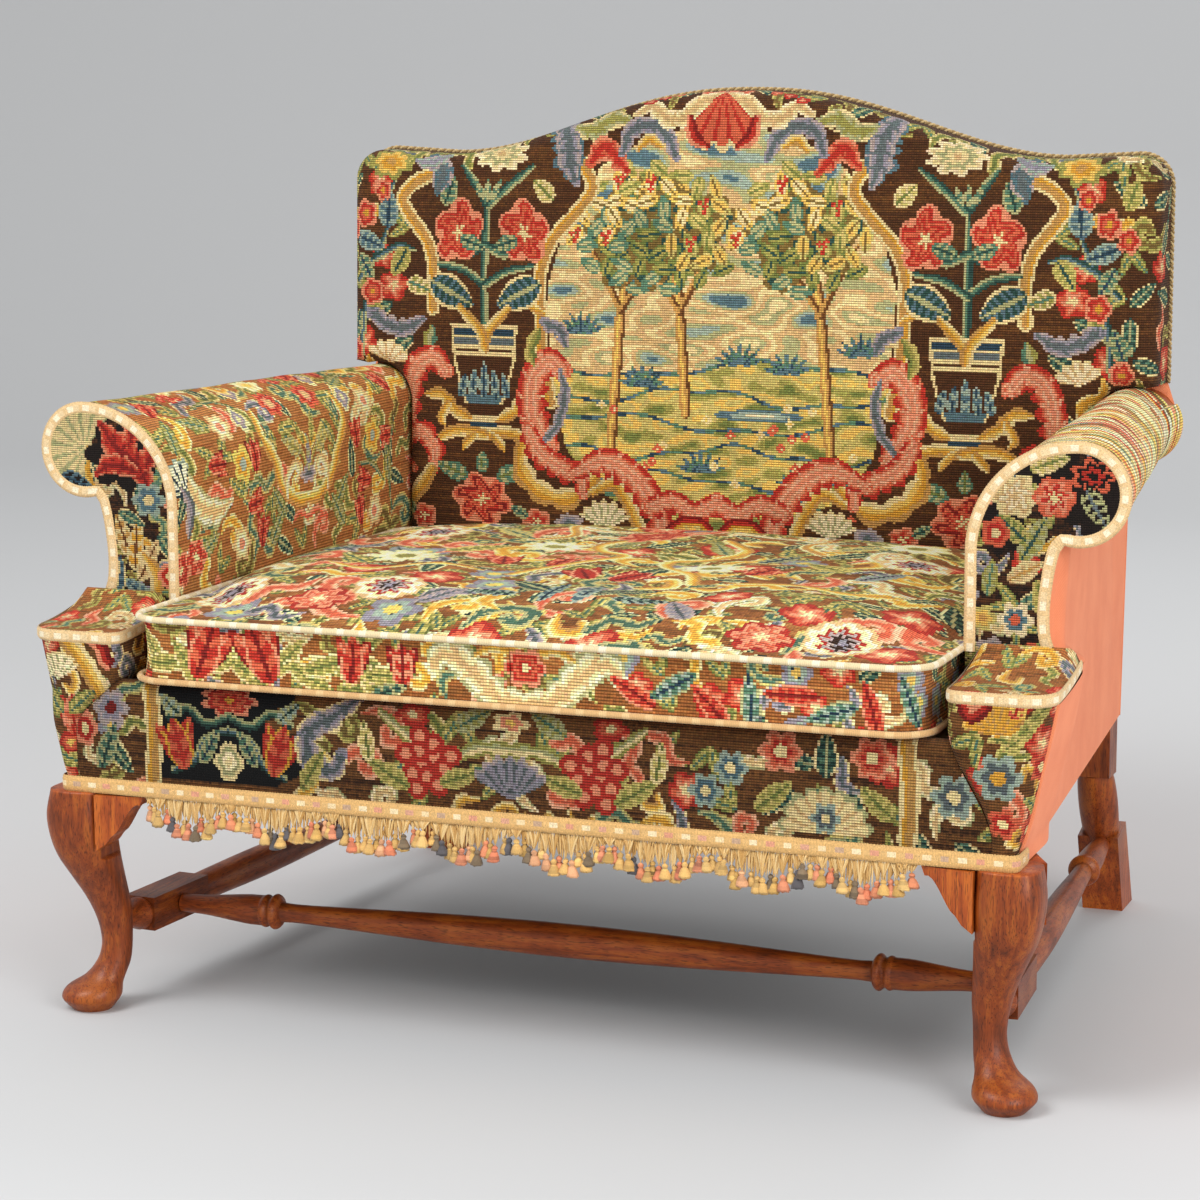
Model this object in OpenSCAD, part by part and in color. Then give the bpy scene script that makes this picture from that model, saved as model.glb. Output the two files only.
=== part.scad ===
// Needlework settee with a camel back, scrolled arms, cabriole front legs and turned stretchers.
// X runs along the seat, +Y to the back, +Z up; the origin is on the floor under the middle.

/* [Overall] */
// Height of the crest of the back
total_h = 1050; // [1000:5:1110]
// Width over the front seat rail with its cover
front_w = 1122; // [1080:2:1200]
// Width over the outside covers at the back posts
rear_w = 980; // [940:2:1040]
// Depth from the front rail cover to the back face of the back posts
frame_d = 832; // [790:2:880]

/* [Seat] */
// Height of the underside of the seat rails, which is the height of the front legs
rail_z = 265; // [240:1:290]
// Height of the seat rails
rail_h = 107; // [90:1:120]
// Thickness of the seat rails
rail_t = 28; // [22:1:34]
// Stuffing between the rails and the covers
stuff_t = 7; // [6:0.5:12]
// Thickness of the stuffed platform under the cushion
platform_t = 22; // [16:1:30]
// Width of one strip of webbing
web_w = 50; // [40:1:60]
// Thickness of webbing and base cloth
web_t = 1.5; // [1:0.1:2.5]
// Strips of webbing that run from side to side of the seat
seat_webs_across = 6; // [4:1:8]
// Strips of webbing that run from front to back of the seat
seat_webs_deep = 9; // [6:1:12]

/* [Cushion] */
// Height of the cushion's border
border_h = 74; // [60:1:100]
// Rise of the crowned top above the border
crown_h = 30; // [15:1:50]
// Overhang of the cushion in front of the rail cover
cushion_over = 20; // [18:1:30]
// Draw-in of the border between its two cords
draw_in = 4; // [1:0.5:8]
// Thickness of the cushion's cords
cord_d = 8; // [5:0.5:10]
// Side play between the cushion and the arms
cushion_play = 4; // [2:0.5:8]

/* [Arms] */
// Setback of the arm facing behind the front rail cover
facing_y = 120; // [90:1:150]
// Distance between the inside faces of the arms at the front
inner_w = 942; // [900:2:1000]
// Distance from the inside face of the arm to the axis of its roll, at the back
arm_back_w = 49; // [44:1:56]
// Thickness of the arm under its roll at the front
arm_t = 102; // [90:1:116]
// Height of the top of the arm roll at the front
arm_top_z = 699; // [670:1:730]
// Diameter of the arm roll at the front
roll_d = 110; // [96:1:124]
// Diameter of the arm roll at the back
roll_back_d = 100; // [90:1:112]
// Overhang of the roll's middle outside the neck of the arm, at the front
roll_out = 18; // [8:1:26]
// Fall of the arm roll towards the back
roll_fall = 10; // [0:1:20]
// Thickness of the needlework covers
cover_t = 4; // [3:0.5:6]
// Thickness of the stuffing under the arm covers
arm_stuff = 20; // [14:1:24]
// Thickness of the scroll boards
board_t = 20; // [16:1:26]
// Width of the braid on the arm facings
braid_w = 15; // [10:1:20]
// Thickness of the braids
braid_t = 3; // [2:0.5:4]

/* [Front blocks] */
// Height of the rim of the blocks over the front legs
block_z = 452; // [430:1:470]
// Outward flare of the block's rim over the rail cover
block_flare = 39; // [25:1:48]
// Distance of the block's rim from the middle of the seat
block_in = 484; // [476:1:500]

/* [Back] */
// Width of the back over its needlework, above the arms
back_w = 1082; // [1050:2:1130]
// Rise of the camel hump over the shoulders
hump_h = 83; // [50:1:110]
// Half of the hump's width
hump_half = 412; // [360:2:440]
// Radius of the top corners of the back
corner_r = 38; // [25:1:45]
// Thickness of the back at the seat
back_t = 94; // [80:1:110]
// Lean of the front of the back, from the seat to the crest
back_lean = 24; // [12:1:28]
// Thickness of the back frame's timber
post_t = 42; // [36:1:46]
// Width of the back posts
post_w = 46; // [40:1:52]
// Thickness of the plain outside covers
plain_t = 2.5; // [2:0.5:4]
// Thickness of the cord on the back
back_cord_d = 6; // [4:0.5:8]

/* [Legs] */
// Width of the front knees
knee_w = 72; // [64:1:80]
// Width of the front ankles
ankle_w = 36; // [32:1:44]
// Width of the pad feet
foot_w = 69; // [60:1:78]
// Sway of the knee and foot beyond the ankle, along each of X and Y
leg_sway = 25; // [16:1:30]
// Rake of the back feet behind the posts
foot_rake = 90; // [60:1:110]
// Width of the back feet
back_foot_w = 52; // [46:1:60]
// Diameter of the turned barrels of the back legs
barrel_d = 50; // [44:1:54]
// Height of the stretchers
stretcher_z = 98; // [85:1:110]
// Largest diameter of the stretchers
stretcher_d = 39; // [32:1:44]

/* [Trim] */
// Height of the gimp along the bottom of the front
gimp_h = 18; // [14:1:22]
// Length of the fringe between its scallops
fringe_short = 22; // [15:1:30]
// Extra length of the fringe at its scallops
scallop_h = 23; // [10:1:30]
// Number of scallops
scallops = 8; // [6:1:10]

/* [Hidden] */

gap = 0.3;
foot_back_y = frame_d + foot_rake;
mid_y = (foot_back_y - cushion_over) / 2;
rail_top = rail_z + rail_h;
web_top = rail_top + 2 * web_t;
hessian_z = web_top + gap;
platform_z = hessian_z + web_t + gap;
seat_z = platform_z + platform_t;
cushion_z = seat_z + gap;
cushion_top = cushion_z + border_h;
back_face_y = frame_d - back_t;
post_y = frame_d - post_t - plain_t - gap;
arm_end_y = back_face_y - gap;
lean_per_mm = back_lean / (total_h - seat_z);
// At the back posts, the neck lies outside the cloth and the roll's axis outside the neck.
neck_back = 6;
roll_out_back = 15;
wood = [0.50, 0.26, 0.14];
hidden_wood = [0.78, 0.62, 0.42];
plain_cloth = [0.86, 0.42, 0.33];
linen = [0.80, 0.74, 0.62];

function lerp(a, b, t) = a + (b - a) * t;
function clamp01(t) = min(1, max(0, t));
function ease(t) = let (c = clamp01(t)) c * c * (3 - 2 * c);
function side_x(y) = lerp(front_w, rear_w, y / frame_d) / 2;
function inner_x(y) = lerp(inner_w / 2, roll_x(frame_d) - arm_back_w, arm_share(y));
function sign_pow(v, p) = sign(v) * pow(abs(v), p);

// Cubic curve through the stations [position, value], with slopes from the neighbours.
function slope(tab, i) =
    let (a = tab[max(0, i - 1)], b = tab[min(len(tab) - 1, i + 1)])
    (b[1] - a[1]) / (b[0] - a[0]);
function find_span(tab, s, i = 0) =
    i >= len(tab) - 2 || s <= tab[i + 1][0] ? i : find_span(tab, s, i + 1);
function curve_at(tab, s) =
    let (
        i = find_span(tab, s),
        d = tab[i + 1][0] - tab[i][0],
        t = clamp01((s - tab[i][0]) / d),
        t2 = t * t,
        t3 = t2 * t
    )
    (2 * t3 - 3 * t2 + 1) * tab[i][1] + (t3 - 2 * t2 + t) * d * slope(tab, i)
    + (3 * t2 - 2 * t3) * tab[i + 1][1] + (t3 - t2) * d * slope(tab, i + 1);

// Moves a piece from front-rail coordinates to the part's origin.
module place() translate([0, -mid_y, 0]) children();
module left() place() mirror([1, 0, 0]) children();
module right() place() children();

// Closed mesh through rings of equally many points, with a fan on each end. The rings run
// anticlockwise as seen from the end that they advance to, or clockwise with flip.
module loft(rings, first, last, flip = false) {
    m = len(rings[0]);
    k = len(rings);
    points = [for (ring = rings) each ring, first, last];
    sides = [
        for (i = [0:k - 2], j = [0:m - 1])
            let (a = i * m + j, b = i * m + (j + 1) % m)
            each [[a, b, b + m], [a, b + m, a + m]]
    ];
    fans = [
        for (j = [0:m - 1])
            let (a = j, b = (j + 1) % m, c = (k - 1) * m)
            each [[k * m, b, a], [k * m + 1, c + a, c + b]]
    ];
    faces = concat(sides, fans);
    polyhedron(points, flip ? faces : [for (f = faces) [f[0], f[2], f[1]]]);
}

// Closed thin mesh between an outer and an inner grid of points. The first index runs to the
// left of the second as seen from the outside, or to its right with flip.
module skin(outer, inner, flip = false) {
    nu = len(outer) - 1;
    nv = len(outer[0]) - 1;
    n = (nu + 1) * (nv + 1);
    function at(i, j) = i * (nv + 1) + j;
    points = concat([for (row = outer) each row], [for (row = inner) each row]);
    sheets = [
        for (i = [0:nu - 1], j = [0:nv - 1])
            let (a = at(i, j), b = at(i + 1, j), c = at(i + 1, j + 1), d = at(i, j + 1))
            each [[a, b, c], [a, c, d], [n + a, n + c, n + b], [n + a, n + d, n + c]]
    ];
    ends = [
        for (i = [0:nu - 1])
            let (a = at(i, 0), b = at(i + 1, 0), c = at(i, nv), d = at(i + 1, nv))
            each [[a, n + b, b], [a, n + a, n + b], [c, d, n + d], [c, n + d, n + c]]
    ];
    rims = [
        for (j = [0:nv - 1])
            let (a = at(0, j), b = at(0, j + 1), c = at(nu, j), d = at(nu, j + 1))
            each [[a, b, n + b], [a, n + b, n + a], [c, n + d, d], [c, n + c, n + d]]
    ];
    faces = concat(sheets, ends, rims);
    polyhedron(points, flip ? [for (f = faces) [f[0], f[2], f[1]]] : faces);
}

// Cabriole front leg: stations are [share of the leg's height, share of the sway, share of width].
leg_x = front_w / 2 - 37;
leg_y = 46;
post_side = 50;
leg_sway_at = [
    [0, 0.88], [0.06, 0.9], [0.1, 0.78], [0.14, 0.45], [0.2, 0.14], [0.27, 0], [0.34, 0],
    [0.42, 0.08], [0.5, 0.26], [0.6, 0.56], [0.7, 0.85], [0.8, 1.02], [0.9, 1.08], [1, 1]];
leg_width_at = [
    [0, foot_w * 0.66], [0.02, foot_w * 0.8], [0.055, foot_w], [0.09, foot_w * 0.97],
    [0.14, foot_w * 0.7], [0.2, ankle_w * 1.11], [0.27, ankle_w], [0.34, ankle_w * 1.04],
    [0.42, ankle_w * 1.18], [0.5, ankle_w * 1.33], [0.6, ankle_w * 1.58],
    [0.7, knee_w * 0.92], [0.8, knee_w * 0.985], [0.87, knee_w], [1, knee_w * 0.93]];
function leg_ring(s) =
    let (
        sway = leg_sway * curve_at(leg_sway_at, s),
        r = curve_at(leg_width_at, s) / 2,
        n = lerp(2, 2.9, ease((s - 0.3) / 0.5))
    )
    [
        for (k = [0:31])
            let (
                a = 360 * k / 32,
                x = leg_x + sway + r * sign_pow(cos(a), 2 / n),
                y = leg_y - sway + r * sign_pow(sin(a), 2 / n)
            )
            [s > ear_share ? max(x, knee_in_x) : x, s > ear_share ? min(y, knee_back_y) : y, rail_z * s]
    ];
leg_levels = [
    0, 0.015, 0.035, 0.055, 0.075, 0.095, 0.115, 0.14, 0.165, 0.19, 0.22, 0.26, 0.3, 0.35, 0.4,
    0.45, 0.5, 0.55, 0.6, 0.65, 0.7, 0.75, 0.8, 0.85, 0.9, 0.94, 0.975, 1];
module front_leg() color(wood) {
    rings = [for (s = leg_levels) leg_ring(s)];
    sway_top = leg_sway * curve_at(leg_sway_at, 1);
    sway_foot = leg_sway * curve_at(leg_sway_at, 0);
    loft(rings, [leg_x + sway_foot, leg_y - sway_foot, 0], [leg_x + sway_top, leg_y - sway_top, rail_z]);
    translate([corner_x - post_side, corner_y, rail_z - 1]) cube([post_side, post_side, rail_h + 1]);
}
// Outer front corner of the leg's post, inside the covers.
corner_x = side_x(0) - stuff_t - cover_t;
corner_y = stuff_t;

// Ear beside the knee, drawn as a profile from the rail down to the leg.
ear_len = 58;
ear_drop = 66;
ear_profile = concat(
    [[0, 0], [ear_len, 0]],
    [for (t = [0:0.125:1]) [ear_len - 4 - 34 * t, -10 - 38 * ease(t) + 5 * sin(180 * t)]],
    [[18, -50], [12, -58], [0, -ear_drop]]);
module ear(depth) rotate([90, 0, 0]) linear_extrude(height = depth) polygon(ear_profile);
// Flat faces on the inside and the back of the knee take the ears.
knee_out = leg_sway * 1.05;
knee_in_x = leg_x + knee_out - knee_w * 0.46;
knee_back_y = leg_y - knee_out + knee_w * 0.46;
ear_share = 1 - (ear_drop + 14) / rail_z;
ear_front_y = leg_y - knee_out - knee_w * 0.42;
ear_depth = 36;
ear_top = rail_z - 1 - gap;
module knee_bracket_front() color(wood) intersection() {
    translate([knee_in_x - gap, knee_w, ear_top]) mirror([1, 0, 0]) ear(2 * knee_w);
    linear_extrude(height = rail_z) polygon([
        [knee_in_x, ear_front_y], [knee_in_x, ear_front_y + ear_depth],
        [knee_in_x - ear_len - 1, ear_front_y + ear_depth],
        [knee_in_x - ear_len - 1, 0], [knee_in_x - ear_len * 0.45, ear_front_y * 0.6]]);
}
module knee_bracket_side() color(wood) intersection() {
    out_x = leg_x + knee_out + knee_w * 0.42;
    translate([0, knee_back_y + gap, ear_top]) rotate([0, 0, 90]) ear(front_w);
    linear_extrude(height = rail_z) polygon([
        [out_x, knee_back_y], [out_x - ear_depth, knee_back_y],
        [out_x - ear_depth, knee_back_y + ear_len + 1],
        [side_x(knee_back_y + ear_len) - 2, knee_back_y + ear_len + 1],
        [out_x - (out_x - side_x(leg_y)) * 0.6, knee_back_y + ear_len * 0.45]]);
}

// Back post: one piece with the raked back leg and its block foot.
post_x = side_x(frame_d) - plain_t - gap;
turn_low = 0.41;
turn_high = 0.72;
batten_x = back_w / 2 - 20;
post_top_z = total_h - hump_h - 67;
foot_x = post_x - post_w / 2 + 2;
foot_t = 48;
foot_y = foot_back_y - 50;
foot_low = 60;
function foot_front(z) =
    lerp(foot_back_y - foot_low, foot_y - foot_t, z / (rail_z * turn_low - 4));
// Outline of the roll's end from its neck round to where it passes a given x.
function scroll_points(d, x_end) =
    let (
        r = roll_r(frame_d) - d,
        a_end = acos(max(-1, min(1, (x_end - roll_x(frame_d)) / r)))
    )
    [
        for (k = [0:12])
            let (a = lerp(roll_end_a, a_end, k / 12))
            [roll_x(frame_d) + r * cos(a), roll_z(frame_d) + r * sin(a)]
    ];
module back_post() color(wood) {
    y1 = post_y + post_t;
    turn_z = rail_z * turn_high;
    // Square part at the rail and the stile above it, which flares out over the arm.
    translate([0, y1, 0]) rotate([90, 0, 0]) linear_extrude(height = post_t) polygon(concat(
        [[post_x - post_w, turn_z], [post_x, turn_z]],
        [[post_x, roll_z(post_y) - roll_r(post_y) + cover_t + 3]],
        scroll_points(cover_t + 2 * gap, batten_x),
        [[batten_x, post_top_z], [post_x - post_w, post_top_z]]));
    back_foot(0);
}
// Turned barrel and the wedge-shaped block foot under it, with clearance c.
module back_foot(c) {
    foot_z = rail_z * turn_low;
    barrel_a = [foot_x, foot_y - foot_t / 2, foot_z - 8];
    barrel_b = [post_x - post_w / 2, post_y + post_t / 2, rail_z * turn_high + 6];
    r = barrel_d / 2;
    turned(barrel_a, barrel_b,
        [[0, r * 0.88 + c], [0.15, r * 0.94 + c], [0.5, r + c], [0.85, r * 0.94 + c], [1, r * 0.8 + c]],
        12);
    translate([foot_x - back_foot_w / 2, 0, 0]) rotate([90, 0, 90])
        linear_extrude(height = back_foot_w) polygon([
            [foot_back_y - foot_low - c, 0], [foot_back_y, 0], [foot_y, foot_z + 8 + c],
            [foot_y - foot_t - c, foot_z - 4 + c]]);
}

// Turned bar between two points; stations are [share of the length, radius].
module turned(a, b, tab, steps) {
    d = b - a;
    len = norm(d);
    profile = concat(
        [[0, 0]],
        [for (i = [0:steps]) [curve_at(tab, i / steps), len * i / steps]],
        [[0, len]]);
    translate(a) rotate([0, acos(d[2] / len), atan2(d[1], d[0])])
        rotate_extrude($fn = 48) polygon(profile);
}

// Turned stretchers. The side stretcher has a square block that takes the cross stretcher.
stretch_front = [leg_x, leg_y + 8, stretcher_z];
stretch_back = [foot_x + 3, foot_front(stretcher_z) + 14, stretcher_z - 3];
stretch_dir = (stretch_back - stretch_front) / norm(stretch_back - stretch_front);
stretch_len = norm(stretch_back - stretch_front);
block_from = 43;
block_len = 120;
block_side = 40;
cross_at = block_from + block_len / 2;
// Distance of the cross stretcher's rings from its ends.
cross_ring = 124;
sr = stretcher_d / 2;
module stretcher_bar(from, to, tab, steps) turned(
    stretch_front + stretch_dir * from, stretch_front + stretch_dir * to, tab, steps);
module side_stretcher() color(wood) difference() {
    side_stretcher_bars();
    // Coped to the ankle.
    s = (stretcher_z + 10) / rail_z;
    sway = leg_sway * curve_at(leg_sway_at, s);
    translate([leg_x + sway, leg_y - sway, stretcher_z - 40])
        cylinder(h = 80, r = curve_at(leg_width_at, s) / 2 + 2 * gap, $fn = 64);
    back_foot(gap);
}
module side_stretcher_bars() {
    turn = atan2(-stretch_dir[0], stretch_dir[1]);
    stretcher_bar(0, block_from + 1, [[0, 10], [0.5, 14], [0.8, 18.5], [0.9, 20], [1, 18]], 14);
    translate(stretch_front) rotate([0, 0, turn])
        translate([-block_side / 2, block_from, -block_side / 2 - 0.5])
            cube([block_side, block_len, block_side]);
    rear_ring = stretch_len - 164;
    stretcher_bar(block_from + block_len - 1, rear_ring,
        [[0, sr - 2], [0.1, sr - 1], [0.35, sr], [0.7, sr * 0.82], [0.94, sr * 0.62], [1, sr * 0.6]], 30);
    stretcher_bar(rear_ring - 0.5, rear_ring + 24,
        [
            [0, sr * 0.62], [0.2, sr * 0.95], [0.42, sr], [0.6, sr * 0.8], [0.75, sr * 0.92],
            [1, sr * 0.85]
        ], 20);
    stretcher_bar(rear_ring + 23.5, stretch_len,
        [[0, sr * 0.85], [0.35, sr * 0.8], [1, sr * 0.5]], 12);
}
module cross_stretcher() color(wood) place() {
    p = stretch_front + stretch_dir * cross_at;
    half = p[0] - block_side / 2 * (1 + abs(stretch_dir[0])) - gap;
    ring = half - cross_ring;
    for (s = [-1, 1]) {
        turned([s * half, p[1], p[2]], [s * (ring + 16), p[1], p[2]],
            [[0, 11], [0.3, 12], [0.8, 17.5], [1, 18]], 14);
        turned([s * (ring + 16.5), p[1], p[2]], [s * (ring - 8), p[1], p[2]],
            [[0, 18], [0.2, 19.5], [0.42, 17], [0.65, 21], [0.85, 19], [1, 13]], 20);
        turned([s * (ring - 7.5), p[1], p[2]], [-s * 0.5, p[1], p[2]],
            [[0, 12], [0.05, 11], [0.2, 12.5], [0.6, 17.5], [0.9, sr], [1, sr]], 24);
    }
}

// Seat frame.
module front_seat_rail() color(hidden_wood) place()
    translate([-(corner_x - post_side), corner_y, rail_z])
        cube([2 * (corner_x - post_side), rail_t, rail_h]);
module back_seat_rail() color(hidden_wood) place()
    translate([-(post_x - post_w), post_y + 6, rail_z])
        cube([2 * (post_x - post_w), rail_t, rail_h]);
module side_seat_rail() color(hidden_wood)
    translate([0, 0, rail_z]) linear_extrude(height = rail_h) polygon([
        [side_rail_x(corner_y + post_side), corner_y + post_side],
        [side_rail_x(post_y), post_y],
        [side_rail_x(post_y) - rail_t, post_y],
        [side_rail_x(corner_y + post_side) - rail_t, corner_y + post_side]]);
function side_rail_x(y) = lerp(corner_x, post_x, (y - corner_y) / (frame_d - corner_y)) - gap;
block_leg = 70;
module corner_block(x, y, sx, sy) translate([x, y, rail_z + 20])
    linear_extrude(height = rail_h - 40)
        polygon([[0, 0], [sx * block_leg, 0], [0, sy * block_leg]]);
module corner_blocks() color(hidden_wood) place() for (s = [-1, 1]) {
    corner_block(s * (corner_x - post_side), corner_y + rail_t, -s, 1);
    corner_block(s * (post_x - post_w), post_y + 6, -s, -1);
}
brace_w = 60;
module seat_brace() color(hidden_wood) place()
    translate([-brace_w / 2, corner_y + rail_t, rail_z + 12])
        cube([brace_w, post_y + 6 - corner_y - rail_t, 40]);
module seat_webbing() color(linen) place() {
    y0 = corner_y + 4;
    y1 = post_y + 6 + rail_t;
    across_y0 = cover_from + board_t + 6;
    pitch_y = (post_y - 2 - across_y0 - web_w) / (seat_webs_across - 1);
    for (i = [0:seat_webs_across - 1])
        let (y = across_y0 + i * pitch_y, half = side_rail_x(y + web_w) - 3)
        translate([-half, y, rail_top]) cube([2 * half, web_w, web_t]);
    half = post_x - post_w - 2;
    pitch_x = (2 * half - web_w) / (seat_webs_deep - 1);
    for (i = [0:seat_webs_deep - 1])
        translate([-half + i * pitch_x, y0, rail_top + web_t]) cube([web_w, y1 - y0, web_t]);
}
platform_front = 14;
platform_half = min(inner_x(0), inner_x(frame_d)) - 3;
module seat_hessian() color(linen) place()
    translate([-platform_half, platform_front, hessian_z])
        cube([2 * platform_half, back_face_y - platform_front - 2, web_t]);
module seat_platform() color(linen) place() {
    r = 10;
    translate([-platform_half, platform_front, platform_z]) difference() {
        cube([2 * platform_half, back_face_y - platform_front - 2, platform_t]);
        translate([-1, 0, platform_t - r]) rotate([0, 90, 0])
            linear_extrude(height = 2 * platform_half + 2)
                difference() {
                    translate([-r - 1, -1]) square([r + 1, r + 1]);
                    translate([0, r]) circle(r = r, $fn = 40);
                }
    }
}
module bottom_lining() color([0.12, 0.11, 0.11]) place()
    translate([0, 0, rail_z - web_t]) linear_extrude(height = web_t) polygon(mirrored([
        [lining_x(lining_y1), lining_y1], [lining_x(lining_y0), lining_y0],
        [lining_front_x, lining_y0], [lining_front_x, corner_y + 3]]));
lining_y0 = corner_y + post_side + 62;
lining_y1 = post_y - 4;
// Half of its width between the ears of the front knees.
lining_front_x = knee_in_x - ear_len - 6;
function lining_x(y) = side_rail_x(y) - 6;
tack_pitch = 85;
module tack(x, y) translate([x, y, rail_z - web_t - 1.2]) cylinder(h = 1.2, d = 8, $fn = 24);
module lining_tacks() color([0.2, 0.2, 0.22]) place() {
    n_x = floor(2 * (lining_x(lining_y0) - 20) / tack_pitch);
    n_y = floor((lining_y1 - lining_y0 - 30) / tack_pitch);
    for (i = [0:n_x], y = [lining_y0 + 8, lining_y1 - 8])
        tack(lerp(-1, 1, i / n_x) * (lining_x(y) - 14), y);
    for (i = [1:n_y - 1], s = [-1, 1])
        let (y = lerp(lining_y0 + 8, lining_y1 - 8, i / n_y)) tack(s * (lining_x(y) - 8), y);
}

// Arm section at depth y, as a path from the seat up the inside, round the roll to the neck.
neck_z = arm_top_z - roll_d;
function arm_share(y) = clamp01((y - facing_y) / (arm_end_y - facing_y));
function neck_x(y) = lerp(inner_w / 2 + arm_t, side_x(frame_d) + neck_back, arm_share(y));
function roll_r(y) = lerp(roll_d, roll_back_d, arm_share(y)) / 2;
function roll_x(y) = neck_x(y) + lerp(roll_out, roll_out_back, arm_share(y));
function roll_z(y) = arm_top_z - roll_d / 2 - roll_fall / 2 * arm_share(y);
arm_base_z = web_top + gap;
stay_z = web_top + 6;
stay_h = 36;
arc_steps = 9;
roll_steps = 14;
// The path is drawn in by d from the outside, so that one function gives every layer.
function arm_path(y, d, base = arm_base_z) =
    let (
        xi = inner_x(y) + d,
        rx = roll_x(y),
        rr = roll_r(y) - d,
        top = roll_z(y) + rr,
        wide = rx - xi,
        tall = min(wide, top - base - 40)
    )
    concat(
        [for (i = [0:3]) [xi, y, lerp(base, top - tall, i / 3)]],
        [
            for (i = [1:arc_steps])
                let (a = 180 - 90 * i / arc_steps)
                [rx + wide * cos(a), y, top - tall + tall * sin(a)]
        ],
        [
            for (i = [1:roll_steps])
                let (a = lerp(90, roll_end_a, i / roll_steps))
                [rx + rr * cos(a), y, roll_z(y) + rr * sin(a)]
        ]
    );
roll_end_a = -105;
cover_from = facing_y + cover_t * 2 + gap;
// The cover ends at the post on the inside, and wraps over the post's scroll outside it.
cover_back_y = frame_d - plain_t - gap;
path_last = 3 + arc_steps + roll_steps;
function cover_end(i) =
    i > 3 + arc_steps && (arm_path(frame_d, 0)[i][0] > batten_x + 12 || i > path_last - 6)
        ? cover_back_y : post_y - gap;
function cover_grid(d) = [
    for (t = [0, 0.5, 1]) arm_path(lerp(cover_from, arm_end_y, t), d),
    [for (i = [0:path_last]) arm_path(cover_end(i), d)[i]]
];
module arm_cover() color([0.66, 0.44, 0.26]) skin(cover_grid(0), cover_grid(cover_t));
module arm_stuffing() color([0.35, 0.30, 0.24]) {
    y0 = cover_from + board_t + gap;
    y1 = post_y - 2 * gap;
    d = cover_t + gap;
    base = stay_z + stay_h + gap;
    rows = [y0, lerp(y0, arm_end_y, 0.5), arm_end_y, y1];
    skin([for (y = rows) arm_path(y, d, base)], [for (y = rows) arm_path(y, d + arm_stuff, base)]);
}

// Outline of the arm facing, with its foot spreading onto the block.
function facing_outline(d, base) =
    let (
        y = facing_y,
        path = arm_path(y, d, base),
        nx = neck_x(y)
    )
    concat(
        [for (p = path) [p[0], p[2]]],
        [
            [nx - d - 3, neck_z - 6 + d], [nx - d - 8, neck_z - 30], [nx - d - 12, neck_z - 65],
            [nx - d - 11, neck_z - 95], [nx - d - 4, block_z + 18],
            [nx - d - 2, base]
        ]);
module facing_plate(d, y0, t, base = arm_base_z)
    translate([0, y0 + t, 0]) rotate([90, 0, 0]) linear_extrude(height = t)
        polygon(facing_outline(d, base));
module arm_facing() color([0.55, 0.40, 0.30]) difference() {
    facing_plate(0, facing_y, 2 * cover_t);
    translate([0, facing_y - 1, 0]) cube([front_w, 4 * cover_t, block_z + 6]);
}
module arm_scroll_board() color(hidden_wood)
    facing_plate(cover_t + gap + 4, facing_y + 2 * cover_t + gap, board_t, rail_top);
module arm_braid() color([0.93, 0.84, 0.66]) difference() {
    facing_plate(-1, facing_y - braid_t, braid_t);
    facing_plate(braid_w - 1, facing_y - braid_t - 1, braid_t + 2);
    translate([0, facing_y - 2 * braid_t, 0]) cube([front_w, 4 * braid_t, block_z + 20]);
}
arm_rail_r = min(roll_back_d / 2, arm_back_w) - cover_t - gap - arm_stuff - 8;
// Round rail on the roll's axis, cut square to the board and the post that it joins.
module arm_roll_rail() color(hidden_wood) {
    y0 = cover_from + board_t;
    spare = 6;
    a = [roll_x(y0), y0, roll_z(y0)];
    b = [roll_x(arm_end_y), arm_end_y, roll_z(arm_end_y)];
    dir = (b - a) / (b[1] - a[1]);
    intersection() {
        turned(a - dir * spare, a + dir * (post_y - y0 + spare), [[0, arm_rail_r], [1, arm_rail_r]], 1);
        translate([0, y0, 0]) cube([front_w, post_y - y0, total_h]);
    }
}
// Stay rail at the arm's base, which follows the cover to the back's pad and ends at the post.
stay_play = 1;
stay_front_t = 20;
stay_back_t = 16;
module arm_stay_rail() color(hidden_wood) {
    ys = [cover_from + board_t, arm_end_y, post_y];
    inside = [for (y = ys) inner_x(y) + cover_t + stay_play];
    translate([0, 0, stay_z]) linear_extrude(height = stay_h) polygon(concat(
        [for (i = [0:2]) [inside[i], ys[i]]],
        [for (i = [2:-1:0]) [inside[i] + lerp(stay_front_t, stay_back_t, i / 2), ys[i]]]));
}

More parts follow.
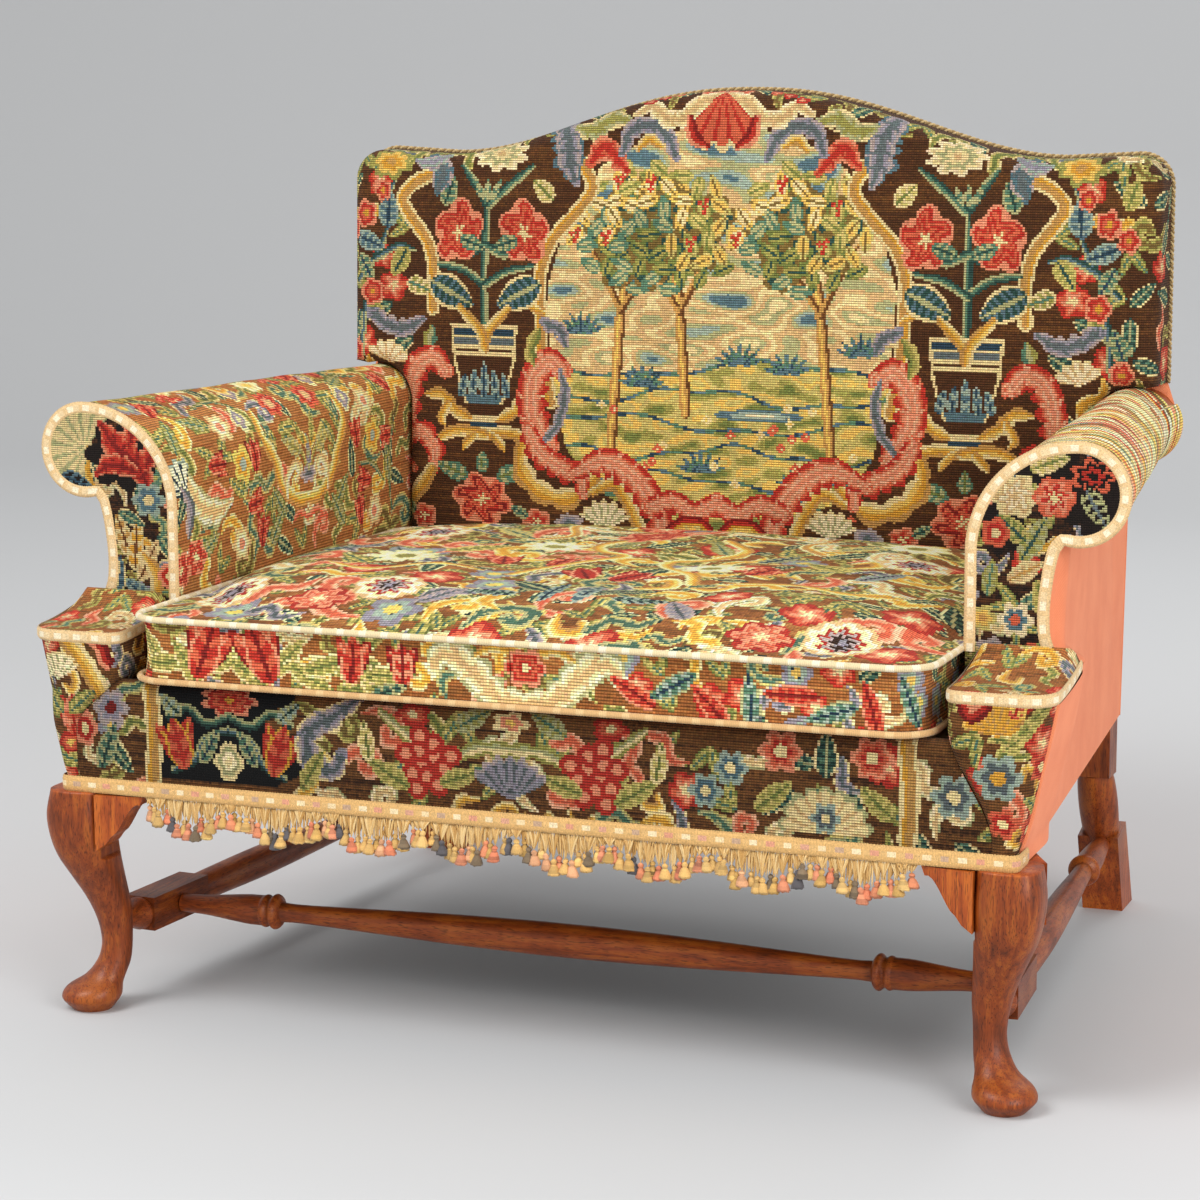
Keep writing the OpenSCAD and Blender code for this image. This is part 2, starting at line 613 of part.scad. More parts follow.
// Block over each front leg: its core, its needlework cover and the braid on its rim.
function block_edge(z) = block_in + (side_x(0) - 16 - block_in)
    * (1 - ease((z - rail_z - gimp_h - 20) / (block_z - rail_z - gimp_h - 60)));
function block_out(z) = side_x(0) + block_flare
    * pow(clamp01((z - rail_z - gimp_h) / (block_z - rail_z - gimp_h)), 0.8);
block_steps = 6;
block_under = 1.2;
rim_braid_h = 13;
function block_ring(z, tilt) =
    let (
        x0 = block_edge(z) + gap,
        x1 = block_out(z) - plain_t - block_under,
        y0 = -lerp(3, 10, clamp01((z - rail_z - gimp_h - 2) / 160)),
        y1 = facing_y - gap,
        r1 = min(34, (x1 - x0) * 0.45),
        r0 = min(16, (x1 - x0) * 0.3)
    )
    [
        for (p = concat(
            [[x1, y1], [x0, y1]],
            [
                for (i = [0:block_steps])
                    let (a = 180 + 90 * i / block_steps)
                    [x0 + r0 + r0 * cos(a), y0 + r0 + r0 * sin(a)]
            ],
            [
                for (i = [0:block_steps])
                    let (a = 270 + 90 * i / block_steps)
                    [x1 - r1 + r1 * cos(a), y0 + r1 + r1 * sin(a)]
            ],
            [[x1, lerp(y0 + r1, y1, 0.5)]]))
            [p[0], p[1], z + tilt * pow(clamp01(p[1] / y1), 2)]
    ];
block_rise = 16;
block_levels = 10;
block_bottom = rail_z + 1;
function block_level(k) = lerp(block_bottom, block_z, k / block_levels);
module block_solid() {
    rings = [
        for (k = [0:block_levels])
            block_ring(block_level(k), k == block_levels ? block_rise : 0)
    ];
    mid_x = (block_edge(block_z) + block_out(block_z)) / 2;
    loft(rings, [side_x(0) - 8, facing_y / 2, block_bottom], [mid_x, facing_y * 0.55, block_z + 2]);
}
module block_cover() color([0.62, 0.47, 0.24]) difference() {
    block_solid();
    front_block_shape(gap);
    translate([corner_x - post_side - gap, corner_y - gap, rail_z - 5])
        cube([post_side + 2 * gap, post_side + 2 * gap, rail_h + 5 + gap]);
    translate([corner_x - post_side - rail_t, corner_y + post_side, rail_z - 5])
        cube([post_side + rail_t + 2 * gap, facing_y, rail_h + 5 + gap]);
    translate([0, -20, rail_z - 5]) cube([corner_x - post_side + 2, facing_y + 40, rail_h]);
}
module front_block_shape(c) translate([0, facing_y - 6, 0]) rotate([90, 0, 0])
    linear_extrude(height = facing_y - 18 + 2 * c) polygon([
        [block_in + 18 - c, rail_top - c], [corner_x + c, rail_top - c],
        [block_out(block_z) - 20 + c, block_z - 14 + c], [block_in + 14 - c, block_z - 14 + c]]);
module front_block() color(hidden_wood) front_block_shape(0);
module block_braid() color([0.93, 0.84, 0.66]) {
    rim = block_ring(block_z, block_rise);
    n = len(rim);
    path = [for (k = [1:n - 1]) rim[k], rim[0]];
    band(path, 2, rim_braid_h);
}
// Band of a given thickness and height that follows a path round the outside of a rim.
module band(path, t, h) {
    n = len(path);
    function tangent(k) =
        let (d = path[min(n - 1, k + 1)] - path[max(0, k - 1)]) d / norm([d[0], d[1]]);
    function out(k) = [tangent(k)[1], -tangent(k)[0], 0];
    skin(
        [for (p = [0, 1]) [for (k = [0:n - 1]) path[k] + out(k) * (t + 0.2) + [0, 0, 2 - h * (1 - p)]]],
        [for (p = [0, 1]) [for (k = [0:n - 1]) path[k] + out(k) * 0.2 + [0, 0, 2 - h * (1 - p)]]]);
}

// Plain cloth outside each arm, from the rail to the neck, bulging over the front block.
outside_cols = 10;
outside_y0 = 24;
outside_ys = [
    for (i = [0:4]) lerp(outside_y0, facing_y, i / 4),
    for (t = [0, 0.02, 0.05, 0.09, 0.14, 0.22, 0.35, 0.5, 0.65, 0.8, 0.92, 1])
        lerp(facing_y + 1, frame_d - gap, t)];
// The cloth ends under the braid on the block's rim, and at the neck behind the facing.
function outside_top(y) =
    y <= facing_y ? block_z - rim_braid_h + block_rise * pow(y / facing_y, 2) : neck_z - 2;
function outside_x(y, z) =
    let (
        up = clamp01((z - rail_z) / (neck_z - rail_z)),
        plain = lerp(side_x(y), neck_x(max(y, facing_y)) - 1, up),
        near = 1 - ease((y - facing_y - 4) / 100)
    )
    max(plain, lerp(plain, block_out(min(z, block_z)) - 0.2, near * (z <= block_z + block_rise ? 1 : 0.4)));
// The lowest of the cells is as high as the gimp that lies against it.
function outside_z(y, j) =
    let (z1 = rail_z + gimp_h + gap)
    j == 0 ? rail_z : lerp(z1, outside_top(y), (j - 1) / (outside_cols - 1));
function outside_point(y, j, d) = let (z = outside_z(y, j)) [outside_x(y, z) - d, y, z];
module outside_arm_cover() color(plain_cloth) {
    grid = function(d) [
        for (y = outside_ys)
            [for (j = [0:outside_cols]) outside_point(y, j, d)]
    ];
    skin(grid(0), grid(plain_t), true);
}

// Outline of the back, seen from the front, with the camel hump and rounded corners.
shoulder_z = total_h - hump_h;
function crest_z(x) =
    let (t = abs(x) / hump_half)
    t < 1 ? shoulder_z + hump_h * (1 + cos(180 * pow(t, 1.15))) / 2
        : shoulder_z + 5 * clamp01((abs(x) - hump_half) / (back_w / 2 - corner_r - hump_half));
hump_steps = 13;
// Clearance between the back's pad and the arm covers.
pad_play = 1.8;
shoulder_low_z = arm_top_z - roll_fall + 3;
function upper_outline(d) =
    let (
        half = back_w / 2 - d,
        r = corner_r - d / 2,
        zc = shoulder_z + 5 - r - d
    )
    concat(
        [[half, shoulder_low_z + d], [half, lerp(shoulder_low_z, zc, 0.35)]],
        [[half, lerp(shoulder_low_z, zc, 0.7)]],
        [for (i = [0:6]) let (a = 90 * i / 6) [half - r + r * cos(a), zc + r * sin(a)]],
        [
            for (i = [1:hump_steps])
                let (x = (half - r) * (1 - i / (hump_steps + 1)))
                [x, crest_z(x) - d]
        ]);
over_last = max([
    for (i = [0:3 + arc_steps + 4]) if (arm_path(frame_d, 0)[i][0] < back_w / 2 - 16) i]);
// Right half of the pad's edge: up between the arms, over the arm's roll, then the upper part.
function half_outline(d) =
    let (
        path = arm_path(frame_d, -pad_play - d, back_base_z + d),
        over = [for (i = [0:over_last]) [path[i][0], path[i][2]]]
    )
    concat(over, upper_outline(d));
function back_outline(d) =
    let (h = half_outline(d), n = len(h))
    concat(
        [for (i = [0:n - 1]) h[i]],
        [[0, crest_z(0) - d]],
        [for (i = [n - 1:-1:0]) [-h[i][0], h[i][1]]],
        [for (i = [1:7]) [low_x(d) * (i / 4 - 1), back_base_z + d]]);
function low_x(d) = inner_x(frame_d) - pad_play - d;
back_base_z = rail_top + 8;
back_mid = [0, lerp(seat_z, total_h, 0.4)];
back_crown = 12;
front_edge = 12;
// Front surface of the back at share s of the way from its middle to its edge.
function back_y(p, s) =
    back_face_y + lean_per_mm * (p[1] - seat_z) - back_crown * (1 - s * s) * clamp01((p[1] - seat_z) / 60)
    + (p[1] > shoulder_low_z + 8 ? front_edge * pow(s, 14) : 0);
function back_ring(s, d, y_in) =
    [
        for (q = back_outline(d))
            let (p = back_mid + (q - back_mid) * s)
            [p[0], back_y(p, s) + y_in, p[1]]
    ];
// The pad's side wall runs to the cord above the arms, and to the posts between them.
half_count = len(half_outline(0));
function rim_end(k) =
    k > over_last && k < 2 * half_count - over_last ? rim_y : post_y - gap;
function rim_ring(d, t) =
    let (outline = back_outline(d))
    [
        for (k = [0:len(outline) - 1])
            [outline[k][0], lerp(back_face_y, rim_end(k), t), outline[k][1]]
    ];
back_shares = [0.12, 0.3, 0.48, 0.64, 0.78, 0.88, 0.95];
rim_y = frame_d - plain_t - back_cord_d - 2 * gap;
module back_cover() color([0.33, 0.20, 0.13]) place() {
    outer = [
        for (s = back_shares) back_ring(s, 0, 0),
        back_ring(0.985, 0, 3),
        rim_ring(0, 0.62),
        rim_ring(0, 1)
    ];
    inner = [
        rim_ring(cover_t, 1),
        rim_ring(cover_t, 0.65),
        back_ring(0.97, cover_t, cover_t + 3),
        for (s = [0.88, 0.6, 0.3]) back_ring(s, cover_t, cover_t)
    ];
    loft(concat(outer, inner), [0, back_y(back_mid, 0), back_mid[1]],
        [0, back_y(back_mid, 0) + cover_t, back_mid[1]], true);
}
module back_stuffing() color([0.35, 0.30, 0.24]) place() {
    d = cover_t + 2;
    y_back = post_y - 2 * web_t - gap;
    rings = [
        for (s = [0.3, 0.6, 0.88]) back_ring(s, d, d + 0.5),
        back_ring(0.965, d, d + 5),
        [for (q = back_outline(d + 12)) [q[0], y_back, q[1]]]
    ];
    loft(rings, [0, back_y(back_mid, 0) + d + 0.5, back_mid[1]], [0, y_back, back_mid[1]], true);
}
module back_cord() color([0.93, 0.90, 0.82]) place() {
    d = back_cord_d;
    path = concat(upper_outline(d / 2), [[0, crest_z(0) - d / 2]]);
    half = [for (q = path) [q[0], rim_y + gap + d / 2, q[1]]];
    n = len(half);
    full = concat(half, [for (i = [n - 2:-1:0]) [-half[i][0], half[i][1], half[i][2]]]);
    cord(full, d / 2);
}
// Round cord along a path in a plane of constant Y.
module cord(path, r) {
    n = len(path);
    sides = 8;
    rings = [
        for (k = [0:n - 1])
            let (
                d = path[min(n - 1, k + 1)] - path[max(0, k - 1)],
                t = d / norm(d),
                u = [0, 1, 0],
                v = cross(t, u)
            )
            [for (i = [0:sides - 1]) path[k] + r * (cos(360 * i / sides) * u + sin(360 * i / sides) * v)]
    ];
    loft(rings, path[0], path[n - 1]);
}
module outside_back_cover() color(plain_cloth) place()
    translate([0, frame_d, 0]) rotate([90, 0, 0]) linear_extrude(height = plain_t)
        polygon(mirrored(concat(
            [[side_x(frame_d) - plain_t - 2 * gap, rail_z]],
            [[side_x(frame_d) - plain_t - 2 * gap, roll_z(frame_d) - roll_r(frame_d) + 6]],
            scroll_points(1, back_w / 2 - 2),
            upper_outline(2),
            [[0, crest_z(0) - 2]])));
// Outline of both halves from the points of the right one.
function mirrored(half) = concat(
    half, [for (i = [len(half) - 1:-1:0]) if (half[i][0] > 0.01) [-half[i][0], half[i][1]]]);
module crest_rail() color(hidden_wood) place()
    translate([0, post_y + post_t - 4, 0]) rotate([90, 0, 0]) linear_extrude(height = post_t - 14)
        polygon(mirrored(concat(
            [[batten_x, post_top_z]],
            [for (q = upper_outline(14)) if (q[1] > post_top_z + 2) q],
            [[0, crest_z(0) - 14]])));
back_stay_up = 42;
back_stay_t = 26;
back_stay_h = 50;
module back_stay_rail() color(hidden_wood) place()
    translate([-(post_x - post_w), post_y + 6, rail_top + back_stay_up])
        cube([2 * (post_x - post_w), back_stay_t, back_stay_h]);
module back_webbing() color(linen) place() {
    x1 = inner_x(frame_d) - cover_t - 4;
    z0 = rail_top + 50;
    z1 = post_top_z + 40;
    n_up = 7;
    n_across = 5;
    for (i = [0:n_up - 1])
        translate([lerp(-x1 + 20, x1 - 20 - web_w, i / (n_up - 1)), post_y - web_t, z0])
            cube([web_w, web_t, z1 - z0]);
    for (i = [0:n_across - 1])
        translate([-x1, post_y - 2 * web_t, lerp(z0 + 40, z1 - 90, i / (n_across - 1))])
            cube([2 * x1, web_t, web_w]);
}

// Needlework over the front rail, rounded at the top and cut to the blocks at its ends.
module front_rail_cover() color([0.42, 0.30, 0.15]) place() {
    top = seat_z - 1;
    zs = [rail_z, for (k = [0:block_levels]) if (block_level(k) < top) block_level(k), top];
    n = len(zs) - 1;
    intersection() {
        rotate([90, 0, 90]) translate([0, 0, -front_w / 2]) linear_extrude(height = front_w)
            front_cover_profile(top);
        translate([0, 60, 0]) rotate([90, 0, 0]) linear_extrude(height = 80) polygon(concat(
            [for (z = zs) [block_edge(z), z]],
            [for (i = [n:-1:0]) [-block_edge(zs[i]), zs[i]]]));
    }
}
module front_cover_profile(top) {
    r = 12;
    difference() {
        union() {
            square([cover_t, top - r - rail_z]);
            translate([0, rail_z]) square([cover_t, top - r - rail_z]);
            translate([r, top - r]) circle(r = r, $fn = 48);
        }
        translate([-1, -1]) square([60, rail_z + 1]);
        translate([cover_t, rail_z - 1]) square([60, top - r - rail_z + 1]);
        translate([r, top - r]) circle(r = r - cover_t, $fn = 48);
        translate([r, rail_z]) square([60, top]);
    }
}
gimp_wrap = 46;
module bottom_gimp() color([0.86, 0.64, 0.33]) place() {
    r = 10;
    x = side_x(0) + 0.3;
    t = braid_t;
    y = -3.6;
    translate([0, 0, rail_z + gap]) linear_extrude(height = gimp_h) difference() {
        union() {
            translate([-x - t + r, y - t]) square([2 * (x + t - r), t]);
            for (s = [-1, 1]) {
                translate([s * (x + t - r), y - t + r]) circle(r = r, $fn = 48);
                translate([s > 0 ? x : -x - t, y - t + r]) square([t, gimp_wrap - r]);
            }
        }
        translate([-x, y]) square([2 * x, frame_d]);
    }
}
fringe_half = leg_x - knee_w - 2;
module fringe() color([0.80, 0.60, 0.32]) place() {
    n = scallops * 12;
    top = rail_z;
    t = 4;
    translate([0, -2.6, 0]) rotate([90, 0, 0]) linear_extrude(height = t) polygon(concat(
        [[-fringe_half, top], [fringe_half, top]],
        [
            for (i = [n:-1:0])
                let (x = lerp(-fringe_half, fringe_half, i / n))
                [x, top - fringe_short - scallop_h * abs(sin(180 * scallops * i / n))]
        ]));
}

// Loose cushion: rounded plan, drawn-in border and a crowned top.
cushion_front = -cushion_over + cord_d + gap;
cushion_back = back_face_y - back_crown - cushion_play;
function cushion_half(y) = inner_x(max(y, facing_y)) - cushion_play - cord_d / 2 - gap;
cushion_r = 40;
cushion_back_r = 24;
function corner_arc(cx, cy, r, a0) =
    [for (i = [0:5]) let (a = a0 + 90 * i / 5) [cx + r * cos(a), cy + r * sin(a)]];
function cushion_plan() =
    let (
        w0 = cushion_half(cushion_front),
        w1 = cushion_half(cushion_back),
        y0 = cushion_front,
        y1 = cushion_back - cord_d / 2,
        r0 = cushion_r,
        r1 = cushion_back_r
    )
    concat(
        corner_arc(w0 - r0, y0 + r0, r0, -90),
        [for (i = [1:6]) [lerp(w0, w1, i / 7), lerp(y0 + r0, y1 - r1, i / 7)]],
        corner_arc(w1 - r1, y1 - r1, r1, 0),
        [for (i = [1:9]) [lerp(w1 - r1, -w1 + r1, i / 10), y1]],
        corner_arc(-w1 + r1, y1 - r1, r1, 90),
        [for (i = [1:6]) [-lerp(w1, w0, i / 7), lerp(y1 - r1, y0 + r0, i / 7)]],
        corner_arc(-w0 + r0, y0 + r0, r0, 180),
        [for (i = [1:9]) [lerp(-w0 + r0, w0 - r0, i / 10), y0]]);
cushion_mid = [0, (cushion_front + cushion_back) / 2];
function cushion_ring(s, z, pull) =
    [
        for (p = cushion_plan())
            let (d = p - cushion_mid, q = cushion_mid + d * (s - pull / norm(d)))
            [q[0], q[1], z]
    ];
function crowned(s) = cushion_top + crown_h * (1 - pow(s, 2.4));
module seat_cushion() color([0.62, 0.48, 0.30]) place() {
    rings = [
        cushion_ring(0.5, cushion_z, 0),
        cushion_ring(1, cushion_z, 6),
        cushion_ring(1, cushion_z + 5, 0.5),
        cushion_ring(1, cushion_z + border_h * 0.3, draw_in * 0.8),
        cushion_ring(1, cushion_z + border_h * 0.55, draw_in),
        cushion_ring(1, cushion_z + border_h * 0.8, draw_in * 0.7),
        cushion_ring(1, cushion_top - 3, 0.5),
        cushion_ring(1, cushion_top, 4),
        for (s = [0.96, 0.9, 0.82, 0.72, 0.6, 0.46, 0.3, 0.15]) cushion_ring(s, crowned(s), 0)
    ];
    loft(rings, [0, cushion_mid[1], cushion_z], [0, cushion_mid[1], cushion_top + crown_h]);
}
module cushion_cords() color([0.93, 0.84, 0.66]) place() for (z = [cushion_z + cord_d / 2, cushion_top]) {
    plan = cushion_plan();
    n = len(plan);
    sides = 6;
    r = cord_d / 2;
    ring = [
        for (k = [0:n - 1])
            let (
                t0 = plan[(k + 1) % n] - plan[(k + n - 1) % n],
                out = [t0[1], -t0[0]] / norm(t0)
            )
            [
                for (i = [0:sides - 1])
                    let (a = 360 * i / sides, o = 0.3 + r * (1 + cos(a)))
                    [plan[k][0] + out[0] * o, plan[k][1] + out[1] * o, z + r * sin(a)]
            ]
    ];
    faces = [
        for (k = [0:n - 1], i = [0:sides - 1])
            let (a = k * sides + i, b = k * sides + (i + 1) % sides,
                c = ((k + 1) % n) * sides + i, d = ((k + 1) % n) * sides + (i + 1) % sides)
            each [[a, b, d], [a, d, c]]
    ];
    polyhedron([for (r = ring) each r], faces);
}

left() front_leg();  // front_leg_left
right() front_leg();  // front_leg_right
left() knee_bracket_front();  // knee_bracket_front_left
right() knee_bracket_front();  // knee_bracket_front_right
left() knee_bracket_side();  // knee_bracket_side_left
right() knee_bracket_side();  // knee_bracket_side_right
left() back_post();  // back_post_left
right() back_post();  // back_post_right
left() side_stretcher();  // side_stretcher_left
right() side_stretcher();  // side_stretcher_right
cross_stretcher();
front_seat_rail();
back_seat_rail();
left() side_seat_rail();  // side_seat_rail_left
right() side_seat_rail();  // side_seat_rail_right
corner_blocks();
seat_brace();
seat_webbing();
seat_hessian();
seat_platform();
left() arm_scroll_board();  // arm_scroll_board_left
right() arm_scroll_board();  // arm_scroll_board_right
left() arm_roll_rail();  // arm_roll_rail_left
right() arm_roll_rail();  // arm_roll_rail_right
left() arm_stay_rail();  // arm_stay_rail_left
right() arm_stay_rail();  // arm_stay_rail_right
left() arm_stuffing();  // arm_stuffing_left
right() arm_stuffing();  // arm_stuffing_right
left() arm_cover();  // arm_cover_left
right() arm_cover();  // arm_cover_right
left() arm_facing();  // arm_facing_left
right() arm_facing();  // arm_facing_right
left() arm_braid();  // arm_braid_left
right() arm_braid();  // arm_braid_right
left() front_block();  // front_block_left
right() front_block();  // front_block_right
left() block_cover();  // block_cover_left
right() block_cover();  // block_cover_right
left() block_braid();  // block_braid_left
right() block_braid();  // block_braid_right
left() outside_arm_cover();  // outside_arm_cover_left
right() outside_arm_cover();  // outside_arm_cover_right
crest_rail();
back_stay_rail();
back_webbing();
back_stuffing();
back_cover();
back_cord();
outside_back_cover();
front_rail_cover();
bottom_gimp();
fringe();
seat_cushion();
cushion_cords();
bottom_lining();
lining_tacks();
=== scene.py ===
"""Looks of a camel-back settee in floral needlework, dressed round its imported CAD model.

Lengths in the classes are millimetres in the source's own coordinates: x from the middle, y back from
the front rail cover, z up from the floor. to_frame() turns them into the frame's metres. Patterns are
painted stitch by stitch: every quad of a needlework panel is one stitch with one wool.
"""

import logging
import math
from collections.abc import Callable, Sequence
from dataclasses import dataclass
from enum import Enum
from typing import Protocol

import bmesh
import bpy
import numpy as np
from mathutils import Matrix, Vector


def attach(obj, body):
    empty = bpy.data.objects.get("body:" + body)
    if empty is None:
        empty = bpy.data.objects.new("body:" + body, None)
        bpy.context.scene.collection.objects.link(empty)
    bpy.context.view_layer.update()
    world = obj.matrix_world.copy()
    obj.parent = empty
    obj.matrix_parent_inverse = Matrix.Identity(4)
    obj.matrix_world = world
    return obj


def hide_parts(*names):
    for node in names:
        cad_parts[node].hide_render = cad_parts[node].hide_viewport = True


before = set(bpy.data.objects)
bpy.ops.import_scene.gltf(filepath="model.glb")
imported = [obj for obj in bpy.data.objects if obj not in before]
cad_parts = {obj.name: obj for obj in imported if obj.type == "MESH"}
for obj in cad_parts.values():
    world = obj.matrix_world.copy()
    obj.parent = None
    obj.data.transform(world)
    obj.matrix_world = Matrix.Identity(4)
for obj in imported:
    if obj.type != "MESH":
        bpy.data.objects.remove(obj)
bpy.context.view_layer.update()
LOG = logging.getLogger("settee")
MM = 0.001
MID_Y = 451.0
Tree = bpy.types.NodeTree
Node = bpy.types.Node
Socket = bpy.types.NodeSocket
Array = np.ndarray
Pair = tuple[float, float]
Path = Sequence[Pair]


# ---------------------------------------------------------------- colour and node helpers


def linear(colour: str) -> Array:
    """Turns an sRGB hex colour into linear red, green and blue."""
    parts = np.array([int(colour[i : i + 2], 16) / 255 for i in (1, 3, 5)])
    return np.where(parts <= 0.04045, parts / 12.92, ((parts + 0.055) / 1.055) ** 2.4)


def paint(colour: str) -> tuple[float, float, float, float]:
    """Gives an sRGB hex colour as the linear RGBA that a socket takes."""
    red, green, blue = linear(colour)
    return (float(red), float(green), float(blue), 1.0)


def add_node(tree: Tree, kind: str, settings: dict, links: dict) -> Node:
    """Adds a node with its settings and links.

    Args:
        tree: Node tree of the material or world.
        kind: Blender's type name of the node.
        settings: Socket values by socket name or number, and properties by their own name.
        links: Source sockets by the name or number of the socket that they feed.

    Returns:
        The new node.
    """
    made = tree.nodes.new(kind)
    for name, value in settings.items():
        if isinstance(name, int) or name in made.inputs:
            made.inputs[name].default_value = value
        else:
            setattr(made, name, value)
    for name, source in links.items():
        tree.links.new(source, made.inputs[name])
    return made


class Wool(Enum):
    """Wools of the needlework, by the dyer's plain names."""

    BROWN = "#573824"
    UMBER = "#744d2c"
    OLIVE = "#857040"
    HAZEL = "#8d6038"
    RUST = "#a86a3c"
    COPPER = "#bb824c"
    TAN = "#c89c5c"
    FAWN = "#d6b888"
    GOLD = "#dba541"
    YELLOW = "#e8c46a"
    CREAM = "#e8d8a6"
    IVORY = "#f2e6c4"
    WINE = "#8f2a28"
    RED = "#c43b31"
    CORAL = "#da6a50"
    SALMON = "#e7967a"
    PINK = "#ecb59a"
    BLACK = "#221c1b"
    NAVY = "#355068"
    BLUE = "#5f8093"
    SKY = "#9fb6b0"
    LAVENDER = "#9a9ab0"
    MAUVE = "#b6aab0"
    SLATE = "#6c7a84"
    DEEP_TEAL = "#355855"
    TEAL = "#5f8a78"
    GREEN = "#7c8a4e"
    LEAF = "#a4a35c"
    LIME = "#cbc078"
    SAGE = "#b3b78b"


Shades = Sequence[Wool]
(BROWN, UMBER, OLIVE, HAZEL, RUST, COPPER, TAN, FAWN, GOLD, YELLOW, CREAM, IVORY, WINE, RED, CORAL, SALMON,
 PINK, BLACK, NAVY, BLUE, SKY, LAVENDER, MAUVE, SLATE, DEEP_TEAL, TEAL, GREEN, LEAF, LIME, SAGE) = Wool

# Shades that several motifs share, from the heart or midrib outwards.
REDS = (WINE, RED, CORAL, SALMON)
SCARLET = (WINE, RED, SALMON)
TULIP = (SALMON, CORAL, RED, WINE)
ROSE = (CREAM, SALMON, RED, CORAL, RED, SALMON)
PALE = (FAWN, CREAM, IVORY)
BLUES = (NAVY, BLUE, SKY)
DUSK = (NAVY, SLATE, SKY)
HAZE = (SLATE, LAVENDER, MAUVE)
SPRING = (GREEN, LEAF, LIME)
YOUNG = (GREEN, LIME, CREAM)
STEM = (DEEP_TEAL, TEAL, SAGE)
POND = (NAVY, TEAL, SAGE)
FERN = (TEAL, SAGE, LEAF)
MOSS = (TEAL, LEAF, LIME, GREEN)
FROND = (SAGE, DEEP_TEAL, TEAL, CREAM)
GOLDS = (CREAM, YELLOW, GOLD, TAN)
STRAPS = (CREAM, TAN, TAN, GOLD, CREAM)
LEAVES = ((GREEN, LIME, LEAF), (OLIVE, YELLOW, LIME), (DEEP_TEAL, LEAF, GREEN), (TEAL, SAGE, TEAL),
          (OLIVE, CREAM, YELLOW))


# ---------------------------------------------------------------- curves and numbers


def ease(share: Array | float) -> Array:
    """Smooth step from 0 to 1."""
    held = np.clip(share, 0.0, 1.0)
    return held * held * (3 - 2 * held)


def lerp(a: float, b: float, share: Array | float) -> Array | float:
    """Straight blend from a to b."""
    return a + (b - a) * share


def joined(*parts: Array | float) -> Array:
    """Joins coordinates into points; a single number serves every point."""
    return np.stack(np.broadcast_arrays(*parts), axis=-1)


def units(ways: Array) -> Array:
    """Vectors of length one along the given ones."""
    return ways / np.linalg.norm(ways, axis=-1, keepdims=True)


def tangents(path: Array) -> Array:
    """Unit vectors along a path."""
    return units(np.gradient(path, axis=0))


def lattice(u: Array, v: Array) -> Array:
    """Points of a grid: one row for each v, one column for each u."""
    return np.stack(np.meshgrid(u, v), axis=2)


def arc(x: float, y: float, r: float, turn: Array) -> Array:
    """Points of a circle at the given angles."""
    return joined(x + r * np.cos(turn), y + r * np.sin(turn))


def mirrored(right: Array) -> Array:
    """Joins the left half to the right half of a path."""
    return np.vstack([right, right[::-1][1:] * (-1, 1)])


def placed(name: str, data: bpy.types.ID) -> bpy.types.Object:
    """Puts a new object with its data into the scene."""
    made = bpy.data.objects.new(name, data)
    bpy.context.scene.collection.objects.link(made)
    return made


def smooth_path(points: Path, per_span: int = 8, closed: bool = False) -> Array:
    """Runs a Catmull-Rom curve through points.

    Args:
        points: Points of any dimension.
        per_span: Steps between two points.
        closed: Whether the curve returns to its start.

    Returns:
        Array of the curve's points.
    """
    given = np.asarray(points, float)
    if closed:
        ends = np.vstack([given[-1], given, given[0], given[1]])
    else:
        ends = np.vstack([2 * given[0] - given[1], given, 2 * given[-1] - given[-2]])
    t = np.linspace(0, 1, per_span, endpoint=False)[:, None]
    spans = []
    for a, b, c, d in zip(ends[:-3], ends[1:-2], ends[2:-1], ends[3:], strict=True):
        spans.append(0.5 * (2 * b + (c - a) * t + (2 * a - 5 * b + 4 * c - d) * t**2 + (3 * b - a - 3 * c + d)
                            * t**3))
    if not closed:
        spans.append(given[-1:])
    return np.vstack(spans)


def lengths_along(path: Array) -> Array:
    """Length walked along a path at each of its points."""
    return np.concatenate([[0.0], np.cumsum(np.linalg.norm(np.diff(path, axis=0), axis=1))])


def resample(path: Array, shares: Array) -> Array:
    """Points at the given shares of a path's length."""
    walked = lengths_along(path)
    wanted = shares * walked[-1]
    return joined(*(np.interp(wanted, walked, path[:, k]) for k in range(path.shape[1])))


def ripples(points: Array, size: float, seed: int, waves: int = 9) -> Array:
    """Gentle unevenness between about -1 and 1, from a few crossing waves.

    Args:
        points: Points whose last axis holds the coordinates.
        size: Usual distance between two crests.
        seed: Seed of the waves' directions.
        waves: Number of waves.

    Returns:
        One height for each point.
    """
    draw = np.random.default_rng(seed)
    total = np.zeros(points.shape[:-1])
    for _ in range(waves):
        way = draw.normal(size=points.shape[-1])
        way *= 2 * math.pi / (size * draw.uniform(0.7, 1.6) * np.linalg.norm(way))
        total += np.sin(points @ way + draw.uniform(0, 2 * math.pi))
    return total / math.sqrt(waves)


def to_frame(points: Array) -> Array:
    """Turns source millimetres into the frame's metres."""
    return (np.asarray(points, float) - (0.0, MID_Y, 0.0)) * MM


# ---------------------------------------------------------------- shape shared with the CAD source


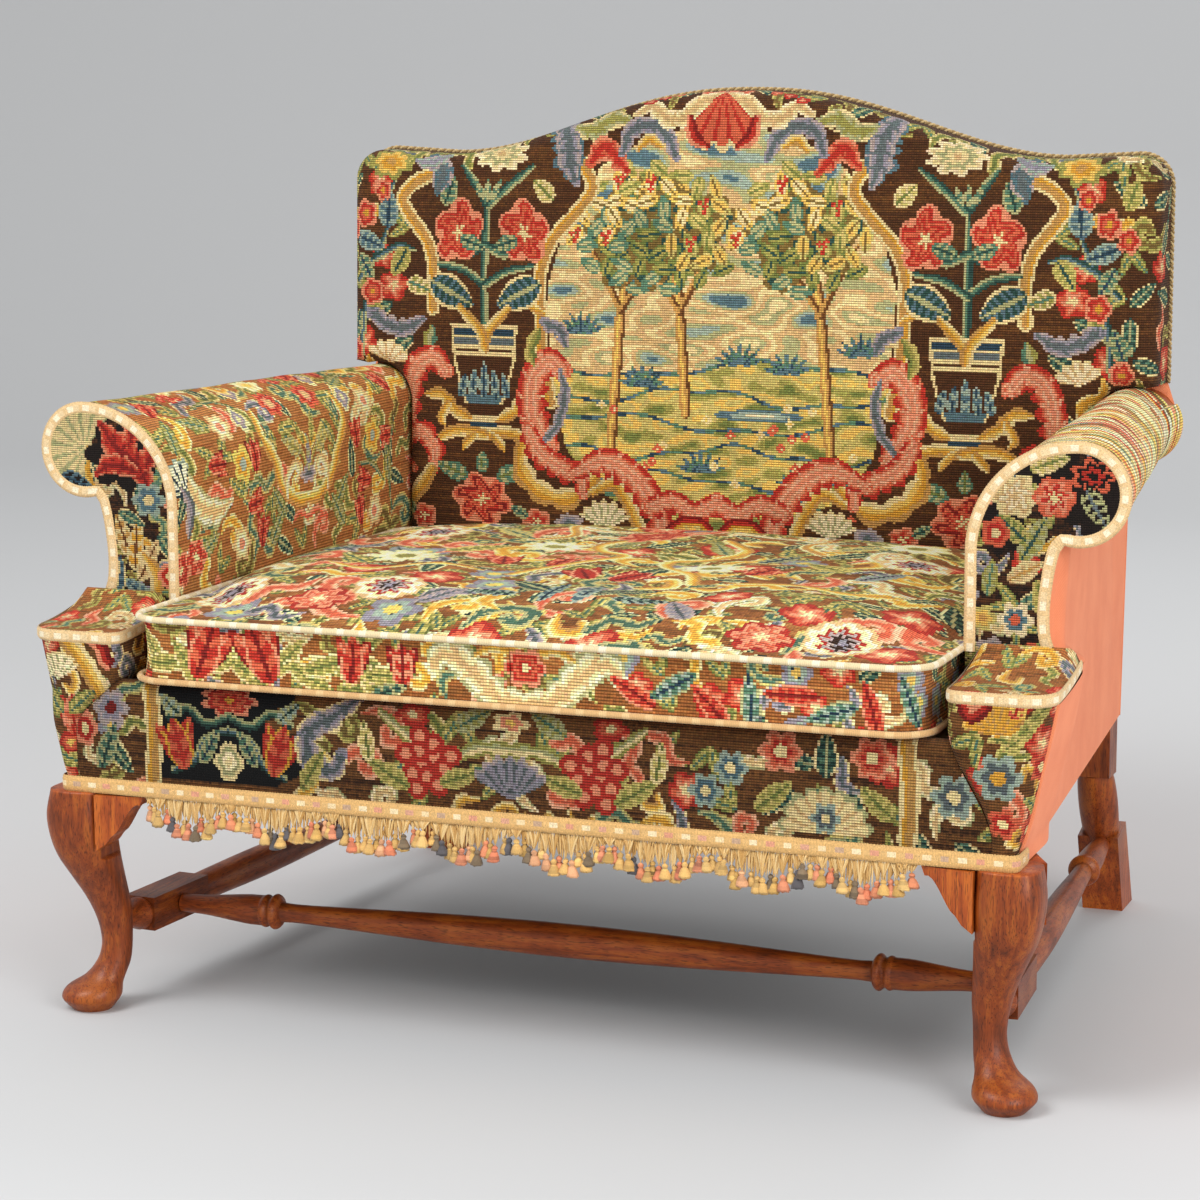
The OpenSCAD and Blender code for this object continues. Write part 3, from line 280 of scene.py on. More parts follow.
@dataclass(frozen=True)
class SetteeShape:
    """Sizes of the settee and the outlines that its covers follow, as the CAD source has them."""

    total_h: float = 1050.0
    front_w: float = 1122.0
    rear_w: float = 980.0
    frame_d: float = 832.0
    rail_z: float = 265.0
    rail_top: float = 372.0
    seat_z: float = 399.1
    border_h: float = 74.0
    crown_h: float = 30.0
    facing_y: float = 120.0
    inner_w: float = 942.0
    arm_back_w: float = 49.0
    arm_t: float = 102.0
    arm_top_z: float = 699.0
    roll_d: float = 110.0
    roll_back_d: float = 100.0
    roll_out: float = 18.0
    roll_out_back: float = 15.0
    roll_fall: float = 10.0
    neck_back: float = 6.0
    block_z: float = 452.0
    block_flare: float = 39.0
    block_in: float = 484.0
    back_w: float = 1082.0
    hump_h: float = 83.0
    hump_half: float = 412.0
    corner_r: float = 38.0
    back_face_y: float = 738.0
    gimp_h: float = 18.0
    arm_base_z: float = 375.3
    roll_end: float = math.radians(-105)
    cushion_z: float = 399.4
    gap: float = 0.3

    @property
    def arm_end_y(self) -> float:
        """Depth at which the arm meets the back's pad."""
        return self.back_face_y - self.gap

    @property
    def neck_z(self) -> float:
        """Height of the neck under the arm's roll."""
        return self.arm_top_z - self.roll_d

    @property
    def cushion_top(self) -> float:
        """Height of the cushion's upper cord."""
        return self.cushion_z + self.border_h

    def side_x(self, y: float) -> float:
        """Half width over the rails at depth y."""
        return lerp(self.front_w, self.rear_w, y / self.frame_d) / 2

    def arm_share(self, y: float) -> float:
        """Share of the way back along the arm."""
        return float(np.clip((y - self.facing_y) / (self.arm_end_y - self.facing_y), 0, 1))

    def neck_x(self, y: float) -> float:
        """Distance of the arm's neck from the middle."""
        return lerp(self.inner_w / 2 + self.arm_t, self.side_x(self.frame_d) + self.neck_back,
                    self.arm_share(y))

    def roll(self, y: float) -> tuple[float, float, float]:
        """Distance, height and radius of the arm's roll at depth y."""
        share = self.arm_share(y)
        x = self.neck_x(y) + lerp(self.roll_out, self.roll_out_back, share)
        z = self.arm_top_z - self.roll_d / 2 - self.roll_fall / 2 * share
        return x, z, lerp(self.roll_d, self.roll_back_d, share) / 2

    def inner_x(self, y: float) -> float:
        """Distance of the arm's inside face from the middle."""
        back = self.roll(self.frame_d)[0] - self.arm_back_w
        return lerp(self.inner_w / 2, back, self.arm_share(y))

    def arm_path(self, y: float, inset: float = 0.0, base: float | None = None) -> Array:
        """Section of the arm at depth y, from the seat up the inside and round the roll to the neck.

        Args:
            y: Depth behind the front rail cover.
            inset: Distance inside the cover's face.
            base: Height at which the path starts.

        Returns:
            Points of x and z.
        """
        base = self.arm_base_z if base is None else base
        x_in = self.inner_x(y) + inset
        x_roll, z_roll, r = self.roll(y)
        r -= inset
        top = z_roll + r
        wide = x_roll - x_in
        tall = min(wide, top - base - 40)
        rise = np.linspace(base, top - tall, 24)
        turn = np.linspace(math.pi, math.pi / 2, 40)[1:]
        over = np.linspace(math.pi / 2, self.roll_end, 64)[1:]
        bend = joined(x_roll + wide * np.cos(turn), top - tall + tall * np.sin(turn))
        return np.vstack([joined(x_in, rise), bend, arc(x_roll, z_roll, r, over)])

    def facing_outline(self, inset: float = 0.0) -> Array:
        """Outline of the arm's facing, from its inside foot over the roll to the outside foot."""
        neck = self.neck_x(self.facing_y) - inset
        foot = smooth_path([(neck - 3, self.neck_z - 6 + inset), (neck - 8, self.neck_z - 30),
                            (neck - 12, self.neck_z - 65), (neck - 11, self.neck_z - 95),
                            (neck - 4, self.block_z + 18), (neck - 2, self.block_z - 20)])
        return np.vstack([self.arm_path(self.facing_y, inset, self.block_z - 20), foot])

    def block_edge(self, z: float, side: int = 1) -> float:
        """Distance of the front block's inner edge from the middle; the left block narrows lower down."""
        foot, start = (532.0, 290.0) if side > 0 else (541.0, 338.0)
        return self.block_in + (foot - self.block_in) * (1 - float(ease((z - start) / (412 - start))))

    def foot_x(self, z: Array) -> Array:
        """Distance of the facing's outside foot from the middle at height z."""
        return self.neck_x(self.facing_y) + np.interp(z, (470, 494, 524, 559, 583), (-4, -11, -12, -8, -3))

    def block_out(self, z: float) -> float:
        """Distance of the front block's outer side from the middle."""
        low = self.rail_z + self.gimp_h
        share = min(1.0, max(0.0, (z - low) / (self.block_z - low)))
        return self.side_x(0) + self.block_flare * share**0.8

    def block_ring(self, z: float, y_end: float, side: int = 1) -> Array:
        """Path round the front block at height z, from its inner rear corner to its outer side."""
        x0 = self.block_edge(z, side) + self.gap
        x1 = self.block_out(z) - 3.7
        y0 = -lerp(3, 10, min(1.0, max(0.0, (z - self.rail_z - self.gimp_h - 2) / 160)))
        r1 = min(34.0, (x1 - x0) * 0.45)
        r0 = min(16.0, (x1 - x0) * 0.3)
        near = np.linspace(math.pi, 1.5 * math.pi, 12)
        far = np.linspace(1.5 * math.pi, 2 * math.pi, 18)
        return np.vstack([(x0, self.facing_y - self.gap), arc(x0 + r0, y0 + r0, r0, near),
                          arc(x1 - r1, y0 + r1, r1, far), (x1, y_end)])

    def outside_x(self, y: float, z: float) -> float:
        """Distance of the plain outside cloth from the middle."""
        up = min(1.0, max(0.0, (z - self.rail_z) / (self.neck_z - self.rail_z)))
        plain = lerp(self.side_x(y), self.neck_x(max(y, self.facing_y)) - 1, up)
        near = 1 - float(ease((y - self.facing_y - 4) / 100))
        pull = near * (1 if z <= self.block_z + 16 else 0.4)
        return max(plain, lerp(plain, self.block_out(min(z, self.block_z)) - 0.2, pull))

    def crest_z(self, x: Array) -> Array:
        """Height of the camel back's top edge."""
        shoulder = self.total_h - self.hump_h
        t = np.abs(x) / self.hump_half
        hump = self.hump_h * (1 + np.cos(math.pi * np.minimum(t, 1) ** 1.15)) / 2
        rest = self.back_w / 2 - self.corner_r - self.hump_half
        return shoulder + np.where(t < 1, hump, 5 * np.clip((np.abs(x) - self.hump_half) / rest, 0, 1))

    def upper_outline(self, inset: float = 0.0) -> Array:
        """Right half of the back's edge above the arm, from the arm up and in to the crest."""
        half = self.back_w / 2 - inset
        r = self.corner_r - inset / 2
        centre = self.total_h - self.hump_h + 5 - r - inset
        low = self.arm_top_z - self.roll_fall + 3 + inset
        turn = np.linspace(0, math.pi / 2, 16)
        across = np.linspace(half - r, 0, 90)[1:]
        side = joined(half, np.linspace(low, centre, 13)[:-1])
        crest = joined(across, self.crest_z(across) - inset)
        return np.vstack([side, arc(half - r, centre, r, turn), crest])

    def back_outline(self, inset: float = 0.0) -> Array:
        """Closed outline of the back's pad, anticlockwise as seen from the front."""
        base = self.rail_top + 8 + inset
        over = self.arm_path(self.frame_d, -1.8 - inset, base)
        crossing = int(np.argmax(over[:, 0] > self.back_w / 2 - 16 - inset))
        return mirrored(np.vstack([over[:crossing], self.upper_outline(inset)]))

    def back_y(self, z: Array) -> Array:
        """Depth of the back's front face, which leans, before its crown."""
        return self.back_face_y + 24 / (self.total_h - self.seat_z) * (z - self.seat_z)


SHAPE = SetteeShape()


class Outline:
    """Closed outline in a plane, anticlockwise, that tells how near any point is."""

    def __init__(self, points: Array, step: float = 2.0) -> None:
        """Resamples the outline evenly.

        Args:
            points: Corner points, the last joining the first.
            step: Distance between the kept points.
        """
        closed = np.vstack([points, points[:1]])
        count = int(lengths_along(closed)[-1] / step)
        self.points = resample(closed, np.arange(count) / count)
        self.ahead = np.roll(self.points, -1, axis=0) - self.points
        self.span = np.linalg.norm(self.ahead, axis=1)

    def depth(self, wanted: Array, reach: float) -> Array:
        """Share from 0 at the outline to 1 at reach inside it."""
        return np.clip(-self.nearest(wanted)[2], 0, reach) / reach

    def nearest(self, wanted: Array) -> tuple[Array, Array, Array]:
        """Finds the nearest point of the outline.

        Args:
            wanted: Points to measure, one a row.

        Returns:
            The nearest points, the outward normals there and the signed distances, inside negative.
        """
        found = np.empty_like(wanted)
        normal = np.empty_like(wanted)
        signed = np.empty(len(wanted))
        for start in range(0, len(wanted), 4000):
            part = wanted[start : start + 4000]
            gaps = (part[:, None, 0] - self.points[None, :, 0]) ** 2
            gaps += (part[:, None, 1] - self.points[None, :, 1]) ** 2
            vertex = np.argmin(gaps, axis=1)
            best = np.full(len(part), np.inf)
            for shift in (-1, 0):
                k = (vertex + shift) % len(self.points)
                along = np.einsum("ij,ij->i", part - self.points[k], self.ahead[k]) / self.span[k] ** 2
                spot = self.points[k] + np.clip(along, 0, 1)[:, None] * self.ahead[k]
                gap = np.linalg.norm(part - spot, axis=1)
                closer = gap < best
                best = np.where(closer, gap, best)
                way = joined(self.ahead[k, 1], -self.ahead[k, 0]) / self.span[k, None]
                rows = np.flatnonzero(closer)
                found[start + rows] = spot[rows]
                normal[start + rows] = way[rows]
            off = part - found[start : start + 4000]
            side = np.einsum("ij,ij->i", off, normal[start : start + 4000])
            signed[start : start + 4000] = np.where(side < 0, -best, best)
            true_way = off * np.where(side < 0, -1, 1)[:, None]
            clear = best > 0.5
            normal[start : start + 4000][clear] = (true_way / np.maximum(best, 1e-9)[:, None])[clear]
        return found, normal, signed


# ---------------------------------------------------------------- meshes


def grid_quads(rows: int, columns: int, wrap: bool = False) -> Array:
    """Corner numbers of the quads of a grid of points, row by row."""
    r, c = np.meshgrid(np.arange(rows - 1), np.arange(columns if wrap else columns - 1), indexing="ij")
    right = (c + 1) % columns
    corners = (r * columns + c, r * columns + right, (r + 1) * columns + right, (r + 1) * columns + c)
    return joined(*(k.ravel() for k in corners))


def on_rim(quads: Array, count: int) -> Array:
    """Whether each of count points lies on the rim of the quads."""
    uses = np.bincount(quads.ravel(), minlength=count)
    return (uses > 0) & (uses < 4)


def hoops(turn: Array, side: Array, over: Array) -> Array:
    """Unit rings across a path, one at each of its points."""
    return np.cos(turn)[None, :, None] * side[:, None] + np.sin(turn)[None, :, None] * over[:, None]


class Draft:
    """Collects sheets of quads in source millimetres and makes one object of them."""

    def __init__(self) -> None:
        """Starts an empty draft."""
        self.points: list[Array] = []
        self.quads: list[Array] = []
        self.flats: list[Array] = []
        self.wools: list[Array] = []
        self.count = 0

    def sheet(self, points: Array, quads: Array, flat: Array, wools: Array, flip: bool = False) -> None:
        """Adds a sheet of quads.

        Args:
            points: Places of the corners, one a row.
            quads: Corner numbers of each quad.
            flat: Place of each quad's four corners on the flat cloth, in millimetres.
            wools: Linear colour of each quad, or one colour for all.
            flip: Whether the quads turn over.
        """
        colours = np.broadcast_to(wools, (len(quads), 3))
        order = [0, 3, 2, 1] if flip else [0, 1, 2, 3]
        self.points.append(points)
        self.quads.append(quads[:, order] + self.count)
        self.flats.append(flat[:, order])
        self.wools.append(colours)
        self.count += len(points)

    def grid(self, points: Array, wools: Array, flat: Array | None = None, wrap: bool = False) -> None:
        """Adds a grid of points as a sheet.

        Args:
            points: Array of rows, columns and coordinates.
            wools: Linear colour of each quad, or one colour for all.
            flat: Place of each grid point on the flat cloth; walked lengths if left out.
            wrap: Whether the last column joins the first.
        """
        rows, columns = points.shape[:2]
        if flat is None:
            middle = points[rows // 2]
            across = np.vstack([middle, middle[:1]]) if wrap else middle
            flat = lattice(lengths_along(across), lengths_along(points[:, 0]))
        corners = flat.reshape(-1, 2)[grid_quads(rows, flat.shape[1])]
        self.sheet(points.reshape(-1, 3), grid_quads(rows, columns, wrap), corners, wools)

    def tube(self, path: Array, radius: Array | float, sides: int, wools: Array, capped: bool = True) -> None:
        """Adds a round strand along a path.

        Args:
            path: Points of the strand's middle.
            radius: Radius along the path.
            sides: Number of faces round it.
            wools: Linear colour of the strand, or one for each quad.
            capped: Whether both ends draw in to a point.
        """
        ahead = tangents(path)
        guide = np.where(np.abs(ahead[:, 2:]) < 0.9, (0.0, 0.0, 1.0), (0.0, 1.0, 0.0))
        side = units(np.cross(ahead, guide))
        up = np.cross(side, ahead)
        r = np.broadcast_to(radius, len(path)).astype(float).copy()
        if capped:
            r[0] = r[-1] = min(r.min(), 0.12)
        turn = np.linspace(0, 2 * math.pi, sides, endpoint=False)
        self.grid(path[:, None] + r[:, None, None] * hoops(turn, side, up), wools, wrap=True)

    @property
    def flat_area(self) -> float:
        """Area of the flat cloth in square metres."""
        total = 0.0
        for flat in self.flats:
            a, b = flat[:, 2] - flat[:, 0], flat[:, 3] - flat[:, 1]
            total += float(np.abs(a[:, 0] * b[:, 1] - a[:, 1] * b[:, 0]).sum()) / 2
        return total * MM * MM

    def packed(self) -> Array:
        """Lays the flat sheets side by side in a unit square for baking.

        Returns:
            One bake coordinate for each corner of each quad.
        """
        boxes = [(flat.reshape(-1, 2).min(0), flat.reshape(-1, 2).max(0)) for flat in self.flats]
        sizes = [high - low for low, high in boxes]
        margin = 0.012 * max(float(s.max()) for s in sizes)
        wide = max(math.sqrt(sum(float((s[0] + margin) * (s[1] + margin)) for s in sizes)) * 1.1,
                   max(float(s[0]) for s in sizes) + margin)
        x = y = shelf = 0.0
        spots: dict[int, Pair] = {}
        for k in sorted(range(len(sizes)), key=lambda i: -sizes[i][1]):
            if x + sizes[k][0] > wide:
                x, y, shelf = 0.0, y + shelf + margin, 0.0
            spots[k] = (x, y)
            x += sizes[k][0] + margin
            shelf = max(shelf, sizes[k][1])
        whole = max(wide, y + shelf) + margin
        moved = [(flat - boxes[k][0] + spots[k] + margin / 2) / whole for k, flat in enumerate(self.flats)]
        return np.vstack([m.reshape(-1, 2) for m in moved])

    def build(
        self, name: str, material: bpy.types.Material, slot: str, body: str, replaced: Sequence[str],
        side: int = 1, stitch: float = 3.0,
    ) -> bpy.types.Object:
        """Makes the object, lets it ride on its body and hides what it stands for.

        Args:
            name: Name of the piece.
            material: Its material.
            slot: Material slot of the record; not used.
            body: CAD body that carries it.
            replaced: CAD nodes that it stands for.
            side: 1 as drawn, -1 mirrored to the left.
            stitch: Size of a stitch or thread in millimetres, one unit of the stitch map.

        Returns:
            The new object.
        """
        points = np.vstack(self.points) * (side, 1, 1)
        quads = np.vstack(self.quads)
        flats = np.vstack([f.reshape(-1, 2) for f in self.flats])
        colours = np.vstack(self.wools)
        bake = self.packed()
        mesh = bpy.data.meshes.new(name)
        mesh.from_pydata(to_frame(points).tolist(), [], quads.tolist())
        attribute = mesh.attributes.new("Wool", "FLOAT_COLOR", "CORNER")
        shade = np.ones((len(quads) * 4, 4), np.float32)
        shade[:, :3] = np.repeat(colours, 4, axis=0)
        attribute.data.foreach_set("color", shade.ravel())
        for title, values in (("OFBake", bake), ("Stitch", flats / stitch)):
            layer = mesh.uv_layers.new(name=title)
            layer.data.foreach_set("uv", values.astype(np.float32).ravel())
        if side < 0:
            work = bmesh.new()
            work.from_mesh(mesh)
            bmesh.ops.reverse_faces(work, faces=work.faces)
            work.to_mesh(mesh)
            work.free()
        mesh.shade_smooth()
        mesh.materials.append(material)
        made = placed(name, mesh)
        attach(made, body)
        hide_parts(*replaced)
        LOG.info("%s: %d quads", name, len(quads))
        return made


# ---------------------------------------------------------------- needlework painting


class Canvas:
    """The stitches of one panel: where each lies on the flat cloth and the wool it is worked in."""

    def __init__(self, u: Array, v: Array, ground: Shades, seed: int) -> None:
        """Fills the panel with its ground.

        Args:
            u: Place of each stitch across the cloth, in millimetres.
            v: Place of each stitch up the cloth.
            ground: Wools of the ground, mixed in rows.
            seed: Seed of the small irregularities.
        """
        self.u = np.ravel(u).astype(float)
        self.v = np.ravel(v).astype(float)
        self.random = np.random.default_rng(seed)
        self.rgb = np.empty((len(self.u), 3))
        rows = np.floor(self.v / 3.4).astype(int) % 997
        tone = 0.5 + 0.16 * self.random.normal(size=997)[rows] + 0.09 * self.random.normal(size=len(self.u))
        tone += 0.14 * ripples(joined(self.u / 4, self.v), 45, seed)
        table = np.array([linear(w.value) for w in ground])
        for k in range(3):
            self.rgb[:, k] = np.interp(tone, np.linspace(0.1, 0.9, len(table)), table[:, k])

    def folded(self, axis: float) -> "Canvas":
        """Gives the same stitches with both halves folded on an axis, so that one motif makes two."""
        half = object.__new__(Canvas)
        half.u, half.v, half.rgb, half.random = np.abs(self.u - axis), self.v, self.rgb, self.random
        return half

    def near(self, spot: Pair, reach: float) -> Array:
        """Numbers of the stitches within a square round a spot."""
        return np.flatnonzero((np.abs(self.u - spot[0]) < reach) & (np.abs(self.v - spot[1]) < reach))

    def lay(self, where: Array, level: Array, wools: Shades) -> None:
        """Works stitches in shades by a level from 0 to 1."""
        table = np.array([linear(w.value) for w in wools])
        self.rgb[where] = table[np.clip((level * len(wools)).astype(int), 0, len(wools) - 1)]

    def turned(self, where: Array, spot: Pair, size: Pair, turn: float) -> tuple[Array, Array]:
        """Places of stitches seen from a spot, turned and in half sizes.

        Args:
            where: Numbers of the stitches.
            spot: Middle of the motif.
            size: Width and height of the motif, or its length and width.
            turn: Turn in degrees.

        Returns:
            The place of each stitch along and across.
        """
        a = math.radians(turn)
        du, dv = self.u[where] - spot[0], self.v[where] - spot[1]
        along = (du * math.cos(a) + dv * math.sin(a)) * 2 / size[0]
        return along, (dv * math.cos(a) - du * math.sin(a)) * 2 / size[1]

    def bloom(
        self, spot: Pair, size: Pair, wools: Shades, petals: int = 5,
        cut: float = 0.2, turn: float = 0.0, whorl: float = 0.0,
    ) -> None:
        """Works a flower head of petals round a heart.

        Args:
            spot: Middle of the flower.
            size: Width and height.
            wools: Wools from the heart to the rim.
            petals: Number of petals.
            cut: Depth of the notches between them, as a share of the radius.
            turn: Turn in degrees.
            whorl: Strength of the curl that moves the shades round the heart.
        """
        where = self.near(spot, max(size) * 0.62)
        x, y = self.turned(where, spot, size, turn)
        r, a = np.hypot(x, y), np.arctan2(y, x)
        level = r / (1 - cut * (1 - np.abs(np.cos(petals * a / 2))))
        inside = level < 1
        level = level + whorl * np.sin(petals * a + 5 * r) * r * (1 - r)
        self.lay(where[inside], np.clip(level[inside], 0, 0.999), wools)

    def leaf(self, spot: Pair, size: Pair, turn: float, wools: Shades, veins: int = 4) -> None:
        """Works a pointed leaf or petal with a midrib and side veins.

        Args:
            spot: Middle of the leaf.
            size: Length and width.
            turn: Direction of its tip in degrees.
            wools: Midrib, dark, light and rim wools.
            veins: Number of side veins.
        """
        where = self.near(spot, size[0] * 0.6)
        s, t = self.turned(where, spot, size, turn)
        wide = np.clip(1 - s * s, 0, None) ** 0.7 * (1 - 0.3 * s)
        level = np.abs(t) / np.maximum(wide, 1e-6)
        inside = (np.abs(s) < 1) & (level < 1)
        comb = np.mod(s * veins / 2 - np.abs(t) * 0.5, 1) < 0.45
        shade = np.where(level < 0.16, 0, np.where(level > 0.78, len(wools) - 1, 1 + comb))
        shade = np.minimum(shade, len(wools) - 1)
        self.lay(where[inside], (shade[inside] + 0.5) / len(wools), wools)

    def across(self, path: Array, reach: float) -> tuple[Array, Array, Array]:
        """Measures the stitches near a path.

        Args:
            path: Points of the path.
            reach: Greatest distance that counts.

        Returns:
            Numbers of the stitches, their signed distance from the path and their share along it.
        """
        low, high = path.min(0) - reach, path.max(0) + reach
        where = np.flatnonzero((self.u > low[0]) & (self.u < high[0]) & (self.v > low[1])
                               & (self.v < high[1]))
        best = np.full(len(where), np.inf)
        signed, share = np.zeros(len(where)), np.zeros(len(where))
        walked = lengths_along(path)
        for k, (a, b) in enumerate(zip(path[:-1], path[1:], strict=True)):
            ahead = b - a
            span = float(ahead @ ahead)
            if span < 1e-9:
                continue
            du, dv = self.u[where] - a[0], self.v[where] - a[1]
            t = np.clip((du * ahead[0] + dv * ahead[1]) / span, 0, 1)
            gap = np.hypot(du - t * ahead[0], dv - t * ahead[1])
            closer = gap < best
            best = np.where(closer, gap, best)
            cross = ahead[0] * dv - ahead[1] * du
            signed = np.where(closer, np.where(cross < 0, -gap, gap), signed)
            share = np.where(closer, (walked[k] + t * math.sqrt(span)) / walked[-1], share)
        return where, signed, share

    def stroke(
        self, points: Path, width: float, wools: Shades, ends: Pair = (1.0, 1.0),
        lobes: int = 0, comb: bool = False,
    ) -> None:
        """Works a stem, strap or scrolling leaf along a curve.

        Args:
            points: Points that the curve passes.
            width: Full width in the middle.
            wools: Wools from the right edge to the left one, or round a comb of veins.
            ends: Width at the start and the end as a share of the width.
            lobes: Number of lobes along both edges.
            comb: Whether it is a scrolling leaf: wools from spine to rim, with veins and lobes on its left.
        """
        path = smooth_path(points, 5)
        where, off, share = self.across(path, width)
        half = width / 2 * np.minimum(lerp(ends[0], 1, ease(share * 3)),
                                      lerp(ends[1], 1, ease((1 - share) * 3)))
        if lobes:
            wave = np.abs(np.sin(math.pi * lobes * share))
            half = half * (0.64 + 0.36 * wave if not comb else np.where(off > 0, 0.66 + 0.46 * wave, 0.84))
        level = np.abs(off) / np.maximum(half, 1e-6)
        inside = level < 1
        if comb:
            vein = np.mod(max(lobes, 4) * share + 0.5 - 0.45 * level, 1) < 0.2
            shade = np.where(vein & (level > 0.25), level - 0.4, level)
        else:
            shade = 0.5 + 0.499 * off / np.maximum(half, 1e-6)
        self.lay(where[inside], np.clip(shade[inside], 0, 0.999), wools)

    def shell(
        self, spot: Pair, radius: float, turn: float, wools: Shades, ribs: int = 6,
        spread: float = 75.0,
    ) -> None:
        """Works a fan or shell of ribs.

        Args:
            spot: Foot of the fan.
            radius: Length of its ribs.
            turn: Direction of its middle rib in degrees.
            wools: Rib, valley and rim wools.
            ribs: Number of ribs.
            spread: Half angle of the fan in degrees.
        """
        where = self.near(spot, radius * 1.05)
        du, dv = self.u[where] - spot[0], self.v[where] - spot[1]
        r = np.hypot(du, dv) / radius
        a = np.degrees(np.arctan2(dv, du)) - turn
        a = (a + 180) % 360 - 180
        wave = np.abs(np.cos(math.pi * ribs * a / (2 * spread)))
        inside = (np.abs(a) < spread) & (r < 0.86 + 0.14 * wave)
        shade = np.where(r > 0.8 + 0.1 * wave, len(wools) - 1, np.where(wave > 0.5, 1, 0))
        self.lay(where[inside], (shade[inside] + 0.5) / len(wools), wools)

    def tulip(self, spot: Pair, size: float, turn: float, wools: Shades) -> None:
        """Works a tulip of three petals and a calyx, size long."""
        for lean, wide, shades in ((28, 0.42, wools), (-28, 0.42, wools), (0, 0.5, wools[::-1])):
            a, base = math.radians(turn + lean * 0.7), math.radians(turn)
            out = size * 0.2 * math.sin(math.radians(lean))
            middle = (spot[0] + out * -math.sin(base) + size * 0.08 * math.cos(a),
                      spot[1] + out * math.cos(base) + size * 0.08 * math.sin(a))
            self.leaf(middle, (size, size * wide), turn + lean, shades, 3)

    def flower(self, spot: Pair, size: float, wools: Shades, heart: Wool, petals: int = 5) -> None:
        """Works an open flower with a plain heart."""
        self.bloom(spot, (size, size), wools, petals, 0.34)
        self.bloom(spot, (size * 0.3, size * 0.3), (heart,), 6, 0.0)

    def berries(self, spot: Pair, spread: float, wools: Shades, count: int = 7) -> None:
        """Works a cluster of berries."""
        for k in range(count):
            a, r = k * 2.4, spread * math.sqrt((k + 0.3) / count)
            self.bloom((spot[0] + r * math.cos(a), spot[1] + r * math.sin(a)),
                       (spread * 0.75, spread * 0.75), wools, 4, 0.0)

    def deepen(self, contrast: float, level: float = 1.0) -> None:
        """Sets light wools further from dark ones, then scales them all.

        Args:
            contrast: Power on the brightness about its usual value.
            level: Factor on the result; it paints light or shade over the whole panel.
        """
        bright = np.maximum(self.rgb @ (0.45, 0.45, 0.1), 0.003)
        usual = math.exp(float(np.log(bright).mean()))
        self.rgb *= (level * (bright / usual) ** (contrast - 1))[:, None]

    def finish(self) -> Array:
        """Gives the wools with the small differences that hand-dyed yarn and wear leave."""
        count = len(self.rgb)
        each = 1 + 0.1 * self.random.normal(size=(count, 1))
        worn = 1 + 0.06 * ripples(joined(self.u, self.v), 90, 5)[:, None]
        tint = 1 + 0.03 * self.random.normal(size=(count, 3))
        aged = np.array((1.0, 0.91, 0.76))  # wool yellows with age
        return np.clip(self.rgb * aged * each * worn * tint, 0.004, 0.92)


class Pattern(Protocol):
    """Needlework design of one panel."""

    def paint(self, canvas: Canvas) -> None:
        """Works the whole panel."""


@dataclass
class SidePattern:
    """A design that differs between the right side, 1, and the left side, -1."""

    side: int


def worked(pattern: Pattern, spots: Array, ground: Shades, seed: int) -> Array:
    """Works a panel.

    Args:
        pattern: Design to follow.
        spots: Place of each stitch on the flat canvas.
        ground: Wools of the ground.
        seed: Seed of the small irregularities.

    Returns:
        Linear colour of each stitch.
    """
    canvas = Canvas(spots[..., 0], spots[..., 1], ground, seed)
    pattern.paint(canvas)
    return canvas.finish()


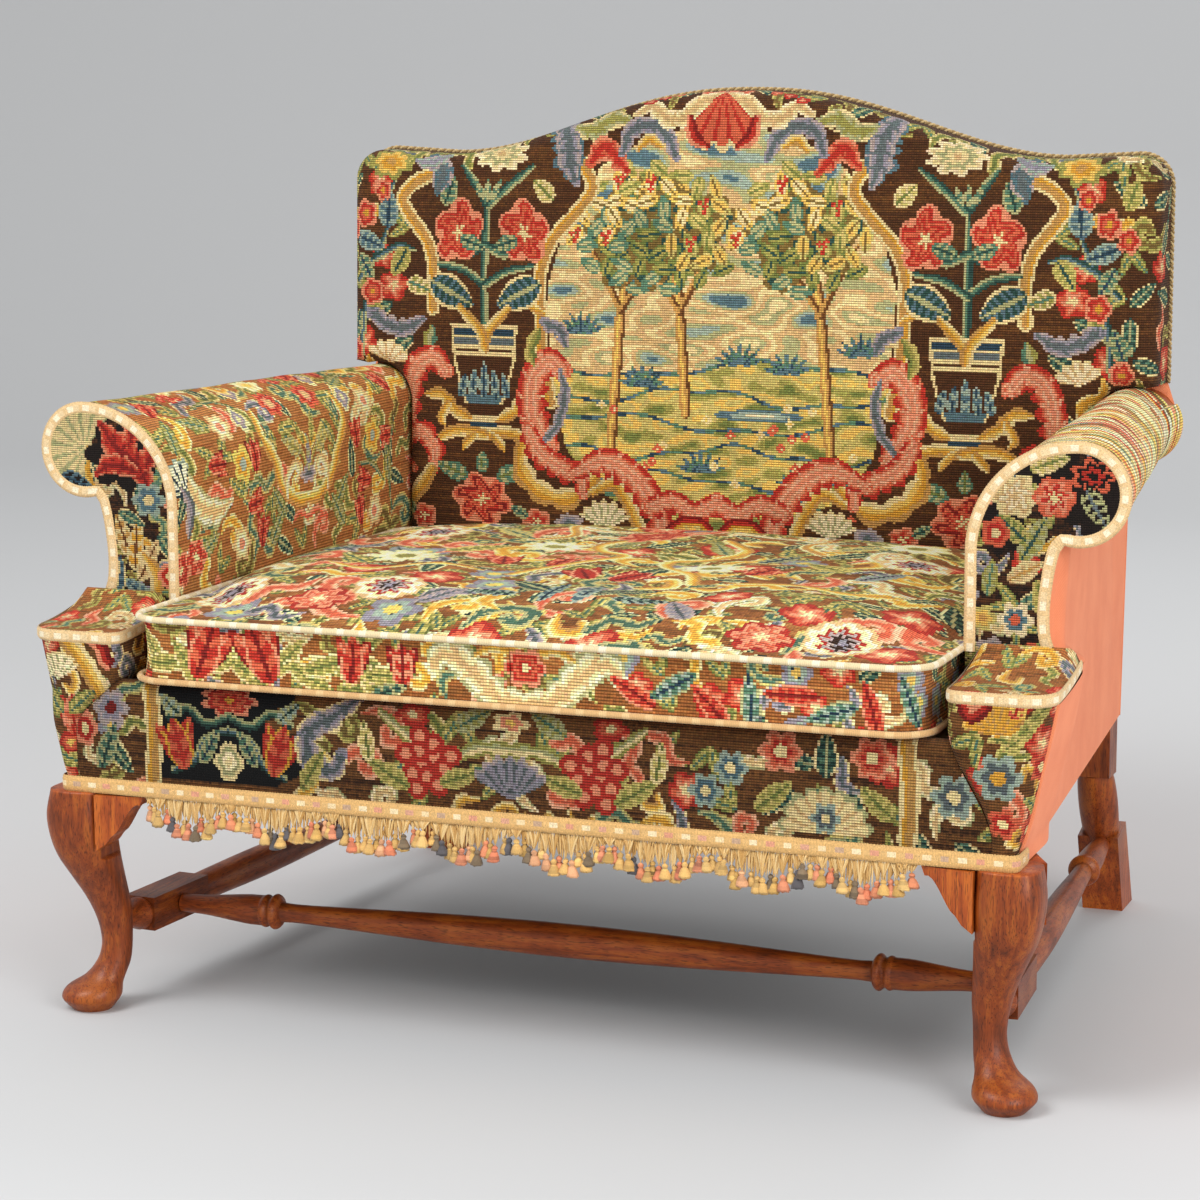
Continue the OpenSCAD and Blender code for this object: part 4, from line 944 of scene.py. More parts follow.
class BackPattern:
    """Vases of roses either side of a landscape in a frame of scrolls, on brown."""

    axis = -20.0

    def paint(self, canvas: Canvas) -> None:
        """Works the whole back."""
        half = canvas.folded(self.axis)
        Meadow.fill(half, (448, 640, 640, 1010), 46, 12, (4, 5, 8, 5, 2, 9))
        for k in range(17):
            x = 10 + 35 * k
            z = float(SHAPE.crest_z(np.array(x + 20.0))) + 2 + 10 * (k % 2)
            Meadow.motif(half, (x, z), 44, (8, 5, 9, 4)[k % 4], 180 - 8 * k + 131 * (k % 3))
        self.landscape(canvas)
        self.border(half)
        self.straps(half)
        self.bouquet(half)
        self.vase(half)
        self.scrolls(half)
        self.crest(half)
        canvas.deepen(1.1, 0.83)  # painted shade: the level darkens the whole back

    def landscape(self, canvas: Canvas) -> None:
        """Works hills, a pond, trees and shrubs under a pale sky."""
        x, z = canvas.u - self.axis, canvas.v
        heights = (480, 500, 535, 590, 690, 800, 860, 905, 945, 985, 1004)
        halves = (40, 84, 165, 205, 226, 232, 215, 176, 165, 96, 0)
        inside = np.flatnonzero(np.abs(x) < np.interp(z, heights, halves))
        places = joined(x[inside] / 3, z[inside])
        tone = 0.5 + 0.28 * ripples(places, 34, 11) - (z[inside] - 780) / 900
        canvas.lay(inside, tone, (BLUE, SKY, SAGE, FAWN, CREAM, FAWN, SAGE, CREAM))
        ridges = ((700, 12, 0.016, 0.4), (664, 10, 0.021, 2.2), (628, 9, 0.017, 4.0), (592, 9, 0.024, 1.1),
                  (556, 8, 0.02, 3.2), (524, 6, 0.027, 5.0))
        for base, rise, rate, start in ridges:
            edge = base + rise * np.sin(x[inside] * rate + start) + 4 * np.sin(x[inside] * rate * 2.7)
            below = edge - z[inside]
            hill = inside[below > 0]
            sway = 0.5 + 0.3 * ripples(joined(x[hill] / 2.4, z[hill]), 22, base)
            canvas.lay(hill, sway, (GREEN, LEAF, LIME, YELLOW, LIME))
            rim = inside[(below > 0) & (below < 4.5)]
            canvas.lay(rim, np.mod(x[rim] / 46, 1), (NAVY, BLUE, TEAL))
        canvas.bloom((36, 640), (120, 15), (IVORY, SKY, BLUE), 1, 0.0)
        for tree, lean in (((-165, 560), 18), ((-62, 640), -12), ((132, 575), -22)):
            self.tree(canvas, tree, lean)
        for spot in ((-205, 735), (-120, 668), (10, 700), (72, 690), (168, 715), (-40, 560), (92, 545)):
            for turn in range(20, 170, 24):
                reach = 15 * math.sin(math.radians(turn)) + 4
                tip = (spot[0] + 20 * math.cos(math.radians(turn)), spot[1] + reach)
                canvas.leaf(tip, (30, 7), turn, (NAVY, TEAL, BLUE), 2)
        for k in range(30):
            spot = (canvas.random.uniform(-195, 165), canvas.random.uniform(510, 655))
            heart, petals = ((YELLOW, CREAM), (CREAM, CORAL))[k % 2]
            canvas.flower(spot, 13, (petals,), heart, 4)
        canvas.rgb[inside] *= 1.14  # the picture was worked in finer, cleaner wool

    def tree(self, canvas: Canvas, foot: Pair, lean: float) -> None:
        """Works a tree with a tan trunk and sprays of pointed leaves."""
        x, z = foot
        crown = (x + lean * 2, 878.0)
        canvas.stroke([(x, z), (x + lean * 0.4, (z + 780) / 2), (x + lean, 800), crown],
                      14, (UMBER, TAN, YELLOW, TAN), (1.7, 0.5))
        for way in (-1, 1):
            canvas.stroke([(x + lean * 0.8, 770), (x + lean + way * 26, 815), (x + lean + way * 52, 860)],
                          9, (UMBER, TAN), (1.0, 0.4))
        for k in range(9):
            a = k * 2.4
            r = 23 * math.sqrt(k)
            canvas.bloom((crown[0] + r * math.cos(a), crown[1] - 8 + r * math.sin(a) * 0.8), (62, 56),
                         (OLIVE, GREEN, DEEP_TEAL, OLIVE), 7, 0.3, 40 * k)
        for k in range(40, 0, -1):
            a = k * 2.4
            r = 14.2 * math.sqrt(k)
            spot = (crown[0] + r * math.cos(a), crown[1] - 8 + r * math.sin(a) * 0.84)
            turn = math.degrees(a) * 0.5 + (45, 90, 135)[k % 3]
            canvas.leaf(spot, (33, 17), turn, LEAVES[(k * 3 + k // 7) % 5], 1)
            if k % 11 == 5:
                canvas.berries(spot, 9, (CORAL, RED), 4)

    def straps(self, half: Canvas) -> None:
        """Works the tan straps that bound the bouquets."""
        half.stroke([(400, 934), (422, 924), (438, 905), (426, 884), (400, 850), (392, 805), (394, 766)],
                    19, STRAPS)
        half.stroke([(187, 950), (173, 921), (192, 893), (228, 856), (243, 812), (241, 765), (238, 705),
                     (226, 648)], 19, STRAPS)
        half.stroke([(246, 800), (254, 775), (236, 764)], 12, GOLDS, (0.5, 0.5))

    def bouquet(self, half: Canvas) -> None:
        """Works the stem with its roses, carnation and leaves above the vase."""
        for points in (((320, 740), (321, 820), (318, 905)), ((318, 898), (333, 920), (354, 946)),
                       ((316, 898), (290, 920), (256, 946)), ((320, 798), (350, 818), (386, 824)),
                       ((320, 798), (290, 816), (254, 824)), ((320, 850), (345, 838), (362, 842)),
                       ((320, 850), (295, 838), (280, 842))):
            half.stroke(points, 11, STEM, (1.0, 0.6))
        for way in (0, 26, -26):
            half.leaf((318 + way * 0.45, 917), (26, 9), 90 - way, (SAGE, TEAL, SAGE), 2)
        half.bloom((302, 962), (82, 48), (FAWN, CREAM, SAGE, CREAM, IVORY), 9, 0.3, 0, 0.5)
        for spot, turn in (((358, 866), 20), ((266, 866), 160)):
            half.bloom(spot, (70, 84), (CREAM, CORAL, RED, CORAL, RED, SALMON), 5, 0.22, turn, 0.9)
            half.leaf((spot[0] + (318 - spot[0]) * 0.5, 852), (38, 20), turn + 180,
                      (DEEP_TEAL, SAGE, TEAL), 4)
        for spot, turn in (((366, 787), 208), ((272, 787), -28)):
            half.leaf(spot, (68, 44), turn, (SAGE, DEEP_TEAL, BLUE, CREAM), 7)
        for spot, turn, wools in (((372, 915), 110, STEM), ((240, 917), 40, YOUNG),
                                  ((413, 795), 200, (TEAL, LEAF, CREAM))):
            half.leaf(spot, (38, 24), turn, wools, 4)

    def vase(self, half: Canvas) -> None:
        """Works the vase on its foot, with golden scrolls."""
        x, z = half.u - 321, half.v
        wide = np.interp(z, (643, 655, 700, 748), (27, 32, 44, 48))
        inside = np.flatnonzero((z > 643) & (z < 748) & (np.abs(x) < wide))
        edge = np.abs(x[inside]) > wide[inside] - 4
        rows = z[inside]
        bands = ((740, 748, CREAM), (733, 740, NAVY), (728, 733, CREAM), (720, 728, SLATE), (714, 720, CREAM),
                 (710, 714, BROWN), (704, 710, CREAM), (655, 704, BROWN), (643, 655, BLUE))
        for low, high, wool in bands:
            half.lay(inside[(rows >= low) & (rows < high)], np.zeros(1), (wool,))
        half.lay(inside[edge], np.zeros(1), (CREAM,))
        for k, tall in ((-2, 34), (-1, 40), (0, 50), (1, 40), (2, 34)):
            half.leaf((321 + k * 15, 652 + tall * 0.42), (tall, 13), 90 + k * 7, BLUES, 3)
        for low, high, wool in ((606, 612, CREAM), (612, 618, NAVY), (618, 626, CREAM), (626, 643, BROWN)):
            knob = np.flatnonzero((z >= low) & (z < high) & (np.abs(x) < 20))
            half.lay(knob, np.zeros(1), (wool,))
        for way in (-1, 1):
            half.stroke([(321, 716), (321 + way * 6, 738), (321 + way * 34, 768)], 15, GOLDS, (1, 0.7))
            half.stroke([(321 + way * 20, 622), (321 + way * 44, 634), (321 + way * 60, 652),
                         (321 + way * 82, 652)], 22, GOLDS, (0.6, 0.6), 3)
            half.stroke([(321 + way * 52, 640), (321 + way * 62, 622), (321 + way * 56, 612)],
                        13, GOLDS, (0.8, 0.4))
            half.stroke([(321, 601), (321 + way * 30, 606), (321 + way * 55, 600), (321 + way * 70, 586)],
                        17, GOLDS, (1.0, 0.4))
            half.stroke([(321 + way * 14, 600), (321 + way * 26, 588), (321 + way * 30, 580)],
                        12, GOLDS, (0.9, 0.3))

    def border(self, half: Canvas) -> None:
        """Works the flowers and leaves along the sides."""
        half.bloom((456, 950), (64, 46), (TAN, GOLD, YELLOW, LEAF), 7, 0.3)
        for points in (((505, 800), (478, 832), (458, 872)), ((478, 830), (446, 846), (420, 842)),
                       ((500, 700), (494, 760), (480, 800)), ((460, 880), (462, 905), (450, 925))):
            half.stroke(points, 10, (DEEP_TEAL, BLUE, SAGE), (1.0, 0.5))
        leaves = (
            ((458, 892), (46, 30), 95, BLUES), ((486, 852), (46, 24), 200, BLUES),
            ((492, 818), (40, 22), 240, POND), ((442, 826), (44, 26), -60, (DEEP_TEAL, LEAF, LIME)),
            ((508, 742), (44, 22), 110, POND), ((480, 768), (36, 18), 60, SPRING),
            ((520, 920), (38, 24), 70, SPRING),
        )
        for spot, size, turn, wools in leaves:
            half.leaf(spot, size, turn, wools, 5)
        for spot, size in (((466, 914), 26), ((492, 886), 34), ((516, 868), 30), ((482, 786), 36),
                           ((512, 705), 34)):
            half.bloom(spot, (size, size * 1.1), (GOLD, CORAL, RED, SALMON), 5, 0.25)
        half.stroke([(408, 752), (436, 738), (464, 744), (482, 758)], 27, HAZE, (0.4, 0.9), 4, True)
        half.stroke([(396, 740), (400, 716), (388, 700)], 22, FERN, (0.6, 0.5), 2)
        half.shell((462, 690), 34, 100, (FAWN, IVORY, CREAM), 5, 70)

    def scrolls(self, half: Canvas) -> None:
        """Works the red and gold scrolls below the vases and under the landscape."""
        leafy = (SALMON, PINK, SALMON, CORAL, RED, RED)
        half.stroke([(430, 596), (432, 645), (418, 690), (392, 702), (378, 684)],
                    40, leafy, (0.6, 0.8), 6, True)
        half.stroke([(222, 590), (252, 630), (252, 676), (230, 702), (212, 690)],
                    46, leafy, (0.6, 0.8), 6, True)
        half.stroke([(214, 690), (206, 660), (216, 620), (232, 600)], 17, HAZE, (0.4, 0.7), 4, True)
        half.stroke([(236, 752), (214, 742), (206, 722)], 22, HAZE, (0.8, 0.4), 3, True)
        half.stroke([(244, 740), (256, 716), (250, 694)], 18, SPRING, (0.8, 0.4), 2)
        half.stroke([(402, 540), (392, 574), (410, 600), (440, 592), (448, 564), (426, 552)],
                    32, leafy, (0.5, 0.6), 6, True)
        half.stroke([(446, 470), (436, 506), (412, 530), (398, 552)], 23, GOLDS, (0.7, 0.8))
        half.bloom((323, 516), (88, 72), (CREAM, CORAL, RED, CORAL, WINE, CORAL, SALMON), 6, 0.2, 10, 1.0)
        for spot, size, turn in (((366, 553), (48, 24), 20), ((280, 553), (48, 24), 160),
                                 ((323, 566), (30, 18), 90)):
            half.leaf(spot, size, turn, (GREEN, SAGE, TEAL), 4)
        for spot in ((408, 490), (246, 490)):
            half.bloom(spot, (40, 36), (CREAM, RED, CORAL, SALMON), 5, 0.2, 0, 0.8)
            half.leaf((spot[0] + 24, spot[1] + 12), (28, 14), 30, STEM, 3)
        half.stroke([(262, 602), (268, 564), (246, 533), (208, 521), (182, 534), (164, 552)],
                    33, GOLDS, (0.6, 0.7), 5)
        half.stroke([(258, 612), (240, 580), (208, 562), (184, 552), (182, 528)],
                    36, leafy, (0.8, 0.5), 7, True)
        half.stroke([(168, 532), (140, 545), (120, 522), (104, 488)], 20, GOLDS, (0.6, 0.9))
        half.stroke([(196, 556), (152, 574), (112, 556), (84, 520), (70, 484)],
                    44, leafy, (0.5, 0.9), 8, True)
        half.shell((152, 484), 40, 90, (SAGE, IVORY, CREAM), 6, 65)
        half.bloom((200, 490), (42, 26), HAZE, 5, 0.2)
        half.stroke([(90, 516), (58, 526), (30, 512), (0, 526)], 32, leafy, (1, 1), 6, True)
        half.stroke([(62, 488), (46, 500), (22, 500), (8, 488)], 12, (WINE, RED, GOLD))

    def crest(self, half: Canvas) -> None:
        """Works the acanthus, shells and red hanging along the hump."""
        half.stroke([(226, 1012), (208, 982), (204, 952), (196, 926)],
                    46, HAZE + (BLUE,), (0.8, 0.3), 5, True)
        half.stroke([(196, 996), (172, 992), (150, 1008), (128, 1004)],
                    34, (LEAF, SAGE, CREAM), (0.5, 0.5), 4, True)
        half.stroke([(398, 956), (382, 938), (390, 914)], 34, (SLATE, BLUE, MAUVE), (0.7, 0.4), 4, True)
        half.stroke([(420, 952), (398, 950), (378, 962)], 22, (LAVENDER, SKY, MAUVE), (0.4, 0.6), 3, True)
        half.stroke([(176, 950), (160, 972), (140, 956), (126, 940)],
                    30, (RED, CORAL, SALMON), (0.6, 0.4), 3, True)
        half.stroke([(134, 962), (122, 992), (94, 998), (72, 984), (60, 958)], 28, HAZE, (0.5, 0.5), 5, True)
        half.stroke([(112, 968), (98, 982), (80, 972)], 14, GOLDS, (0.5, 0.5))
        half.stroke([(116, 1012), (96, 1024), (76, 1008), (52, 1008), (30, 1030), (8, 1034)],
                    26, PALE, (0.5, 1.0), 6, True)
        half.shell((0, 1046), 82, -90, (RED, CORAL, CREAM), 5, 44)
        half.stroke([(44, 1008), (38, 984), (20, 972)], 17, SCARLET, (0.6, 0.5))
        for k, spot in enumerate(((84, 1040), (66, 1046), (102, 1032))):
            half.bloom(spot, (20, 12), (SALMON, (RED, CORAL)[k % 2]), 3, 0.2)


class ArmPattern(SidePattern):
    """A gold yoke of flowers on rust inside the arm, running on over its roll."""

    roll_from = 322.0

    def paint(self, canvas: Canvas) -> None:
        """Works the arm from its base to the neck under the roll."""
        Meadow.fill(canvas, (110, 80, 840, 640), 50, 22 + self.side, (4, 5, 8, 9, 8, 9, 4))
        self.flowers(canvas)
        self.yoke(canvas)
        if self.side > 0:
            self.flames(canvas)
        else:
            self.garden(canvas)
        canvas.deepen(1.35, 1.1)  # painted light: the level brightens the arms, the left one's inside facing away from the key lamp

    def yoke(self, canvas: Canvas) -> None:
        """Works the gold yoke and the plant that rises from it."""
        half = canvas.folded(458.0)
        half.stroke([(98, 300), (106, 262), (82, 226), (66, 196), (30, 176), (0, 174)],
                    22, GOLDS, (0.6, 1.0), 5)
        half.stroke([(56, 182), (54, 206), (34, 220), (24, 208), (34, 198)], 12, PALE, (0.6, 0.5))
        half.stroke([(0, 200), (16, 232), (44, 260)], 6, (LEAF, LIME))
        half.leaf((42, 244), (50, 20), 28, (LEAF, LIME, SAGE), 4)
        half.leaf((20, 262), (44, 14), 62, SPRING, 3)
        half.flower((46, 306), 46, (CREAM, SALMON, RED, CORAL), FAWN, 7)
        half.leaf((88, 280), (34, 14), 100, (TEAL, SAGE, TEAL), 3)
        half.stroke([(0, 150), (24, 158), (44, 146)], 8, (CORAL, SALMON), (1.0, 0.3))
        half.leaf((84, 148), (60, 24), 130, (TEAL, SAGE, LEAF, GREEN), 6)
        half.bloom((4, 204), (34, 22), HAZE, 5, 0.3)
        half.leaf((0, 232), (52, 12), 90, (MAUVE, SAGE, LAVENDER), 3)

    def flowers(self, canvas: Canvas) -> None:
        """Works the daisies, tulips, buds and leaves on the rust ground."""
        for spot in ((272, 288), (280, 140), (630, 280), (650, 132)):
            canvas.flower(spot, 46, (RED, IVORY, CREAM, FAWN), SALMON, 6)
        for spot in ((290, 236), (645, 232)):
            canvas.flower(spot, 50, (TAN, GOLD, YELLOW), SKY, 5)
        for spot, turn in (((228, 242), 0), ((322, 240), 90), ((597, 238), 100), ((692, 226), 180),
                           ((315, 184), 10), ((334, 146), 80), ((622, 176), 170), ((605, 136), 100),
                           ((172, 336), 60), ((700, 300), 120)):
            canvas.tulip(spot, 44, turn, TULIP)
        for spot in ((322, 292), (580, 290), (360, 338), (545, 336)):
            canvas.bloom(spot, (34, 40), (CREAM, MAUVE, LAVENDER, CREAM), 4, 0.3)
        for points in (((176, 168), (230, 180), (262, 196)), ((600, 200), (640, 196), (676, 170)),
                       ((280, 200), (320, 212), (350, 196)), ((246, 322), (300, 330), (340, 308)),
                       ((570, 316), (610, 332), (660, 318)), ((700, 120), (694, 180), (710, 250))):
            canvas.stroke(points, 9, (TEAL, SAGE, GREEN), (0.4, 0.4), 4)
        for spot, turn in (((200, 150), 25), ((380, 178), 130), ((552, 172), 50), ((690, 190), 100),
                           ((220, 300), 160), ((600, 320), 20), ((160, 290), 70)):
            canvas.leaf(spot, (54, 22), turn, (TEAL, LEAF, SAGE, GREEN), 5)
        canvas.stroke([(256, 196), (220, 188), (180, 200), (150, 236)],
                      40, PALE + (SAGE,), (0.3, 0.8), 5, True)
        canvas.shell((146, 216), 46, 120, (NAVY, IVORY, SKY), 5, 60)
        canvas.stroke([(150, 170), (156, 200), (140, 226)], 22, HAZE, (0.7, 0.4), 3)
        for spot in ((128, 130), (166, 140)):
            canvas.bloom(spot, (52, 46), ROSE, 6, 0.2, 0, 0.8)

    def garden(self, canvas: Canvas) -> None:
        """Works the left roll with rows of flowers like those inside."""
        draw = np.random.default_rng(21)
        for row, v in enumerate(range(352, 610, 46)):
            for k in range(13):
                spot = (140 + 56 * k + 28 * (row % 2) + draw.uniform(-7, 7), v + draw.uniform(-6, 6))
                Meadow.motif(canvas, spot, 44, int(draw.integers(0, 8)), draw.uniform(0, 360))
        canvas.rgb[canvas.v > self.roll_from] *= (0.96, 0.86, 0.75)  # painted shade: the left roll is darkened and warmed

    def flames(self, canvas: Canvas) -> None:
        """Works the right roll in slanting streaks of pink, cream, green and gold."""
        where = np.flatnonzero(canvas.v > self.roll_from)
        u, v = canvas.u[where], canvas.v[where]
        drift = u + 17 * np.sin(v / 30 + 0.6) + 7 * np.sin(v / 12 + u / 90) + 0.16 * v
        band = np.floor(drift / 6.4).astype(int)
        part = np.floor(v / 64 + 0.37 * np.mod(band * 7, 5)).astype(int)
        wools = (SALMON, CREAM, YELLOW, IVORY, LEAF, CREAM, CORAL, GOLD, TAN, CREAM, RUST, SAGE, YELLOW, PINK,
                 GREEN, CREAM, RED, SKY, OLIVE, IVORY, CORAL)
        pick = np.random.default_rng(29).permutation(4001)
        chosen = pick[np.mod(band * 61 + part * 17, 4001)] % len(wools)
        canvas.lay(where, (chosen + 0.5) / len(wools), wools)


class Meadow:
    """Motifs that fill the ground between the large ones."""

    @staticmethod
    def motif(canvas: Canvas, spot: Pair, size: float, kind: int, turn: float) -> None:
        """Works one small motif.

        Args:
            canvas: Panel to work on.
            spot: Middle of the motif.
            size: Its size in millimetres.
            kind: Number of the kind, 0 to 9; 8 and 9 are scrolling leaves.
            turn: Turn in degrees.
        """
        a = math.radians(turn)
        cos, sin = math.cos(a), math.sin(a)
        if kind == 0:
            canvas.tulip(spot, size, turn, TULIP)
        elif kind == 1:
            canvas.flower(spot, size, (RED, CREAM, IVORY), YELLOW, 6)
        elif kind == 2:
            canvas.bloom(spot, (size, size), (CREAM, SALMON, CORAL, RED), 5, 0.2, turn, 0.8)
        elif kind == 3:
            canvas.flower(spot, size, (NAVY, SKY, LAVENDER), YELLOW, 5)
        elif kind == 4:
            for way in (-1, 1):
                middle = (spot[0] - way * size * 0.2 * sin, spot[1] + way * size * 0.2 * cos)
                canvas.leaf(middle, (size, size * 0.36), turn + way * 30, MOSS, 4)
        elif kind == 5:
            canvas.leaf(spot, (size * 1.15, size * 0.5), turn, FROND, 5)
        elif kind == 6:
            points = [(spot[0] + size * 0.5 * r * math.cos(a + b), spot[1] + size * 0.5 * r * math.sin(a + b))
                      for r, b in ((1.0, 0), (0.8, 1.3), (0.7, 2.7), (0.25, 4.0))]
            canvas.stroke(points, size * 0.3, GOLDS, (0.4, 0.7))
        elif kind == 7:
            canvas.berries(spot, size * 0.36, (SALMON, RED), 6)
        else:
            bend = ((-0.6, -0.15), (-0.25, 0.22), (0.2, 0.26), (0.46, 0.02), (0.26, -0.2), (0.04, -0.06))
            if kind == 9:
                bend = ((-0.64, -0.12), (-0.22, 0.16), (0.2, -0.12), (0.62, 0.12))
            points = [(spot[0] + size * (x * cos - y * sin), spot[1] + size * (x * sin + y * cos))
                      for x, y in bend]
            shades = (SPRING + (CREAM,), PALE + (SAGE,), (GOLD, YELLOW, CREAM), (TEAL, SAGE, LIME),
                      HAZE + (CREAM,), (CORAL, SALMON, PINK), (OLIVE, LEAF, LIME))[int(turn) % 7]
            canvas.stroke(points, size * 0.4, shades, (0.35, 0.9), 4, True)

    @staticmethod
    def fill(
        canvas: Canvas, box: tuple[float, float, float, float], pitch: float, seed: int, kinds: Sequence[int]
    ) -> None:
        """Fills a box with small motifs on a jittered lattice.

        Args:
            canvas: Panel to work on.
            box: Lowest u, lowest v, highest u and highest v.
            pitch: Distance between the motifs.
            seed: Seed of the draw.
            kinds: Kinds to draw from.
        """
        draw = np.random.default_rng(seed)
        for row, v in enumerate(np.arange(box[1], box[3], pitch * 0.86)):
            for u in np.arange(box[0] + pitch * 0.5 * (row % 2), box[2], pitch):
                spot = (u + draw.uniform(-0.16, 0.16) * pitch, v + draw.uniform(-0.16, 0.16) * pitch)
                Meadow.motif(canvas, spot, pitch * draw.uniform(0.78, 1.05),
                             kinds[int(draw.integers(len(kinds)))], draw.uniform(0, 360))


class FacingPattern(SidePattern):
    """Flowers on the scrolled front of an arm; u is the distance from the middle."""

    def paint(self, canvas: Canvas) -> None:
        """Works the facing."""
        Meadow.fill(canvas, (460, 440, 660, 720), 36, 24 + self.side, (4, 5, 8, 9, 2, 3, 8))
        if self.side < 0:
            self.left(canvas)
        else:
            self.right(canvas)
        # Painted shade: the whole facing is darkened.
        canvas.rgb *= 0.8

    def left(self, canvas: Canvas) -> None:
        """Works a shell, a red leaf and blue and tan petals."""
        canvas.shell((588, 645), 62, 20, (SAGE, CREAM, FAWN), 9, 110)
        canvas.shell((584, 640), 40, 200, (DEEP_TEAL, CREAM, FAWN), 7, 60)
        canvas.bloom((540, 640), (96, 88), (BLACK,), 7, 0.3)
        for points, wide in (([(506, 604), (524, 632), (548, 650), (566, 676)], 40),
                             ([(520, 620), (552, 628), (574, 616)], 26),
                             ([(508, 626), (500, 652), (512, 676)], 26),
                             ([(530, 650), (526, 672), (540, 690)], 24)):
            canvas.stroke(points, wide, (WINE, RED, RED, CORAL, SALMON), (0.5, 0.3), 5, True)
        canvas.leaf((600, 606), (46, 20), 200, (NAVY, BLACK, BLUE), 4)
        canvas.flower((506, 588), 44, BLUES, CREAM, 6)
        for k, wool in enumerate((TAN, GOLD, FAWN)):
            canvas.leaf((540 - 16 * k, 545 - 14 * k), (56, 22), 70 + 24 * k, (UMBER, wool, CREAM), 4)
        canvas.leaf((550, 496), (52, 24), 100, (CREAM, BLUE, NAVY, CREAM), 5)
        canvas.leaf((520, 478), (50, 24), 40, BLUES, 5)
        canvas.stroke([(500, 470), (498, 500), (514, 524)], 18, GOLDS, (0.6, 0.4))
        canvas.bloom((482, 500), (30, 30), (CREAM, RED, SALMON), 5)

    def right(self, canvas: Canvas) -> None:
        """Works roses, green leaves and a black and red flower."""
        for spot, size in (((612, 640), (84, 96)), ((560, 672), (90, 40)), ((510, 610), (50, 70))):
            canvas.bloom(spot, size, (BLACK,), 7, 0.3)
        canvas.bloom((523, 640), (54, 50), (FAWN, IVORY, FAWN, CREAM), 6, 0.22, 0, 0.9)
        canvas.bloom((566, 640), (48, 46), (CREAM, RED, SALMON, CORAL), 6, 0.2, 0, 0.9)
        canvas.bloom((606, 664), (52, 40), (BLACK, RED, BLACK, CORAL), 7, 0.35)
        leaves = (
            ((610, 630), (48, 22), 300, (SLATE, BLACK, SAGE)),
            ((545, 596), (56, 24), 60, (DEEP_TEAL, LEAF, SAGE)),
            ((520, 606), (44, 22), 140, (DEEP_TEAL, GREEN, LIME)), ((560, 676), (46, 20), 20, YOUNG),
            ((536, 560), (44, 20), 30, (TAN, FAWN, CREAM)), ((555, 530), (48, 22), 110, SPRING),
            ((498, 552), (40, 18), 80, FERN),
        )
        for spot, size, turn, wools in leaves:
            canvas.leaf(spot, size, turn, wools, 5)
        canvas.bloom((503, 600), (34, 34), (CREAM, RED, CORAL), 5, 0.2)
        canvas.flower((526, 508), 40, (NAVY, BLUE, IVORY), CORAL, 6)
        canvas.bloom((490, 508), (34, 30), (TAN, YELLOW, LIME), 5, 0.3)
        canvas.bloom((500, 474), (36, 30), HAZE, 5, 0.3)
        canvas.bloom((540, 468), (40, 34), (CREAM, RED, CORAL), 5, 0.25)


class BlockPattern(SidePattern):
    """Flowers on the blocks over the front legs; u is the distance from the middle, v the height."""

    def paint(self, canvas: Canvas) -> None:
        """Works the block, darkened as a whole by painted shade."""
        Meadow.fill(canvas, (380, 255, 740, 470), 42, 40 + self.side, (8, 2, 4, 9, 6, 8))
        if self.side < 0:
            canvas.stroke([(560, 455), (530, 425), (505, 380), (512, 340)], 24, GOLDS, (0.8, 0.5))
            canvas.stroke([(520, 452), (505, 440), (496, 420)], 18, SCARLET)
            canvas.shell((560, 396), 34, 80, (SAGE, IVORY, CREAM), 6, 70)
            canvas.tulip((543, 352), 50, 90, (SALMON, CORAL, RED))
            for spot, turn in (((572, 372), 40), ((530, 372), 140), ((556, 306), 20), ((590, 340), 100)):
                canvas.leaf(spot, (46, 22), turn, MOSS, 5)
            canvas.bloom((548, 322), (34, 26), (YELLOW, CORAL, RED), 5)
        else:
            canvas.shell((540, 408), 40, 90, (TAN, GOLD, YELLOW), 7, 80)
            canvas.tulip((562, 440), 36, 60, (YELLOW, CORAL, RED))
            canvas.stroke([(500, 448), (512, 428), (528, 440)], 16, SCARLET)
            for k in range(4):
                canvas.leaf((556 + 12 * k, 398 + 14 * k), (58, 15), 42, SPRING, 4)
            canvas.flower((541, 364), 54, DUSK, GOLD, 6)
            for spot in ((592, 374), (546, 316), (582, 306)):
                canvas.flower(spot, 36, (WINE, RED, CORAL), CREAM, 5)
            canvas.leaf((584, 334), (40, 18), 150, (TEAL, LEAF, LIME), 4)
        # Painted shade: the level darkens the block's sides, while its top keeps its wools.
        canvas.deepen(1.35, 0.68)


